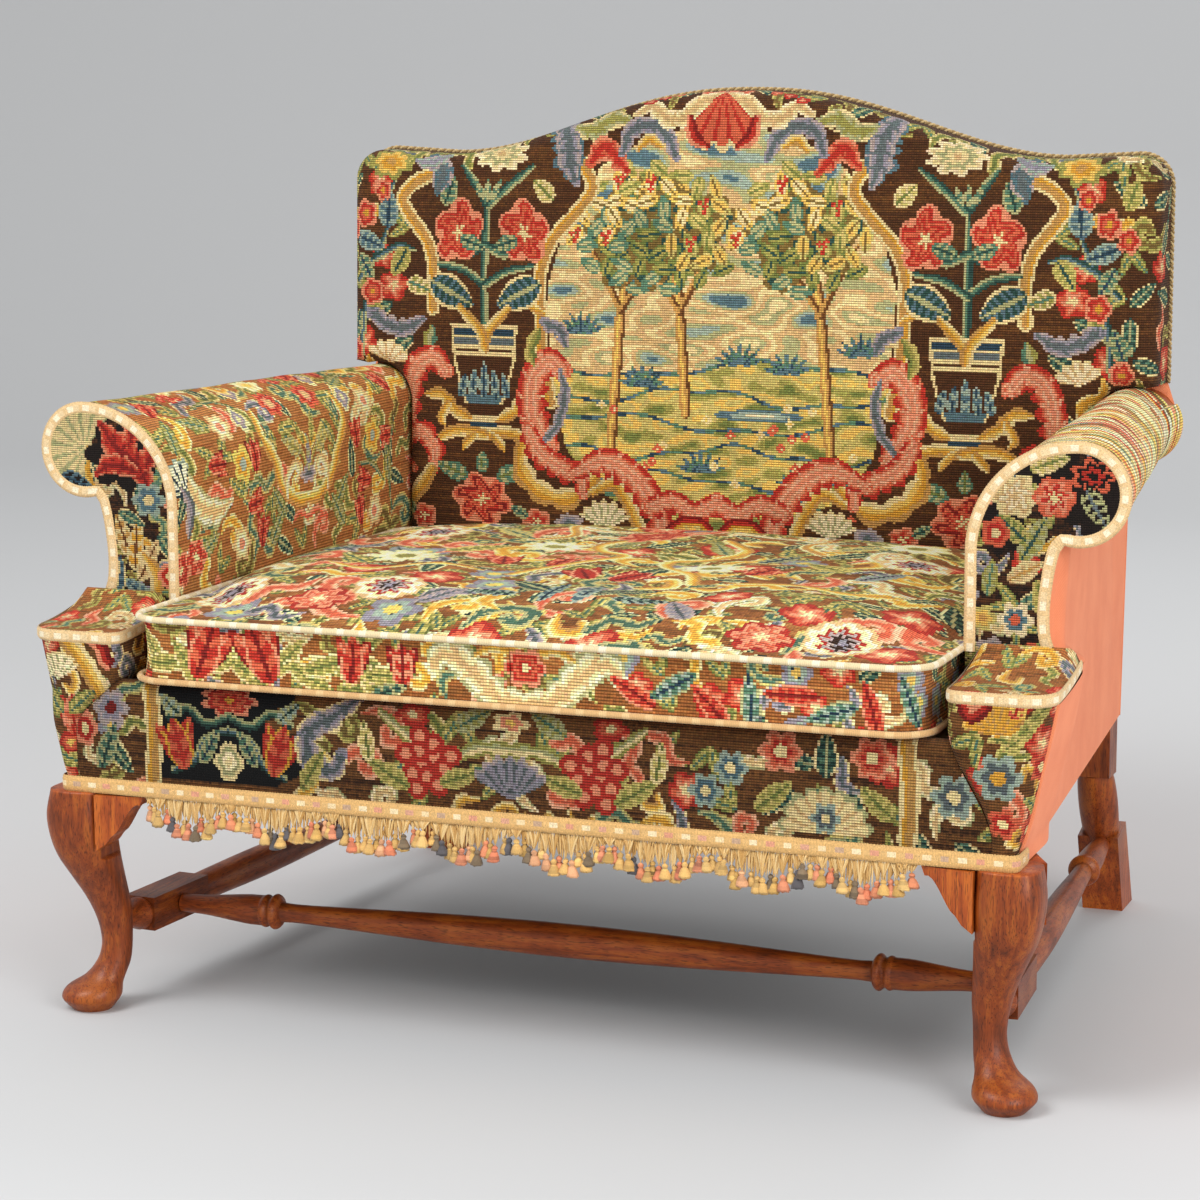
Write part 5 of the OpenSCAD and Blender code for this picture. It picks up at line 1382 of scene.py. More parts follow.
class RailPattern:
    """Tulips, straps, shells and scrolls along the front rail."""

    def paint(self, canvas: Canvas) -> None:
        """Works the front rail from left to right."""
        right = -276 + 20 * np.sin((canvas.v - 292) / 15) + 8 * np.sin(canvas.v / 6)
        dark = np.flatnonzero((canvas.u > -434) & (canvas.u < right) & (canvas.v > 288))
        canvas.lay(dark, np.zeros(1), (BLACK,))
        Meadow.fill(canvas, (-545, 280, -455, 400), 44, 61, (8, 3, 9, 5))
        Meadow.fill(canvas, (180, 280, 560, 400), 47, 62, (2, 8, 4, 9, 5))
        Meadow.fill(canvas, (-250, 280, 200, 400), 48, 63, (4, 8, 9, 6))
        for x in (-443, 444):
            canvas.stroke([(x, 288), (x + 3, 340), (x - 3, 398)], 22, STRAPS)
        self.black_bed(canvas)
        self.middle(canvas)
        self.right_end(canvas)
        canvas.flower((-496, 366), 48, (NAVY, LAVENDER, MAUVE), WINE, 6)
        canvas.leaf((-500, 322), (58, 24), 70, STEM, 5)
        canvas.bloom((-530, 340), (34, 44), (CREAM, RED, SALMON), 5)
        canvas.deepen(1.3, 0.52)  # painted shade: the level darkens the rail, which lies in the shade under the cushion

    def black_bed(self, canvas: Canvas) -> None:
        """Works the tulips on the black ground at the left."""
        half = canvas.folded(-346.0)
        canvas.bloom((-346, 384), (74, 40), (GOLD, RED, CORAL, RED, SALMON), 7, 0.3)
        half.stroke([(0, 366), (28, 356), (52, 372), (76, 362)], 10, STEM)
        half.stroke([(0, 350), (30, 338), (44, 312), (70, 300)], 9, (DEEP_TEAL, BLUE, SAGE))
        half.tulip((62, 326), 62, 75, (GOLD, RED, CORAL, RED))
        half.leaf((24, 330), (48, 18), 120, POND, 4)
        half.leaf((74, 374), (36, 18), 40, (DEEP_TEAL, SKY, SAGE), 4)
        half.bloom((0, 314), (38, 46), (CREAM, IVORY, SAGE, CREAM), 5, 0.25)

    def middle(self, canvas: Canvas) -> None:
        """Works the shell, garlands, berries and leaves in the middle."""
        half = canvas.folded(-3.0)
        half.stroke([(0, 352), (36, 352), (70, 342), (118, 358), (156, 384)],
                    20, (LEAF, CREAM, SAGE, LEAF), (1, 0.6), 6)
        half.berries((98, 330), 34, (SALMON, RED), 12)
        half.leaf((60, 318), (52, 22), 160, SPRING, 5)
        half.leaf((146, 316), (58, 24), 30, SPRING, 5)
        half.leaf((172, 350), (46, 20), 80, YOUNG, 4)
        half.leaf((44, 384), (50, 22), 150, (TEAL, LEAF, SAGE), 5)
        half.bloom((116, 384), (44, 26), (CREAM, CORAL, RED), 5, 0.3)
        canvas.shell((-3, 296), 52, 90, HAZE, 7, 62)
        canvas.bloom((-3, 382), (46, 26), (YELLOW, SALMON, CREAM), 5, 0.3)
        canvas.stroke([(-186, 398), (-214, 376), (-246, 356), (-244, 322), (-214, 314), (-206, 334)],
                      34, HAZE + (CREAM,), (0.5, 0.6), 6, True)
        canvas.leaf((-242, 312), (56, 22), 60, SPRING, 5)

    def right_end(self, canvas: Canvas) -> None:
        """Works the cream mound, stars and red flowers at the right."""
        for spot in ((222, 326), (250, 352)):
            canvas.flower(spot, 40, (DEEP_TEAL, BLUE, SKY), CREAM, 6)
        canvas.shell((355, 288), 54, 90, (FAWN, CREAM, SAGE), 9, 88)
        canvas.flower((355, 306), 36, DUSK, CREAM, 6)
        for x in (-50, 50):
            canvas.flower((355 + x, 374), 50, REDS, CREAM, 6)
            canvas.leaf((355 + x * 1.14, 326), (52, 24), 90 + x, SPRING, 5)
        canvas.leaf((355, 374), (50, 26), 90, FROND, 5)
        canvas.flower((494, 340), 50, DUSK, CREAM, 6)


class SeatPattern:
    """Dense flowers, straps and shells on the cushion's top; u is x and v is the depth."""

    def paint(self, canvas: Canvas) -> None:
        """Works the top of the cushion."""
        Meadow.fill(canvas, (-470, -20, 480, 740), 44, 72, (5, 4, 9, 8, 4))
        Meadow.fill(canvas, (-470, -20, 480, 740), 70, 71, (8, 9, 4, 8, 9, 5, 3, 2, 6, 8))
        half = canvas.folded(18.0)
        self.straps(half)
        for spot, turn in (((-390, 100), 80), ((-196, 110), 100), ((352, 60), 90), ((-300, 480), 70),
                           ((330, 430), 110)):
            canvas.bloom(spot, (96, 86), (LAVENDER, BROWN, MAUVE, RED, CREAM, IVORY, FAWN), 9, 0.1, turn, 0.5)
        canvas.bloom((-34, 552), (96, 132), (SALMON, RED, CORAL, RED, SALMON), 7, 0.22, 0, 0.7)
        for spot in ((-122, 432), (112, 330), (-262, 300), (296, 560)):
            canvas.flower(spot, 86, (FAWN, CREAM, IVORY, CREAM), LEAF, 9)
        for spot in ((-262, 62), (270, 36), (-60, 660), (180, 610), (-420, 620)):
            canvas.bloom(spot, (78, 66), (CREAM, SALMON, CORAL, SALMON, RED), 6, 0.24, 0, 0.8)
        canvas.deepen(1.6, 1.02)

    def straps(self, half: Canvas) -> None:
        """Works the gold straps, leaves and tulips that mirror about the middle."""
        half.stroke([(52, 520), (92, 470), (70, 410), (30, 380), (44, 320), (92, 270), (110, 220)], 18, GOLDS)
        half.stroke([(140, 640), (170, 580), (150, 520), (186, 470)], 16, STRAPS)
        half.stroke([(150, 230), (220, 250), (290, 214), (350, 236)], 18, GOLDS, (0.5, 0.5), 5)
        half.stroke([(250, 640), (300, 600), (290, 540), (340, 500)], 16, GOLDS, (0.5, 0.5))
        half.tulip((26, 236), 64, 60, (SALMON, RED, RED, WINE))
        for spot, size, turn in (((86, 310), 56, 100), ((160, 316), 60, 70)):
            half.tulip(spot, size, turn, TULIP)
        leaves = (
            ((56, 150), (86, 32), 40, (SAGE, NAVY, TEAL, SAGE)), ((20, 130), (96, 20), 90, BLUES),
            ((90, 110), (70, 26), 10, (TEAL, NAVY, SKY)), ((140, 90), (76, 30), 120, HAZE),
            ((150, 420), (80, 32), 70, (NAVY, BLUE, SAGE)), ((60, 470), (70, 28), 120, FERN),
            ((220, 380), (84, 32), 140, SPRING), ((300, 330), (80, 30), 60, (NAVY, LAVENDER, SKY)),
            ((400, 400), (90, 34), 110, BLUES), ((230, 520), (80, 30), 40, (TEAL, SAGE, LIME)),
        )
        for spot, size, turn, wools in leaves:
            half.leaf(spot, size, turn, wools, 6)


class BorderPattern:
    """Feathers, tulips and acanthus round the cushion's border; u runs along it from the middle."""

    def paint(self, canvas: Canvas) -> None:
        """Works the border."""
        Meadow.fill(canvas, (-1700, 395, -345, 478), 46, 81, (0, 2, 8, 4, 9, 6))
        Meadow.fill(canvas, (-345, 395, 125, 478), 42, 83, (8, 9, 4))
        Meadow.fill(canvas, (125, 395, 1700, 478), 40, 82, (2, 8, 3, 4, 5, 9))
        for k in range(14):
            x = -470 + 25 * k
            canvas.leaf((x, 432 + 12 * math.sin(k * 1.9)), (66, 24), 80 + 75 * math.sin(k * 2.3),
                        (GREEN, LEAF, LIME, CREAM), 6)
        for x, size, turn in ((-372, 78, 68), (-300, 78, 112), (-190, 56, 85)):
            canvas.tulip((x, 438), size, turn, TULIP)
        canvas.tulip((-130, 436), 50, 90, (SALMON, RED, WINE))
        canvas.leaf((-146, 410), (50, 18), 20, STEM, 4)
        half = canvas.folded(16.0)
        half.stroke([(0, 408), (34, 412), (60, 436), (92, 456), (110, 440)],
                    42, PALE + (SAGE,), (0.6, 0.6), 5, True)
        half.stroke([(10, 462), (40, 466), (58, 456)], 12, GOLDS, (0.5, 0.5))
        canvas.bloom((16, 446), (52, 44), (CREAM, RED, CORAL, RED, SALMON), 6, 0.24)
        for k in range(8):
            x = 140 + 44 * k
            canvas.leaf((x, 428 + 10 * math.sin(k * 2.1)), (62, 22), 150 + 60 * math.sin(k * 1.7),
                        (NAVY, TEAL, SKY, SAGE) if k % 2 else REDS, 5)
        canvas.deepen(1.25, 1.02)


# ---------------------------------------------------------------- finishes


def maths(tree: Tree, operation: str, *values: Socket | float) -> Socket:
    """Joins sockets and numbers by a math operation."""
    numbers = {k: value for k, value in enumerate(values) if isinstance(value, float)}
    sockets = {k: value for k, value in enumerate(values) if k not in numbers}
    return add_node(tree, "ShaderNodeMath", {"operation": operation} | numbers, sockets).outputs[0]


def spread(
    tree: Tree, value: Socket, low: float, high: float, start: float = 0.0, end: float = 1.0,
    kind: str = "LINEAR",
) -> Socket:
    """Maps a range of a value onto another.

    Args:
        tree: Node tree of the material.
        value: Value to map.
        low: Result at the range's start.
        high: Result at its end.
        start: Start of the range.
        end: End of the range.
        kind: Blender's name of the interpolation.

    Returns:
        The result's socket.
    """
    limits = {"From Min": start, "From Max": end, "To Min": low, "To Max": high}
    return add_node(tree, "ShaderNodeMapRange", {"interpolation_type": kind} | limits,
                    {"Value": value}).outputs[0]


def noise(
    tree: Tree, where: Socket, scale: float, detail: float, rough: float = 0.5, warp: float = 0.0
) -> Socket:
    """Adds cloudy noise, scale waves to the metre."""
    settings = {"Scale": scale, "Detail": detail, "Roughness": rough, "Distortion": warp}
    return add_node(tree, "ShaderNodeTexNoise", settings, {"Vector": where}).outputs[0]


def ramp(tree: Tree, level: Socket, *stops: tuple[float, str]) -> Socket:
    """Blends colours by a level.

    Args:
        tree: Node tree of the material.
        level: Level that picks the colour.
        stops: Level and colour of each stop: the lowest, the highest, then any between.

    Returns:
        The colour's socket.
    """
    made = add_node(tree, "ShaderNodeValToRGB", {}, {0: level})
    steps = made.color_ramp.elements
    for k, (place, colour) in enumerate(stops):
        step = steps[k] if k < 2 else steps.new(place)
        step.position, step.color = place, paint(colour)
    return made.outputs[0]


def object_place(tree: Tree) -> Socket:
    """Place in the object's own coordinates."""
    return add_node(tree, "ShaderNodeTexCoord", {}, {}).outputs["Object"]


def wool_colour(tree: Tree) -> Socket:
    """Colour of each stitch or strand."""
    return add_node(tree, "ShaderNodeAttribute", {"attribute_name": "Wool"}, {}).outputs["Color"]


def stitch_place(tree: Tree) -> Sequence[Socket]:
    """Both coordinates of the stitch map."""
    place = add_node(tree, "ShaderNodeUVMap", {"uv_map": "Stitch"}, {})
    return add_node(tree, "ShaderNodeSeparateXYZ", {}, {0: place.outputs[0]}).outputs[:2]


def stitch_height(tree: Tree) -> Socket:
    """Gives a height that rises over each unit of the stitch map and dips between them."""
    sides = [spread(tree, maths(tree, "PINGPONG", place, 0.5), low, 1.0, 0.0, 0.32, "SMOOTHSTEP")
             for place, low in zip(stitch_place(tree), (0.6, 0.0), strict=True)]
    return maths(tree, "MULTIPLY", *sides)


@dataclass(frozen=True)
class Finish:
    """A finish that builds its own procedural material."""

    title: str
    colour: str
    roughness: float

    def material(self) -> bpy.types.Material:
        """Builds the material."""
        made = bpy.data.materials.new(self.title)
        made.use_nodes = True
        tree = made.node_tree
        shader = next(n for n in tree.nodes if n.type == "BSDF_PRINCIPLED")
        sockets = {"Base Color": paint(self.colour), "Roughness": self.roughness}
        for name, value in (sockets | self.dress(tree, shader)).items():
            shader.inputs[name].default_value = value
        return made

    def dress(self, tree: Tree, shader: Node) -> dict[str, float]:
        """Links what this finish shows and gives socket values; each finish has its own."""
        return {}

    def bump(self, tree: Tree, shader: Node, height: Socket, deep: float) -> None:
        """Raises the surface by a height from 0 to 1, deep metres high."""
        relief = add_node(tree, "ShaderNodeBump", {"Strength": 0.8, "Distance": deep}, {"Height": height})
        tree.links.new(relief.outputs["Normal"], shader.inputs["Normal"])

    def tint(self, tree: Tree, shader: Node, colour: Socket, tone: Socket) -> None:
        """Shows a colour that is scaled by a tone."""
        shade = add_node(tree, "ShaderNodeVectorMath", {"operation": "SCALE"}, {0: colour, "Scale": tone})
        tree.links.new(shade.outputs[0], shader.inputs["Base Color"])


@dataclass(frozen=True)
class Needlework(Finish):
    """Wool gros point on canvas: matt, with a soft sheen and a hole between one stitch and the next."""

    fuzz_mm: float = 0.9

    def dress(self, tree: Tree, shader: Node) -> dict[str, float]:
        """Takes each stitch's wool, paints shade into the holes between stitches and adds the yarn's fuzz."""
        height = stitch_height(tree)
        fuzz = noise(tree, object_place(tree), 1000 / self.fuzz_mm, 2.0)
        # Painted shade: the wool colour darkens in the holes between stitches and lightens on their tops; the
        # fuzz adds random tone.
        tone = maths(tree, "MULTIPLY", spread(tree, height, 0.44, 1.18), spread(tree, fuzz, 0.84, 1.22))
        self.tint(tree, shader, wool_colour(tree), tone)
        rough = maths(tree, "MULTIPLY_ADD", fuzz, 0.3, 0.1)
        self.bump(tree, shader, maths(tree, "ADD", height, rough), 0.0014)
        return {"Sheen Weight": 0.04, "Sheen Roughness": 0.45, "Specular IOR Level": 0.15}


@dataclass(frozen=True)
class PlainCloth(Finish):
    """Plain weave: over and under threads, uneven dye and a little lint."""

    mottle_mm: float = 60.0
    # The darker colour: uneven dye, and painted shade in the weave's low threads.
    shade: str = "#000000"

    def dress(self, tree: Tree, shader: Node) -> dict[str, float]:
        """Mixes two shades of the cloth: the darker one falls in the weave's low threads as painted shade and
        in clouds of uneven dye.
        """
        waves = [maths(tree, "SINE", maths(tree, "MULTIPLY", place, math.pi)) for place in stitch_place(tree)]
        lifted = spread(tree, maths(tree, "MULTIPLY", *waves), 0.0, 1.0, -1.0)
        cloud = noise(tree, object_place(tree), 1000 / self.mottle_mm, 5.0, 0.65)
        # Painted shade: the weave's low threads take the darker colour; the clouds are uneven dye.
        level = maths(tree, "MULTIPLY_ADD", lifted, 0.35, cloud)
        dyed = ramp(tree, level, (0.3, self.shade), (0.95, self.colour))
        tree.links.new(dyed, shader.inputs["Base Color"])
        self.bump(tree, shader, lifted, 0.0004)
        return {"Sheen Weight": 0.1, "Specular IOR Level": 0.25}


@dataclass(frozen=True)
class Yarn(Finish):
    """Twisted silk and wool yarn for cords, braids and tassels: fine plies with a soft light."""

    ply_mm: float = 1.3

    def dress(self, tree: Tree, shader: Node) -> dict[str, float]:
        """Takes the yarn's colour, adds its plies and paints shade between them."""
        fuzz = noise(tree, object_place(tree), 1000 / self.ply_mm, 3.0)
        total = maths(tree, "MULTIPLY_ADD", stitch_height(tree), 0.4, fuzz)
        # Painted shade: the colour darkens between the plies; the fuzz adds random tone.
        self.tint(tree, shader, wool_colour(tree), spread(tree, total, 0.68, 1.14, 0.2, 1.1))
        self.bump(tree, shader, total, 0.0004)
        return {"Sheen Weight": 0.2, "Specular IOR Level": 0.3}


@dataclass(frozen=True)
class Timber(Finish):
    """Wood with its grain along one axis; the polish is a thin satin coat over old stain."""

    dark: str = "#3a1a0e"
    light: str = "#a8613a"
    grain_axis: int = 2
    grain_mm: float = 7.0
    coat: float = 0.35

    def dress(self, tree: Tree, shader: Node) -> dict[str, float]:
        """Draws long grain, short dark pores and worn places."""
        place = object_place(tree)
        stretch = [1.0, 1.0, 1.0]
        stretch[self.grain_axis] = 0.09
        along = add_node(tree, "ShaderNodeMapping", {"Scale": stretch}, {"Vector": place}).outputs[0]
        grain = noise(tree, along, 1000 / self.grain_mm, 7.0, 0.6, 0.6)
        wear = noise(tree, place, 16.0, 3.0)
        pit = spread(tree, noise(tree, along, 950.0, 1.0), 0.45, 1.0, 0.34, 0.44)
        level = maths(tree, "MULTIPLY_ADD", wear, 0.7, grain)
        stain = ramp(tree, level, (0.62, self.dark), (1.06, self.light), (0.82, self.colour))
        edge = add_node(tree, "ShaderNodeNewGeometry", {}, {})
        worn = spread(tree, edge.outputs["Pointiness"], 0.72, 1.3, 0.47, 0.58)
        self.tint(tree, shader, stain, maths(tree, "MULTIPLY", pit, worn))
        dull = spread(tree, wear, self.roughness + 0.14, self.roughness - 0.1)
        tree.links.new(dull, shader.inputs["Roughness"])
        self.bump(tree, shader, pit, 0.0002)
        return {"Coat Weight": self.coat, "Specular IOR Level": 0.3, "Coat Roughness": 0.22}


@dataclass(frozen=True)
class TackSteel(Finish):
    """Blued cut-tack steel: dark, half matt, with specks of rust."""

    rust: str = "#6b3a22"

    def dress(self, tree: Tree, shader: Node) -> dict[str, float]:
        """Mixes bluing and rust."""
        specks = noise(tree, object_place(tree), 600.0, 4.0)
        blued = ramp(tree, specks, (0.45, self.colour), (0.68, self.rust))
        tree.links.new(blued, shader.inputs["Base Color"])
        self.bump(tree, shader, specks, 0.0001)
        return {"Metallic": 0.85}


class Finishes:
    """The finishes of the settee, each built once."""

    def __init__(self) -> None:
        """Builds every material."""
        # Gros point shows as small matt beads of wool with dark pin holes between them.
        self.needlework = Needlework("wool gros point", "#7a5a3a", 0.92).material()
        # Worsted rep gives the eye one strong coral, a fine rib and faint clouds from fading.
        self.coral = PlainCloth("coral worsted rep", "#f39468", 0.9, 70.0, "#e27c52").material()
        self.linen = PlainCloth("linen scrim", "#c9b78f", 0.95, 45.0, "#97825c").material()
        self.hessian = PlainCloth("jute hessian", "#a98a5c", 0.97, 30.0, "#6f5634").material()
        self.webbing = PlainCloth("jute webbing", "#c8b288", 0.95, 25.0, "#8f7850").material()
        self.lining = PlainCloth("black cambric", "#2a2827", 0.95, 50.0, "#161514").material()
        self.horsehair = PlainCloth("curled hair wadding", "#5c4b3a", 1.0, 14.0, "#2b221b").material()
        # Silk-wool yarn shows soft plies with a dull gleam.
        self.yarn = Yarn("twisted silk and wool yarn", "#e6d2a8", 0.7).material()
        # French-polished walnut shows warm red-brown, long grain, dark pits and a satin light.
        self.walnut = [Timber(f"polished walnut, grain {axis}", "#8e3f14", 0.4, "#692e0f", "#a7561c", k, 7.0,
                              0.09).material() for k, axis in enumerate("xyz")]
        # Beech and oak inside are dry, pale and unpolished.
        self.frame_wood = [Timber(f"raw beech, grain {axis}", "#b98a58", 0.75, "#8d6238", "#d3aa78", k, 9.0,
                                  0.0).material() for k, axis in enumerate("xyz")]
        self.steel = TackSteel("blued tack steel", "#33343a", 0.45).material()


# ---------------------------------------------------------------- trims


@dataclass(frozen=True)
class Braid:
    """Woven braid with picot edges and a row of blocks."""

    width: float
    period: float = 24.0
    block: float = 9.0
    base: str = "#e2bf8a"
    light: str = "#eed7ab"
    accents: tuple[str, ...] = ("#f4e4c2",)
    thick: float = 2.2
    plain: int = 3

    def lay(self, draft: Draft, path: Array, across: Array, out: Array, seed: int) -> None:
        """Adds the braid to a draft.

        Args:
            draft: Draft that takes it.
            path: Points along one edge of the braid.
            across: Unit vectors from that edge over the braid's width.
            out: Unit vectors away from what it lies on.
            seed: Seed of the uneven weave.
        """
        columns = 13
        share = np.linspace(0, 1, columns)
        walked = lengths_along(path)
        draw = np.random.default_rng(seed)
        picot = 0.7 * np.abs(np.sin(math.pi * walked / 3.4))
        wide = share[None, :] * (self.width + 0 * walked[:, None])
        wide[:, 0] -= picot
        wide[:, -1] += picot
        dome = self.thick * np.clip(1 - np.abs(2 * share - 1) ** 5, 0.12, 1)
        dome[2::2] -= 0.25
        weave = 0.22 * np.sin(math.pi * walked / 1.7)[:, None] * np.where(np.arange(columns) % 2, 1, -1)
        points = path[:, None] + across[:, None] * wide[:, :, None]
        points = points + out[:, None] * (dome[None] + weave)[:, :, None]
        rows = len(path) - 1
        rgb = np.tile(linear(self.base), (rows, columns - 1, 1))
        middle = (walked[1:] + walked[:-1]) / 2
        turn = np.floor(middle / self.period).astype(int)
        in_block = np.mod(middle, self.period) < self.block
        body = np.arange(columns - 1)
        centre = (body >= self.plain) & (body < columns - 1 - self.plain)
        for k, accent in enumerate(self.accents):
            rows_k = in_block & (turn % len(self.accents) == k)
            rgb[np.ix_(rows_k, centre)] = linear(accent)
        pale = np.mod(middle, self.period) > self.period * 0.6
        rgb[np.ix_(pale, centre)] = 0.5 * linear(self.light) + 0.5 * linear(self.base)
        rgb *= 1 + 0.09 * draw.normal(size=(rows, columns - 1, 1))
        rgb[:, [0, -1]] *= 0.86
        flat = joined(share[None, :] * self.width, walked[:, None])
        draft.grid(points, np.clip(rgb, 0, 0.95).reshape(-1, 3), flat)


@dataclass(frozen=True)
class TwistedCord:
    """Cord of two twisted strands."""

    diameter: float
    pitch: float
    colours: tuple[str, str]
    sides: int = 8
    steps: int = 10
    covered: bool = False

    def lay(self, draft: Draft, path: Array, closed: bool, up: Array) -> None:
        """Adds the cord's strands to a draft.

        Args:
            draft: Draft that takes them.
            path: Points of the cord's middle.
            closed: Whether its end meets its start.
            up: One unit vector that is never along the path.
        """
        whole = np.vstack([path, path[:1]]) if closed else path
        walked = lengths_along(whole)[-1]
        turns = max(1, round(walked / self.pitch))
        share = np.linspace(0, 1, turns * self.steps + 1)
        line = resample(whole, share)
        ahead = np.gradient(line, axis=0)
        if closed:
            ahead[0] = ahead[-1] = line[1] - line[-2]
        side = units(np.cross(ahead, up))
        over = units(np.cross(side, ahead))
        if self.covered:
            around = np.linspace(0, 2 * math.pi, 12, endpoint=False)
            long = share[:, None] * walked
            size = self.diameter / 2 - 0.35 + 0.35 * np.sin(2 * math.pi * long / 3.3) * np.cos(6
                * around)[None]
            ring = size[..., None] * hoops(around, side, over)
            block = np.mod(share[:-1] * walked, self.pitch * 6) < self.pitch * 2
            tone = np.where(block[:, None], linear(self.colours[0]), linear(self.colours[1]))
            draft.grid(line[:, None] + ring, np.repeat(tone, 12, axis=0), wrap=True)
            return
        strand = self.diameter * 0.27
        offset = self.diameter / 2 - strand
        for k, colour in enumerate(self.colours):
            turn = 2 * math.pi * turns * share + math.pi * k
            middle = line + offset * (np.cos(turn)[:, None] * side + np.sin(turn)[:, None] * over)
            draft.tube(middle, strand, self.sides, linear(colour), not closed)


@dataclass
class Fringe:
    """Fringe of knotted threads that end in small tassels, longer at its scallops."""

    half: float = 454.0
    top: float = 265.0
    short: float = 24.0
    scallop: float = 21.0
    scallops: int = 8
    tassel: float = 19.0
    threads: tuple[str, ...] = ("#d3a765", "#dfb877", "#c39552", "#e8c78c")
    skirts: tuple[str, ...] = ("#dfb26a", "#dd8a62", "#d3aa66", "#5a5658", "#e0b772", "#d9805c", "#c99f58",
                               "#dfa478", "#dcae64", "#7d6a52", "#d88a66")

    def drop(self, x: float) -> float:
        """Length of the fringe at x."""
        share = (x + self.half) / (2 * self.half)
        return self.short + self.scallop * abs(math.sin(math.pi * self.scallops * share))

    def lay(self, draft: Draft) -> None:
        """Adds every thread and tassel to a draft."""
        draw = np.random.default_rng(33)
        count = 124
        for k in range(count):
            x = -self.half + 6 + (2 * self.half - 12) * (k + draw.uniform(-0.2, 0.2)) / (count - 1)
            row = k % 3
            y = -2.0 - 2.4 * row + draw.uniform(-0.5, 0.5)
            drop = max(9.0, self.drop(x) - self.tassel + draw.uniform(-4.5, 3.0) - 3.5 * (row == 0))
            knot = np.array([x + draw.uniform(-1.5, 1.5), y, self.top - drop])
            for way in np.linspace(-1, 1, 9):
                start = np.array([x + way * 7.0 + draw.uniform(-0.6, 0.6), y * 0.6, self.top + 1.5])
                belly = lerp(start, knot, 0.5) + (draw.uniform(-1.2, 1.2) - way * 0.6,
                                                  draw.uniform(-0.8, 0.4), 0)
                colour = self.threads[int(draw.integers(4))]
                draft.tube(smooth_path([start, belly, knot], 2), 1.1, 5, linear(colour))
            self.hang(draft, knot, draw)
        for x in np.arange(4 - self.half, self.half - 3, 2.3):
            low = self.top - (self.drop(x) - self.tassel) * draw.uniform(0.75, 1.15) - 2
            start = np.array([x, -2.2, self.top + 1.5])
            end = np.array([x + draw.uniform(-2.5, 2.5), -4.0 + draw.uniform(-0.8, 0.8), low])
            middle = lerp(start, end, 0.5) + (draw.uniform(-0.8, 0.8), -0.4, 0)
            draft.tube(smooth_path([start, middle, end], 2), 1.0, 5,
                       linear(self.threads[int(draw.integers(4))]))

    def hang(self, draft: Draft, knot: Array, draw: np.random.Generator) -> None:
        """Adds one tassel: a bound head and a skirt of loose ends.

        Args:
            draft: Draft that takes it.
            knot: Point that it hangs from.
            draw: Random source.
        """
        colour = linear(self.skirts[int(draw.integers(len(self.skirts)))])
        long = self.tassel * draw.uniform(0.85, 1.05)
        lean = np.array([draw.uniform(-0.16, 0.16), draw.uniform(-0.1, 0.1), -1.0])
        profile = ((0, 0.6), (0.09, 2.8), (0.18, 3.6), (0.27, 3.2), (0.34, 2.2), (0.42, 3.6), (0.64, 5.6),
                   (0.86, 6.9), (1.0, 6.5))
        turn = np.linspace(0, 2 * math.pi, 12, endpoint=False)
        rings = []
        for share, r in profile:
            pleat = r * (1 + (0.16 * np.sin(6 * turn + 4 * share) if share > 0.4 else 0))
            ring = joined(np.cos(turn) * pleat, np.sin(turn) * pleat * 0.85, 0.0)
            ring[:, 2] = draw.uniform(-0.7, 0.4, 12) * (share == 1.0)
            rings.append(knot + lean * long * share + ring)
        rings.append(np.tile(knot + lean * long * 0.9, (12, 1)))
        shades = np.repeat(1 + 0.16 * draw.normal(size=(len(rings) - 1, 1)), 12, axis=0)
        draft.grid(np.array(rings), np.clip(colour * np.abs(shades), 0.003, 0.9), wrap=True)


# ---------------------------------------------------------------- studio


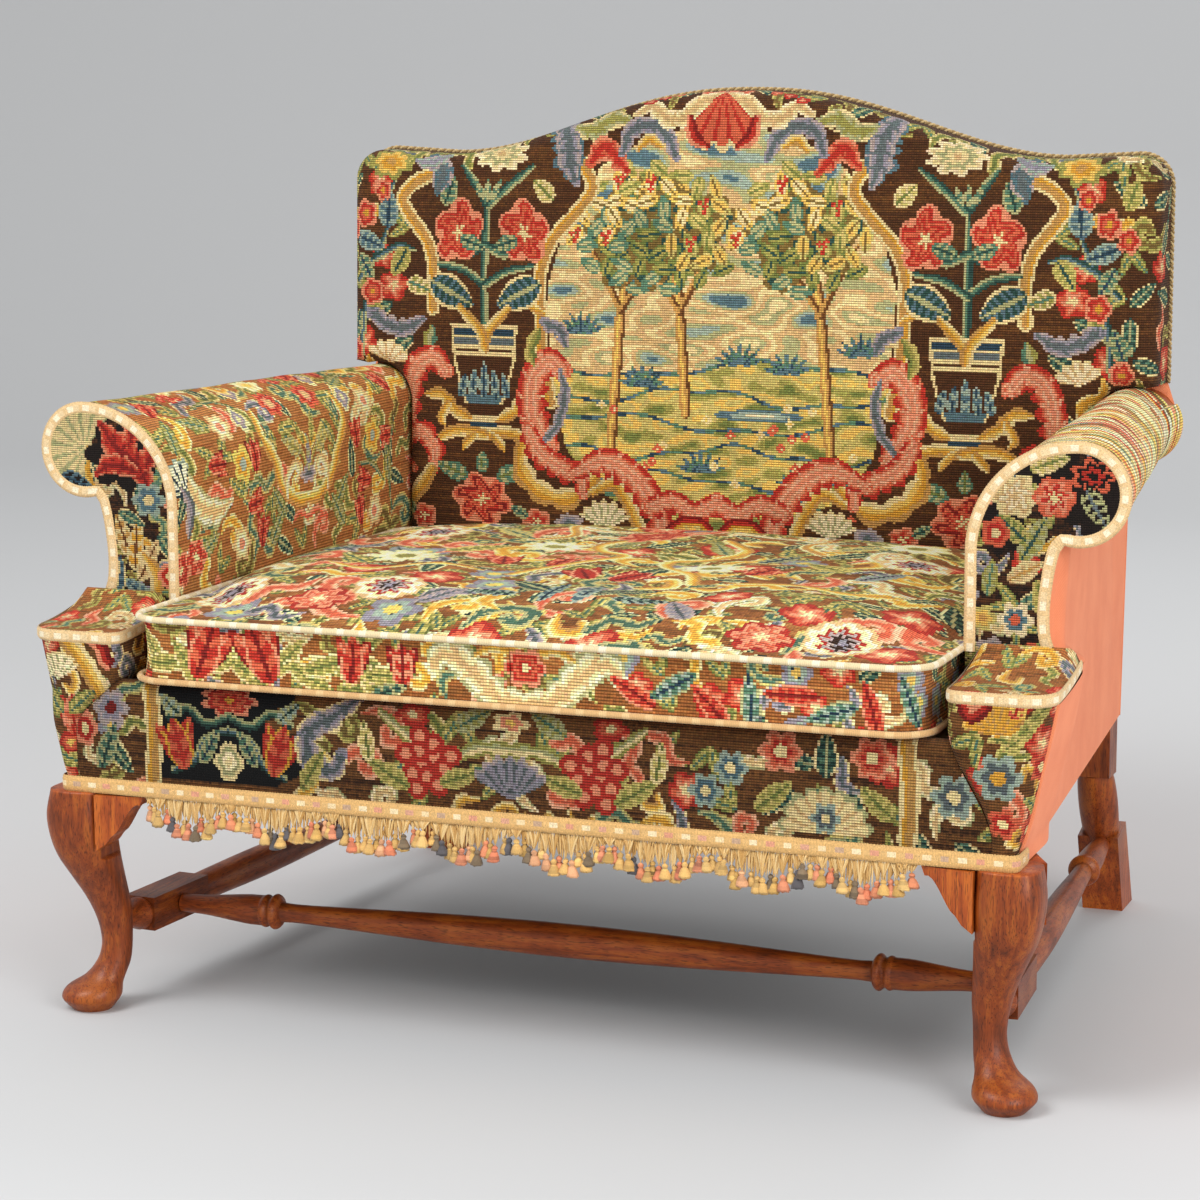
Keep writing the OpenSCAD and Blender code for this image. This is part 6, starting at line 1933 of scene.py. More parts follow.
@dataclass
class Studio:
    """Floor, lamps and the camera at the photograph's viewing angle."""

    eye: tuple[float, float, float] = (1.3395, -3.6678, 1.1098)
    yaw: float = math.radians(21.05)
    pitch: float = math.radians(9.644)
    tilt: float = math.radians(-0.24)
    lens_mm: float = 98.23
    sky: float = 0.7

    def build(self) -> None:
        """Builds the whole studio."""
        self.camera()
        self.floor()
        self.lights()

    def camera(self) -> None:
        """Places the camera."""
        cos_p, sin_p = math.cos(self.pitch), math.sin(self.pitch)
        ahead = Vector((-math.sin(self.yaw) * cos_p, math.cos(self.yaw) * cos_p, -sin_p))
        right = Vector((math.cos(self.yaw), math.sin(self.yaw), 0))
        up = right.cross(ahead)
        side = right * math.cos(self.tilt) + up * math.sin(self.tilt)
        top = up * math.cos(self.tilt) - right * math.sin(self.tilt)
        data = bpy.data.cameras.new("photograph")
        data.sensor_fit, data.sensor_width, data.lens = "HORIZONTAL", 36.0, self.lens_mm
        data.clip_end = 60
        made = placed("photograph", data)
        turned = Matrix((side, top, -ahead)).transposed().to_4x4()
        made.matrix_world = Matrix.Translation(self.eye) @ turned
        bpy.context.scene.camera = made

    def floor(self) -> None:
        """Builds a pale floor that curves up into the backdrop."""
        across = np.linspace(-9, 9, 37)
        run = [(-9.0, 0.0), (4.0, 0.0)]
        run += [(4 + 2.5 * math.sin(a), 2.5 - 2.5 * math.cos(a)) for a in np.linspace(0.1, math.pi / 2, 16)]
        run.append((6.5, 7.0))
        verts = [(x, y, z) for y, z in run for x in across]
        mesh = bpy.data.meshes.new("studio_floor")
        mesh.from_pydata(verts, [], grid_quads(len(run), len(across)).tolist())
        mesh.shade_smooth()
        made = placed("studio_floor", mesh)
        paper = bpy.data.materials.new("pale grey paper roll")
        paper.use_nodes = True
        shader = next(n for n in paper.node_tree.nodes if n.type == "BSDF_PRINCIPLED")
        shader.inputs["Base Color"].default_value = paint("#c9cacb")
        shader.inputs["Roughness"].default_value = 0.9
        mesh.materials.append(paper)

    def lights(self) -> None:
        """Sets a soft sky and three large lamps at a plain level."""
        world = bpy.data.worlds.new("studio")
        world.use_nodes = True
        shade = world.node_tree.nodes["Background"]
        shade.inputs[0].default_value = (1, 1, 1, 1)
        shade.inputs[1].default_value = self.sky
        bpy.context.scene.world = world
        lamps = (("key", (-2.0, -3.0, 4.2), 2.4, 142.0), ("fill", (3.6, -2.8, 2.0), 2.6, 112.0),
                 ("rim", (0.6, 3.4, 3.4), 2.2, 40.0))
        for title, spot, size, power in lamps:
            data = bpy.data.lights.new(title, "AREA")
            data.energy, data.size = power, size
            made = placed(title, data)
            made.location = spot
            made.rotation_euler = (Vector((0, 0, 0.5)) - Vector(spot)).to_track_quat("-Z", "Y").to_euler()
        bpy.context.scene.view_settings.view_transform = "Standard"


# ---------------------------------------------------------------- cloth helpers


def pushed(points: Array, amount: Array) -> Array:
    """Moves a grid's points along the grid's own normals."""
    normal = np.cross(np.gradient(points, axis=1), np.gradient(points, axis=0))
    normal /= np.maximum(np.linalg.norm(normal, axis=2), 1e-9)[..., None]
    return points + normal * amount[..., None]


def trimmed(outline: Outline, step: float, floor: float = -1e9) -> tuple[Array, Array]:
    """Fills an outline with a square grid whose edge corners lie on it.

    Args:
        outline: Closed outline.
        step: Size of a square.
        floor: Squares whose middle lies below this are left out.

    Returns:
        The points and the corner numbers of the quads.
    """
    low, high = outline.points.min(0), outline.points.max(0)
    u, v = (np.arange(low[k] - step, high[k] + 2 * step, step) for k in (0, 1))
    flat = lattice(u, v).reshape(-1, 2)
    quads = grid_quads(len(v), len(u))
    middle = flat[quads].mean(1)
    quads = quads[(outline.nearest(middle)[2] < 0) & (middle[:, 1] > floor)]
    edge = on_rim(quads, len(flat)) & (flat[:, 1] > floor + step)
    flat[edge] = outline.nearest(flat[edge])[0]
    used, quads = np.unique(quads, return_inverse=True)
    return flat[used], quads.reshape(-1, 4)


def slab(draft: Draft, front: Array, back: Array, quads: Array, flat: Array, wools: Array) -> None:
    """Adds a closed sheet: a front, a back and the edge between them.

    Args:
        draft: Draft that takes it.
        front: Points of the front, which the quads face.
        back: Points of the back.
        quads: Corner numbers of the quads.
        flat: Place of each point on the flat cloth.
        wools: Colour of all of it, or one for each quad.
    """
    count = len(front)
    edges = quads[:, [0, 1, 1, 2, 2, 3, 3, 0]].reshape(-1, 2)
    keys = edges[:, 0] * count + edges[:, 1]
    lone = edges[~np.isin(keys, edges[:, 1] * count + edges[:, 0])]
    rim = joined(lone[:, 1], lone[:, 0], lone[:, 0] + count, lone[:, 1] + count)
    whole = np.vstack([quads, quads[:, ::-1] + count, rim])
    places = np.vstack([flat, flat])[whole]
    colours = wools if len(np.shape(wools)) < 2 else np.vstack([wools, wools, wools[: len(rim)]])
    draft.sheet(np.vstack([front, back]), whole, places, colours)


def stitched(draft: Draft, points: Array, flat: Array, pattern: Pattern, ground: Shades, seed: int) -> None:
    """Adds a grid of needlework with its pattern.

    Args:
        draft: Draft that takes it.
        points: Array of rows, columns and coordinates.
        flat: Place of each point on the flat canvas.
        pattern: Pattern that paints the canvas.
        ground: Wools of the ground.
        seed: Seed of the small irregularities.
    """
    middle = (flat[:-1, :-1] + flat[1:, 1:] + flat[:-1, 1:] + flat[1:, :-1]) / 4
    draft.grid(points, worked(pattern, middle, ground, seed), flat)


# ---------------------------------------------------------------- sub-assemblies


@dataclass
class SidePart:
    """A part that stands on both sides of the settee."""

    side: int
    finishes: Finishes

    @property
    def word(self) -> str:
        """Side as the CAD names have it."""
        return "right" if self.side > 0 else "left"


@dataclass
class Arm(SidePart):
    """One scrolled arm: stuffing, needlework cover, facing with its braid, and the plain outside."""

    stitch: float = 3.5
    columns: int = 172
    front_y: float = 120.4
    rear_y: float = 829.2
    post_front_y: float = 786.9
    batten_x: float = 553.0
    facing_stitch: float = 2.5
    braid_w: float = 13.5
    plain_step: float = 7.0

    def build(self) -> None:
        """Builds all of the arm."""
        self.cover()
        self.stuffing()
        self.facing()
        self.outside()

    def cover(self) -> None:
        """Stretches the needlework from the seat up the inside and round the roll."""
        share = np.linspace(0, 1, self.columns + 1)
        stations = np.append(np.linspace(self.front_y, SHAPE.arm_end_y, 16), self.rear_y)
        paths = [SHAPE.arm_path(y) for y in stations]
        held = np.array([resample(p, share) for p in paths])
        span = np.array([lengths_along(p)[-1] for p in paths])
        first = int(np.argmax(held[-1, :, 0] > self.batten_x))
        end = np.where(np.arange(self.columns + 1) < first, self.post_front_y, self.rear_y)
        rows = round((self.rear_y - self.front_y) / self.stitch)
        depth = lerp(self.front_y, end[None], np.linspace(0, 1, rows + 1)[:, None])
        points = np.empty((rows + 1, self.columns + 1, 3))
        flat = np.empty((rows + 1, self.columns + 1, 2))
        for j in range(self.columns + 1):
            y = depth[:, j]
            points[:, j] = joined(np.interp(y, stations, held[:, j, 0]), y,
                                  np.interp(y, stations, held[:, j, 1]))
            flat[:, j] = joined(y, share[j] * np.interp(y, stations, span))
        hold = ease((depth - self.front_y) / 30)
        points = pushed(points, -0.9 + 0.9 * hold * ripples(points, 85, 40 + self.side))
        draft = Draft()
        stitched(draft, points, flat, ArmPattern(self.side), (RUST, COPPER, RUST), 51 + self.side)
        piece = draft.build("arm_needlework_" + self.word, self.finishes.needlework, "arm_needlework",
                            "frame", ["arm_cover_" + self.word], self.side, self.stitch)

    def stuffing(self) -> None:
        """Packs the hair wadding under the cover."""
        share = np.linspace(0, 1, 61)
        rings = []
        for y in (148.7, 149.7, *np.linspace(160, 775, 40), 785.5, 786.5):
            inset = 5.8 if 149 < y < 786 else 9.0
            outer = resample(SHAPE.arm_path(y, inset, 417.5), share)
            inner = resample(SHAPE.arm_path(y, 24.0, 417.5), share)[::-1]
            ring = np.vstack([outer, inner])
            rings.append(joined(ring[:, 0], y, ring[:, 1]))
        points = np.array(rings)
        points += 0.7 * ripples(points, 22, 7)[..., None] * (1, 0, 1)
        ends = [np.tile(points[k].mean(0), (1, points.shape[1], 1)) for k in (0, -1)]
        rings = np.concatenate([ends[0], points, ends[1]])
        draft = Draft()
        draft.grid(rings, linear("#5c4b3a"), wrap=True)
        piece = draft.build("arm_stuffing_wad_" + self.word, self.finishes.horsehair, "stuffing", "frame",
                            ["arm_stuffing_" + self.word], self.side, 3.0)

    def facing(self) -> None:
        """Covers the scroll-shaped front and edges it with braid."""
        outline = Outline(SHAPE.facing_outline(0.3)[::-1])
        flat, quads = trimmed(outline, self.facing_stitch, 454.0)
        deep = outline.depth(flat, 34)
        swell = 3.4 * (1 - (1 - deep) ** 2) + 0.4 * deep * ripples(flat, 60, 9)
        points = joined(flat[:, 0], 120.4 - swell, flat[:, 1])
        wools = worked(FacingPattern(self.side), flat[quads].mean(1), (BROWN, BLACK, BROWN), 61 + self.side)
        draft = Draft()
        draft.sheet(points, quads, flat[quads], wools)
        piece = draft.build("arm_facing_needlework_" + self.word, self.finishes.needlework, "arm_needlework",
                            "frame", ["arm_facing_" + self.word], self.side, self.facing_stitch)
        edge = SHAPE.facing_outline(-1.0)
        edge = resample(edge, np.linspace(0, 1, int(lengths_along(edge)[-1] / 1.3)))
        ahead = np.gradient(edge, axis=0)
        ahead = joined(*(np.convolve(np.pad(way, 6, "edge"), np.ones(13) / 13, "valid") for way in ahead.T))
        kept = edge[:, 1] > 470.5
        edge, ahead = edge[kept], units(ahead)[kept]
        path = joined(edge[:, 0], 119.6, edge[:, 1])
        across = joined(ahead[:, 1], 0.0, -ahead[:, 0])
        out = np.tile((0.0, -1.0, 0.0), (len(edge), 1))
        trim = Draft()
        Braid(self.braid_w).lay(trim, path, across, out, 71 + self.side)
        braid = trim.build("arm_braid_weave_" + self.word, self.finishes.yarn, "block_woven_braid", "frame",
                           ["arm_braid_" + self.word], self.side, 1.7)

    def outside(self) -> None:
        """Stretches the plain cloth over the outside, down to the rail."""
        draft = Draft()
        split = SHAPE.facing_y
        for ys in (np.linspace(24, split, 15), np.linspace(split, 831.7, 102)):
            tops = [439 + 16 * (y / split) ** 2 if ys[0] < split else SHAPE.neck_z - 2 for y in ys]
            rows = round((max(tops) - SHAPE.rail_z) / self.plain_step)
            points = np.array([[(SHAPE.outside_x(y, z), y, z) for y, top in zip(ys, tops, strict=True)
                                for z in (lerp(SHAPE.rail_z, top, share),)]
                               for share in np.linspace(0, 1, rows + 1)])
            drag = points * (1.0, 0.42, 1.0)
            if ys[0] >= split:
                z, y = points[..., 2], points[..., 1]
                held = (1 - ease((y - split) / 60)) ** 1.3 * ease((z - 468) / 14)
                points[..., 0] = lerp(points[..., 0], SHAPE.foot_x(z) + 0.8, held)
            fixed = np.minimum(ease((points[..., 2] - 290) / 60), ease((SHAPE.neck_z - points[..., 2]) / 50))
            fixed = np.minimum(fixed, ease((831.7 - points[..., 1]) / 60))
            points = pushed(points, 0.8 * fixed * ripples(drag, 110, 14 + self.side) - 0.6)
            if ys[0] < split:
                points = np.concatenate([points[:, :1] + (-4.2, 0.4, 0), points], axis=1)
            flat = points[..., 1:].copy()
            flat[:, 0, 0] -= 4.2 * (ys[0] < split)
            draft.grid(points, linear("#dd6a50"), flat)
        piece = draft.build("outside_arm_cloth_" + self.word, self.finishes.coral, "coral_cloth", "frame",
                            ["outside_arm_cover_" + self.word], self.side, 1.6)


@dataclass
class FrontBlock(SidePart):
    """Needlework block over a front leg, with braid round its top."""

    stitch: float = 3.0
    side_end_y: float = 42.0
    low_z: float = 266.0
    braid_w: float = 13.0

    def build(self) -> None:
        """Covers the block's sides and top and lays the braid."""
        draft = Draft()
        self.sides(draft)
        self.top(draft)
        piece = draft.build("block_needlework_" + self.word, self.finishes.needlework, "block_needlework",
                            "frame", ["block_cover_" + self.word], self.side, self.stitch)
        ring = SHAPE.block_ring(SHAPE.block_z, SHAPE.facing_y - 0.3)
        ring = resample(ring, np.linspace(0, 1, int(lengths_along(ring)[-1] / 1.3)))
        ahead = tangents(ring)
        out = joined(ahead[:, 1], -ahead[:, 0], 0.0)
        z = SHAPE.block_z + 16 * np.clip(ring[:, 1] / 119.7, 0, 1) ** 2 + 1.5
        path = joined(ring[:, 0], ring[:, 1], z) + 0.2 * out
        across = np.tile((0.0, 0.0, -1.0), (len(path), 1))
        trim = Draft()
        Braid(self.braid_w, 24.0, 9.0).lay(trim, path, across, out, 75 + self.side)
        braid = trim.build("block_braid_weave_" + self.word, self.finishes.yarn, "block_woven_braid", "frame",
                           ["block_braid_" + self.word], self.side, 1.7)

    def sides(self, draft: Draft) -> None:
        """Adds the sides, in stitches counted from the outer edge inwards."""
        heights = np.linspace(self.low_z, SHAPE.block_z, 63)
        rings = [SHAPE.block_ring(z, self.side_end_y, self.side)[::-1] for z in heights]
        longest = max(lengths_along(r)[-1] for r in rings)
        steps = np.arange(0, longest + self.stitch, self.stitch)
        points, flat = [], []
        for z, ring in zip(heights, rings, strict=True):
            walked = lengths_along(ring)
            d = np.minimum(steps, walked[-1])
            x, y = (np.interp(d, walked, ring[:, k]) for k in (0, 1))
            x1 = SHAPE.block_out(z) - 3.7
            r1 = min(34.0, (x1 - SHAPE.block_edge(z, self.side)) * 0.45)
            corner = self.side_end_y - ring[:, 1].min() - r1 + math.pi / 2 * r1
            points.append(joined(x, y, z))
            flat.append(joined(corner + x1 - r1 - d, z))
        points, flat = np.array(points), np.array(flat)
        quads = grid_quads(*points.shape[:2])
        spots = points.reshape(-1, 3)
        wide = np.linalg.norm(spots[quads[:, 0]] - spots[quads[:, 1]], axis=1)
        wide += np.linalg.norm(spots[quads[:, 2]] - spots[quads[:, 3]], axis=1)
        quads = quads[wide > 0.02]
        corners = flat.reshape(-1, 2)[quads]
        wools = worked(BlockPattern(self.side), corners.mean(1), (UMBER, HAZEL, UMBER), 91 + self.side)
        lumps = 0.7 * ripples(spots, 55, 3) * ease((spots[:, 2] - 270) / 40)
        spots = spots + joined(0.0, lumps, 0.0)
        draft.sheet(spots, quads, corners, wools, flip=True)

    def top(self, draft: Draft) -> None:
        """Adds the top, which rises to the facing."""
        outline = Outline(SHAPE.block_ring(SHAPE.block_z, SHAPE.facing_y - 0.3))
        flat, quads = trimmed(outline, self.stitch)
        dome = outline.depth(flat, 18)
        deep = np.clip(flat[:, 1] / 119.7, 0, 1)
        z = SHAPE.block_z + 16 * deep**2 + (2.2 + 26 * deep**3.2) * (1 - (1 - dome) ** 2)
        middle = flat[quads].mean(1)
        canvas = Canvas(middle[:, 0], SHAPE.block_z + middle[:, 1], (HAZEL, RUST, UMBER), 95)
        Meadow.fill(canvas, (470, 440, 610, 590), 38, 96 + self.side, (8, 9, 6, 4, 8, 2))
        points = np.column_stack([flat, z])
        draft.sheet(points, quads, flat[quads] + (0, 480), canvas.finish())


@dataclass
class Back:
    """Camel back: stuffing, needlework folded round its edge, cord and plain outside."""

    finishes: Finishes
    stitch: float = 3.0
    edge_r: float = 22.0
    crown: float = 12.0
    crown_reach: float = 260.0
    rim_y: float = 822.9
    cord_y: float = 826.2

    def build(self) -> None:
        """Builds all of the back."""
        self.cover()
        self.stuffing()
        self.outside()

    def face_y(self, z: Array, inside: Array) -> Array:
        """Depth of the crowned face at a height and a distance from the edge."""
        share = 1 - np.clip(inside, 0, self.crown_reach) / self.crown_reach
        swell = self.crown * (1 - share**2) * np.clip((z - SHAPE.cushion_z) / 60, 0, 1)
        return SHAPE.back_y(z) - swell

    def cover(self) -> None:
        """Folds the flat needlework over the pad's edge to its rear."""
        outline = Outline(SHAPE.back_outline(0.0))
        half = round(620 / self.stitch)
        u = np.arange(-half, half + 1) * self.stitch
        v = np.arange(300, 1130, self.stitch)
        flat = lattice(u, v).reshape(-1, 2)
        quads = grid_quads(len(v), len(u))
        spot, normal, signed = outline.nearest(flat)
        quarter = self.edge_r * math.pi / 2

        def limits(where: Array) -> Array:
            """Length of cloth from the fold's start to its end."""
            deep = self.rim_y - self.face_y(where[:, 1], np.zeros(len(where))) - self.edge_r
            free = (where[:, 1] >= 688) | (np.abs(where[:, 0]) > 528)
            return np.where(free, quarter + deep, quarter + 4)

        limit = limits(spot)
        reached = signed + self.edge_r
        quads = quads[(reached - limit)[quads].mean(1) <= 0]
        edge = on_rim(quads, len(flat))
        reached[edge] = limit[edge]
        signed = reached - self.edge_r
        flat[edge] = (spot + normal * signed[:, None])[edge]
        used, quads = np.unique(quads, return_inverse=True)
        quads = quads.reshape(-1, 4)
        flat, spot, normal, reached = flat[used], spot[used], normal[used], reached[used]
        turn = np.clip(reached / self.edge_r, 0, math.pi / 2)
        face = self.face_y(flat[:, 1], self.edge_r - reached)
        rim = self.face_y(spot[:, 1], np.full(len(spot), self.edge_r))
        base = np.where(reached <= 0, face, rim)
        plane = np.where((reached <= 0)[:, None], flat,
                         spot + normal * (self.edge_r * (np.sin(turn) - 1))[:, None])
        y = base + self.edge_r * (1 - np.cos(turn)) + np.clip(reached - quarter, 0, None)
        points = joined(plane[:, 0], y, plane[:, 1])
        calm = np.clip(-reached / 30, 0, 1)
        points[:, 1] += 0.8 * calm * ripples(flat, 110, 21) + 1.2
        middle = flat[quads].mean(1)
        reach = middle[:, 1] - 8 * ease((middle[:, 1] - 830) / 150)
        wools = worked(BackPattern(), joined(middle[:, 0] * 0.985, reach), (BROWN, BROWN, UMBER), 31)
        draft = Draft()
        draft.sheet(points, quads, flat[quads], wools)
        piece = draft.build("back_needlework", self.finishes.needlework, "back_needlework", "frame",
                            ["back_cover"], 1, self.stitch)
        trim = Draft()
        whole = mirrored(SHAPE.upper_outline(-1.6))
        path = joined(whole[:, 0], self.cord_y, whole[:, 1])
        TwistedCord(6.0, 11.0, ("#c9ad78", "#9c7f50")).lay(trim, path, False, np.array((0.0, 1.0, 0.0)))
        cord = trim.build("back_cord_twist", self.finishes.yarn, "twisted_cord", "frame", ["back_cord"], 1,
                          2.0)

    def stuffing(self) -> None:
        """Packs the back's pad."""
        outline = Outline(SHAPE.back_outline(15.6), 4.0)
        flat, quads = trimmed(outline, 12.0)
        deep = -outline.nearest(flat)[2]
        front = 742.5 + 24 / 651 * (flat[:, 1] - 399) - 4 * np.clip(deep / 100, 0, 1) + ripples(flat, 40, 4)
        front += 10 * (1 - np.clip(deep / 12, 0, 1))
        draft = Draft()
        slab(draft, joined(flat[:, 0], front, flat[:, 1]), joined(flat[:, 0], 783.6, flat[:, 1]), quads, flat,
             linear("#5c4b3a"))
        piece = draft.build("back_wadding", self.finishes.horsehair, "stuffing", "frame", ["back_stuffing"],
                            1, 3.0)

    def outside(self) -> None:
        """Stretches the plain cloth over the rear."""
        scroll = arc(511, 639, 49, np.radians(np.linspace(-105, -6, 16)))
        foot = [(SHAPE.outside_x(831.0, z) + 0.3, z) for z in np.linspace(265, 592, 12)]
        side = np.vstack([foot, scroll[scroll[:, 0] > 494], [(541.0, 690.0)], SHAPE.upper_outline(1.5)])
        outline = Outline(mirrored(side))
        flat, quads = trimmed(outline, 7.0)
        deep = outline.depth(flat, 60)
        y = 831.4 - 0.25 * deep * (1 + ripples(flat * (1, 0.5), 90, 17))
        draft = Draft()
        slab(draft, joined(flat[:, 0], 829.6 - 2 * deep, flat[:, 1]), joined(flat[:, 0], y, flat[:, 1]),
             quads, flat, linear("#dd6a50"))
        piece = draft.build("outside_back_cloth", self.finishes.coral, "coral_cloth", "frame",
                            ["outside_back_cover"], 1, 1.6)


@dataclass
class SeatFront:
    """Needlework on the front rail, with the gimp and the tasselled fringe under it."""

    finishes: Finishes
    stitch: float = 3.0
    bend_r: float = 12.0
    top_z: float = 386.0
    gimp_half: float = 562.3
    gimp_y: float = -4.6

    def build(self) -> None:
        """Covers the rail and hangs its trims."""
        high = np.linspace(SHAPE.rail_z, self.top_z, 41)
        turn = np.linspace(0, math.pi / 2, 8)[1:]
        ys = np.append(-3.0 * np.sin(math.pi * (high - 265) / 121) ** 0.8, self.bend_r * (1 - np.cos(turn)))
        zs = np.append(high, self.top_z + 12.1 * np.sin(turn))
        vs = np.append(high, self.top_z + self.bend_r * turn)
        u = np.arange(-546, 546.1, self.stitch)
        left, right = (np.array([SHAPE.block_edge(z, side) for z in zs]) for side in (-1, 1))
        tuck = SHAPE.gap + 1.6
        x = np.clip(u[None], -left[:, None] - tuck, right[:, None] + tuck)
        points = joined(x, ys[:, None], zs[:, None])
        under = np.maximum(x - right[:, None], -left[:, None] - x) / tuck
        points[..., 1] += 2.4 * ease(under * 0.6 + 0.4)
        points[..., 1] += 0.7 * ripples(points, 70, 5) * np.clip((400 - points[..., 2]) / 60, 0, 1)
        flat = joined(x, vs[:, None])
        draft = Draft()
        stitched(draft, points, flat, RailPattern(), (BROWN, HAZEL, UMBER), 35)
        piece = draft.build("rail_needlework", self.finishes.needlework, "rail_needlework", "frame",
                            ["front_rail_cover"], 1, self.stitch)
        r = 10.0
        left, right = np.linspace(math.pi, 1.5 * math.pi, 10), np.linspace(1.5 * math.pi, 2 * math.pi, 10)
        plan = np.vstack([(-self.gimp_half, 39.4), arc(-self.gimp_half + r, self.gimp_y + r, r, left),
                          arc(self.gimp_half - r, self.gimp_y + r, r, right), (self.gimp_half, 39.4)])
        plan = resample(plan, np.linspace(0, 1, 980))
        ahead = tangents(plan)
        path = joined(*plan.T, 265.6)
        out = joined(ahead[:, 1], -ahead[:, 0], 0.0)
        trim = Draft()
        Braid(17.4, 19.0, 9.5, "#dcae6c", "#e4ba7c",
              ("#f0d9ac", "#d9a084", "#efd4a4", "#c4a184", "#f2dcb2", "#dd9a7c"), 2.0, 4).lay(
            trim, path, np.tile((0.0, 0.0, 1.0), (len(path), 1)), out, 79)
        gimp = trim.build("gimp_weave", self.finishes.yarn, "gold_gimp", "frame", ["bottom_gimp"], 1, 1.7)
        hung = Draft()
        Fringe().lay(hung)
        fringe = hung.build("fringe_tassels", self.finishes.yarn, "tassel_fringe", "frame", ["fringe"], 1,
                            1.1)
        LOG.info("fringe %.2f m2 of yarn", hung.flat_area)


@dataclass
class Cushion:
    """Loose seat cushion: crowned needlework top, border, plain underside and two cords."""

    finishes: Finishes
    stitch: float = 3.5
    front_y: float = -11.7
    rear_y: float = 718.0
    front_half: float = 462.7
    rear_half: float = 453.9
    front_r: float = 40.0
    rear_r: float = 24.0
    draw_in: float = 4.0
    cell: float = 14.0
    pressure: float = 4.0
    cap: float = 7.0

    def half(self, y: Array) -> Array:
        """Half width at depth y, before the corners are rounded."""
        return lerp(self.front_half, self.rear_half, np.clip((y - 120) / (self.rear_y - 120), 0, 1))

    def rim(self, out: float = 0.0) -> Array:
        """Closed plan of the cushion, anticlockwise from the front's middle, grown by out."""
        f, b = self.front_half, self.rear_half
        front = np.linspace(-math.pi / 2, 0, 18)
        rear = np.linspace(0, math.pi / 2, 14)
        right = np.vstack([(0, self.front_y - out),
                           arc(f - self.front_r, self.front_y + self.front_r, self.front_r + out, front),
                           (f + out, 120.0),
                           arc(b - self.rear_r, self.rear_y - self.rear_r, self.rear_r + out, rear),
                           (0, self.rear_y + out)])
        return np.vstack([right, right[::-1][1:-1] * (-1, 1)])

    def start_crown(self, x: Array, y: Array) -> Array:
        """Rise of the top before it is blown up."""
        across = np.abs(x) / self.half(y)
        along = np.abs(y - (self.front_y + self.rear_y) / 2) / ((self.rear_y - self.front_y) / 2)
        s = np.clip((across**3.2 + along**3.2) ** (1 / 3.2), 0, 1)
        return SHAPE.crown_h * (1 - s ** lerp(5, 16, np.clip((y - self.front_y) / 160, 0, 1)))

    def build(self) -> None:
        """Sews the cushion and fills it."""
        rise = self.swell()
        draft = Draft()
        outline = Outline(self.rim(), 2.5)
        flat, quads = trimmed(outline, self.stitch)
        z = SHAPE.cushion_top + rise(flat)
        z += (2.2 * ripples(flat, 190, 11) - 1.4) * ease(-outline.nearest(flat)[2] / 110)
        wools = worked(SeatPattern(), flat[quads].mean(1), (HAZEL, RUST, COPPER), 41)
        draft.sheet(joined(*flat.T, z), quads, flat[quads], wools)
        self.border(draft)
        low, under = trimmed(outline, 14.0)
        draft.sheet(joined(*low.T, SHAPE.cushion_z), under, low[under] + (0, 900), linear("#b5502f"),
                    flip=True)
        piece = draft.build("cushion_needlework", self.finishes.needlework, "seat_needlework", "cushion",
                            ["seat_cushion"], 1, self.stitch)
        trim = Draft()
        ring = self.rim(4.3)
        for z, colours in ((SHAPE.cushion_z + 4, ("#e2bd86", "#d6aa72")),
                           (SHAPE.cushion_top, ("#f3e6c8", "#e6d1a3"))):
            cord = TwistedCord(8.0, 4.4, colours, steps=4, covered=True)
            cord.lay(trim, joined(*ring.T, z), True, np.array((0.0, 0.0, 1.0)))
        trim.build("cushion_cord_twist", self.finishes.yarn, "twisted_cord", "cushion", ["cushion_cords"], 1,
                   2.2)

    def border(self, draft: Draft) -> None:
        """Adds the border, drawn in between its cords."""
        closed = np.vstack([self.rim(), self.rim()[:1]])
        walked = lengths_along(closed)[-1]
        count = round(walked / self.stitch)
        ring = resample(closed, np.linspace(0, 1, count + 1))
        ahead = np.gradient(ring, axis=0)
        ahead[0] = ahead[-1] = ring[1] - ring[-2]
        normal = joined(ahead[:, 1], -ahead[:, 0]) / np.linalg.norm(ahead, axis=1)[:, None]
        shares = np.linspace(0, 1, 24)
        rows, flats = [], []
        u = np.linspace(0, walked, count + 1)
        for share in shares:
            z = lerp(SHAPE.cushion_z, SHAPE.cushion_top, share)
            inward = self.draw_in * math.sin(math.pi * share) ** 0.8
            wave = 0.9 * np.sin(u / 61 + 2 * share) * math.sin(math.pi * share)
            rows.append(joined(*(ring - normal * (inward + wave)[:, None]).T, z))
            flats.append(joined(np.where(u > walked / 2, u - walked, u), z))
        points, flat = np.array(rows), np.array(flats)
        whole = joined(u[None], flat[..., 1])
        middle = (flat[:-1, :-1] + flat[1:, :-1]) / 2
        draft.grid(points, worked(BorderPattern(), middle, (HAZEL, RUST, COPPER), 43), whole)

    def swell(self) -> Callable[[Array], Array]:
        """Blows the cushion up in a cloth simulation.

        Returns:
            A function that gives the top's rise over its cord at points in plan.
        """
        columns = round(2 * self.front_half / self.cell)
        rows = round((self.rear_y - self.front_y) / self.cell)
        y = np.linspace(self.front_y, self.rear_y, rows + 1)
        wide = self.half(y)
        for at, r in ((y - self.front_y, self.front_r), (self.rear_y - y, self.rear_r)):
            near = np.clip(r - at, 0, None)
            wide = wide - (r - np.sqrt(r * r - near * near))
        share = np.linspace(-1, 1, columns + 1)
        x = share[None] * wide[:, None]
        deep = np.broadcast_to(y[:, None], x.shape)
        start = self.start_crown(x, deep)
        rise = self.simulate(x, deep, start)
        fine = smooth_path(rise, 4)
        fine = smooth_path(fine.T, 4).T

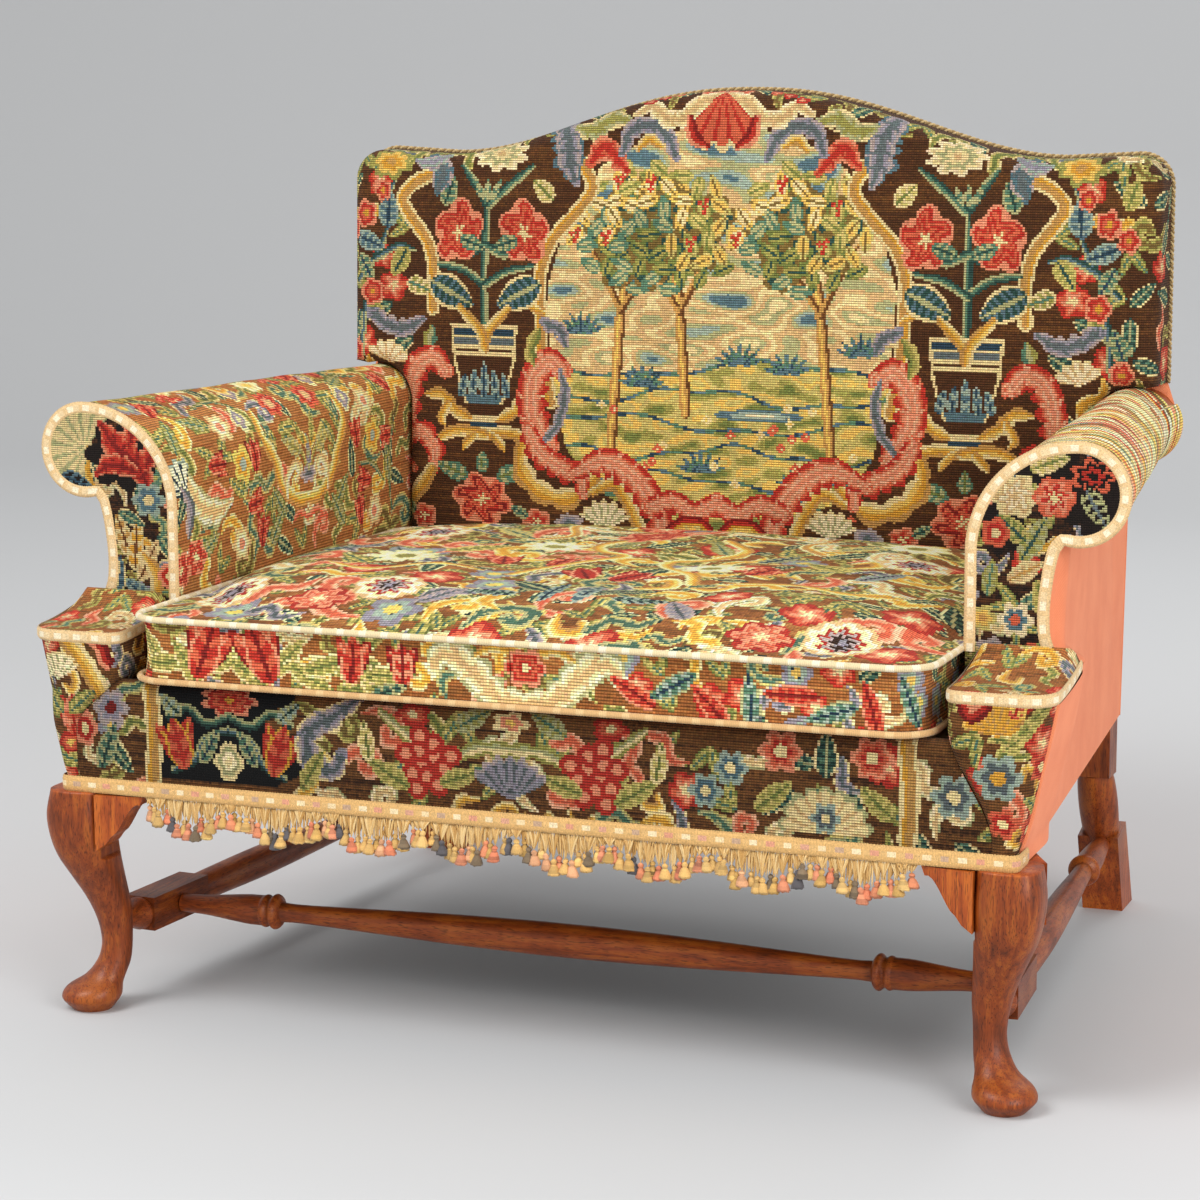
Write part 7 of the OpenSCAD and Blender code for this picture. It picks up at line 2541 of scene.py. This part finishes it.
        def read(spots: Array) -> Array:
            """Reads the rise at points in plan."""
            row = np.clip((spots[:, 1] - self.front_y) / (self.rear_y - self.front_y), 0, 1)
            row = row * (fine.shape[0] - 1)
            half = np.interp(spots[:, 1], y, wide)
            column = np.clip(spots[:, 0] / half / 2 + 0.5, 0, 1) * (fine.shape[1] - 1)
            r0 = np.clip(row.astype(int), 0, fine.shape[0] - 2)
            c0 = np.clip(column.astype(int), 0, fine.shape[1] - 2)
            fr, fc = row - r0, column - c0
            low = lerp(fine[r0, c0], fine[r0, c0 + 1], fc)
            high = lerp(fine[r0 + 1, c0], fine[r0 + 1, c0 + 1], fc)
            return lerp(low, high, fr)

        return read

    def simulate(self, x: Array, y: Array, start: Array) -> Array:
        """Runs the cloth simulation on a coarse copy.

        Args:
            x: Places of the top's grid across.
            y: Places of the top's grid in depth.
            start: Rise of the grid before the simulation.

        Returns:
            Rise of the grid after it.
        """
        rows, columns = x.shape
        top, bottom = joined(x, y, SHAPE.cushion_top + start), joined(x, y, SHAPE.cushion_z)
        quads = grid_quads(rows, columns)
        inner = np.zeros(x.shape, bool)
        inner[1:-1, 1:-1] = True
        edge = [(0, c) for c in range(columns)] + [(r, columns - 1) for r in range(1, rows)]
        edge += [(rows - 1, c) for c in range(columns - 2, -1, -1)] + [(r, 0) for r in range(rows - 2, 0, -1)]
        ring = np.array([r * columns + c for r, c in edge])
        nxt = np.roll(ring, -1)
        side = np.column_stack([ring + rows * columns, nxt + rows * columns, nxt, ring])
        mesh = bpy.data.meshes.new("cushion_trial")
        faces = np.vstack([quads, quads[:, ::-1] + rows * columns, side])
        points = np.vstack([top.reshape(-1, 3), bottom.reshape(-1, 3)])
        mesh.from_pydata(to_frame(points).tolist(), [], faces.tolist())
        trial = placed("cushion_trial", mesh)
        held = trial.vertex_groups.new(name="seams")
        fixed = [int(k) for k in np.flatnonzero(~inner.ravel())] + list(range(rows * columns, len(points)))
        held.add(fixed, 1.0, "REPLACE")
        cloth = trial.modifiers.new("blow", "CLOTH")
        cloth.settings.quality = 6
        cloth.settings.use_pressure = True
        cloth.settings.uniform_pressure_force = self.pressure
        cloth.settings.vertex_group_mass = "seams"
        cloth.settings.tension_stiffness = cloth.settings.compression_stiffness = 12
        cloth.settings.effector_weights.gravity = 0.0
        cloth.collision_settings.use_collision = False
        cloth.point_cache.frame_start, cloth.point_cache.frame_end = 1, 20
        scene = bpy.context.scene
        for step in range(1, 21):
            scene.frame_set(step)
        shown = trial.evaluated_get(bpy.context.evaluated_depsgraph_get())
        co = np.empty(len(points) * 3, np.float32)
        shown.data.vertices.foreach_get("co", co)
        up = co.reshape(-1, 3)[: rows * columns, 2].reshape(rows, columns) / MM - SHAPE.cushion_top - start
        bpy.data.objects.remove(trial)
        bpy.data.meshes.remove(mesh)
        scene.frame_set(1)
        LOG.info("cushion rose by %.1f mm in the simulation", up.max())
        return start + self.cap * np.tanh(np.clip(up, 0, None) / self.cap)


@dataclass
class SeatDeck:
    """What carries the cushion and the back inside: webbing, hessian, platform and lining."""

    finishes: Finishes
    web_w: float = 50.0

    def build(self) -> None:
        """Builds the hidden cloth."""
        self.platform()
        self.webs()
        self.lining()

    @staticmethod
    def rail_x(y: float) -> float:
        """Distance of the side rail's inside from the middle."""
        return lerp(550, 487.2, (y - 7) / 825) - 0.3

    def platform(self) -> None:
        """Lays the stuffed platform on its hessian."""
        box = np.array([(-459, 14), (459, 14), (459, 736), (-459, 736)], float)
        outline = Outline(box, 4.0)
        flat, quads = trimmed(outline, 12.0)
        deep = outline.depth(flat, 10)
        z = 389.0 + 10 * np.sqrt(1 - (1 - deep) ** 2) - 0.8 * deep * (1 + ripples(flat, 60, 6)) / 2
        draft = Draft()
        slab(draft, joined(*flat.T, z), joined(*flat.T, 377.2), quads, flat, linear("#c9b78f"))
        pad = draft.build("platform_scrim", self.finishes.linen, "linen", "frame", ["seat_platform"], 1, 2.0)
        cloth = Draft()
        cloth.sheet(joined(*flat.T, 376.4 + 0.2 * ripples(flat, 50, 8)), quads, flat[quads],
                    linear("#a98a5c"), flip=True)
        piece = cloth.build("seat_hessian_cloth", self.finishes.hessian, "linen", "frame", ["seat_hessian"],
                            1, 2.4)

    def webs(self) -> None:
        """Weaves the webbing of the seat and of the back."""
        seat, back = Draft(), Draft()
        share = np.linspace(0, 1, 90)[:, None]
        for k in range(6):
            y = 154.3 + 116.2 * k
            half = self.rail_x(y + self.web_w) - 3
            self.band(seat, lerp(np.array((-half, y, 372.6)), np.array((half, y, 372.6)), share), (0, 1, 0))
        for k in range(9):
            x = -439.2 + 103.55 * k
            self.band(seat, lerp(np.array((x, 11.0, 374.1)), np.array((x, 821.2, 374.1)), share), (1, 0, 0))
        for k in range(7):
            x = -454 + (908 - self.web_w) * k / 6
            self.band(back, lerp(np.array((x, 786.4, 422.0)), np.array((x, 786.4, 940.0)), share), (1, 0, 0))
        for k in range(5):
            z = lerp(462, 850, k / 4)
            self.band(back, lerp(np.array((-454.0, 785.0, z)), np.array((454.0, 785.0, z)), share), (0, 0, 1))
        for draft, name, node in ((seat, "seat_webs", "seat_webbing"), (back, "back_webs", "back_webbing")):
            draft.build(name, self.finishes.webbing, "linen", "frame", [node], 1, 2.2)

    def band(self, draft: Draft, path: Array, across: tuple[float, float, float]) -> None:
        """Adds one band of webbing, 1 mm thick, with its two raised edge threads."""
        side = np.array(across, float)
        over = units(np.cross(path[-1] - path[0], side))
        w = self.web_w
        rim = [(0, -0.5), (0, 0.5), (3, 0.6), (w / 2, 0.5), (w - 3, 0.6), (w, 0.5), (w, -0.5), (w - 3, -0.6),
               (w / 2, -0.5), (3, -0.6)]
        ring = np.array([u * side + h * over for u, h in rim])
        draft.grid(path[:, None] + ring[None], linear("#c8b288"), wrap=True)

    def lining(self) -> None:
        """Tacks the black lining under the seat."""
        rear, front = self.rail_x(783.2) - 6, self.rail_x(119) - 6
        plan = np.array([(453.1, 10), (453.1, 119), (front, 119), (rear, 783.2)])
        outline = Outline(np.vstack([plan, plan[::-1] * (-1, 1)]), 4.0)
        flat, quads = trimmed(outline, 9.0)
        deep = outline.depth(flat, 60)
        draft = Draft()
        z = 264.6 - 0.8 * deep * (1 + ripples(flat, 120, 2)) / 2
        draft.sheet(joined(*flat.T, z), quads, flat[quads], linear("#2a2827"), flip=True)
        piece = draft.build("bottom_lining_cloth", self.finishes.lining, "black_lining", "frame",
                            ["bottom_lining"], 1, 1.8)


@dataclass
class Woodwork:
    """Show-wood: cabriole front legs, and finishes for the posts, stretchers and hidden frame."""

    finishes: Finishes
    leg_x: float = 524.0
    leg_y: float = 46.0
    sway: float = 25.0
    top_z: float = 265.0
    sways: Path = ((0, 0.88), (0.06, 0.9), (0.1, 0.78), (0.14, 0.45), (0.2, 0.14), (0.27, 0), (0.34, 0),
                   (0.42, 0.08), (0.5, 0.26), (0.6, 0.56), (0.7, 0.85), (0.8, 1.02), (0.9, 1.08), (1, 1))
    widths: Path = ((0, 45.5), (0.02, 55.2), (0.055, 69), (0.09, 66.9), (0.14, 48.3), (0.2, 40), (0.27, 36),
                    (0.34, 37.4), (0.42, 42.5), (0.5, 47.9), (0.6, 56.9), (0.7, 66.2), (0.8, 70.9),
                    (0.87, 72), (1, 67))

    def build(self) -> None:
        """Carves the legs and finishes the rest of the wood."""
        for side in (-1, 1):
            self.leg(side)
        axes = {"cross_stretcher": 0, "front_seat_rail": 0, "back_seat_rail": 0, "crest_rail": 0,
                "back_stay_rail": 0, "side_stretcher": 1, "side_seat_rail": 1, "seat_brace": 1,
                "arm_roll_rail": 1, "arm_stay_rail": 1}
        shown = ("knee_bracket", "back_post", "side_stretcher", "cross_stretcher")
        hidden = ("front_seat_rail", "back_seat_rail", "side_seat_rail", "seat_brace", "corner_blocks",
                  "crest_rail", "back_stay_rail", "arm_roll_rail", "arm_stay_rail", "arm_scroll_board",
                  "front_block")
        for name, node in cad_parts.items():
            stem = name
            for end in ("_left", "_right", "_front", "_side"):
                stem = stem.removesuffix(end)
            axis = axes.get(stem, 2)
            if stem.startswith(shown):
                finish = self.finishes.walnut[axis]
            elif name.startswith(hidden):
                finish = self.finishes.frame_wood[axis]
            elif name == "lining_tacks":
                finish = self.finishes.steel
            else:
                continue
            node.data.materials.clear()
            node.data.materials.append(finish)

    @staticmethod
    def eased(table: Path, s: float) -> float:
        """Reads a table of stations with smooth bends between them."""
        xs, ys = np.array(table, float).T
        slope = np.gradient(ys, xs)
        k = int(np.clip(np.searchsorted(xs, s) - 1, 0, len(xs) - 2))
        h = xs[k + 1] - xs[k]
        t = (s - xs[k]) / h
        return float((2 * t**3 - 3 * t**2 + 1) * ys[k] + (t**3 - 2 * t**2 + t) * h * slope[k]
                     + (3 * t**2 - 2 * t**3) * ys[k + 1] + (t**3 - t**2) * h * slope[k + 1])

    def leg(self, side: int) -> None:
        """Carves one cabriole leg with its pad foot and the post above it."""
        turn = np.linspace(0, 2 * math.pi, 96, endpoint=False)
        cos, sin = np.cos(turn), np.sin(turn)
        rings = []
        for s in np.concatenate([[0], np.linspace(0, 0.012, 5)[1:], np.linspace(0.012, 1, 130)[1:]]):
            n = lerp(2, 2.9, float(ease((s - 0.3) / 0.5)))
            r = self.eased(self.widths, s) / 2
            sway = self.sway * self.eased(self.sways, s)
            x = self.leg_x + sway + r * np.sign(cos) * np.abs(cos) ** (2 / n)
            y = self.leg_y - sway + r * np.sign(sin) * np.abs(sin) ** (2 / n)
            if s > 0.698:
                x, y = np.maximum(x, 517.13), np.minimum(y, 52.87)
            rings.append(joined(x, y, self.top_z * s))
        start = rings[0].mean(0)
        rings = [np.tile(start, (96, 1)), lerp(start, rings[0], 0.9)] + rings
        end = rings[-1].mean(0)
        rings.append(np.tile(end, (96, 1)))
        draft = Draft()
        draft.grid(np.array(rings), linear("#84452a"), wrap=True)
        x0, x1, y0, y1 = 500.2, 549.8, 7.2, 56.8
        plan = np.array([(x0, y0), (x1, y0), (x1, y1), (x0, y1)])
        soft = np.vstack([lerp(plan[k], plan[(k + 1) % 4], t) for k in range(4) for t in (0.04, 0.5, 0.96)])
        levels = [(264.2, 0.0), (264.2, 1.0), (300, 1.0), (371.2, 1.0), (371.8, 0.97), (371.8, 0.0)]
        middle = np.array([(x0 + x1) / 2, (y0 + y1) / 2])
        post = np.array([np.column_stack([lerp(middle, soft, share), np.full(12, z)]) for z, share in levels])
        draft.grid(post, linear("#84452a"), wrap=True)
        word = "right" if side > 0 else "left"
        draft.build("cabriole_leg_" + word, self.finishes.walnut[2], "walnut", "frame", ["front_leg_" + word],
                    side, 4.0)


def main() -> None:
    """Builds the settee and its studio in order."""
    logging.basicConfig(level=logging.INFO, format="%(name)s: %(message)s")
    finishes = Finishes()
    Studio().build()
    Woodwork(finishes).build()
    SeatDeck(finishes).build()
    Back(finishes).build()
    for side in (-1, 1):
        Arm(side, finishes).build()
        FrontBlock(side, finishes).build()
    SeatFront(finishes).build()
    Cushion(finishes).build()


if __name__ == "__main__":
    main()
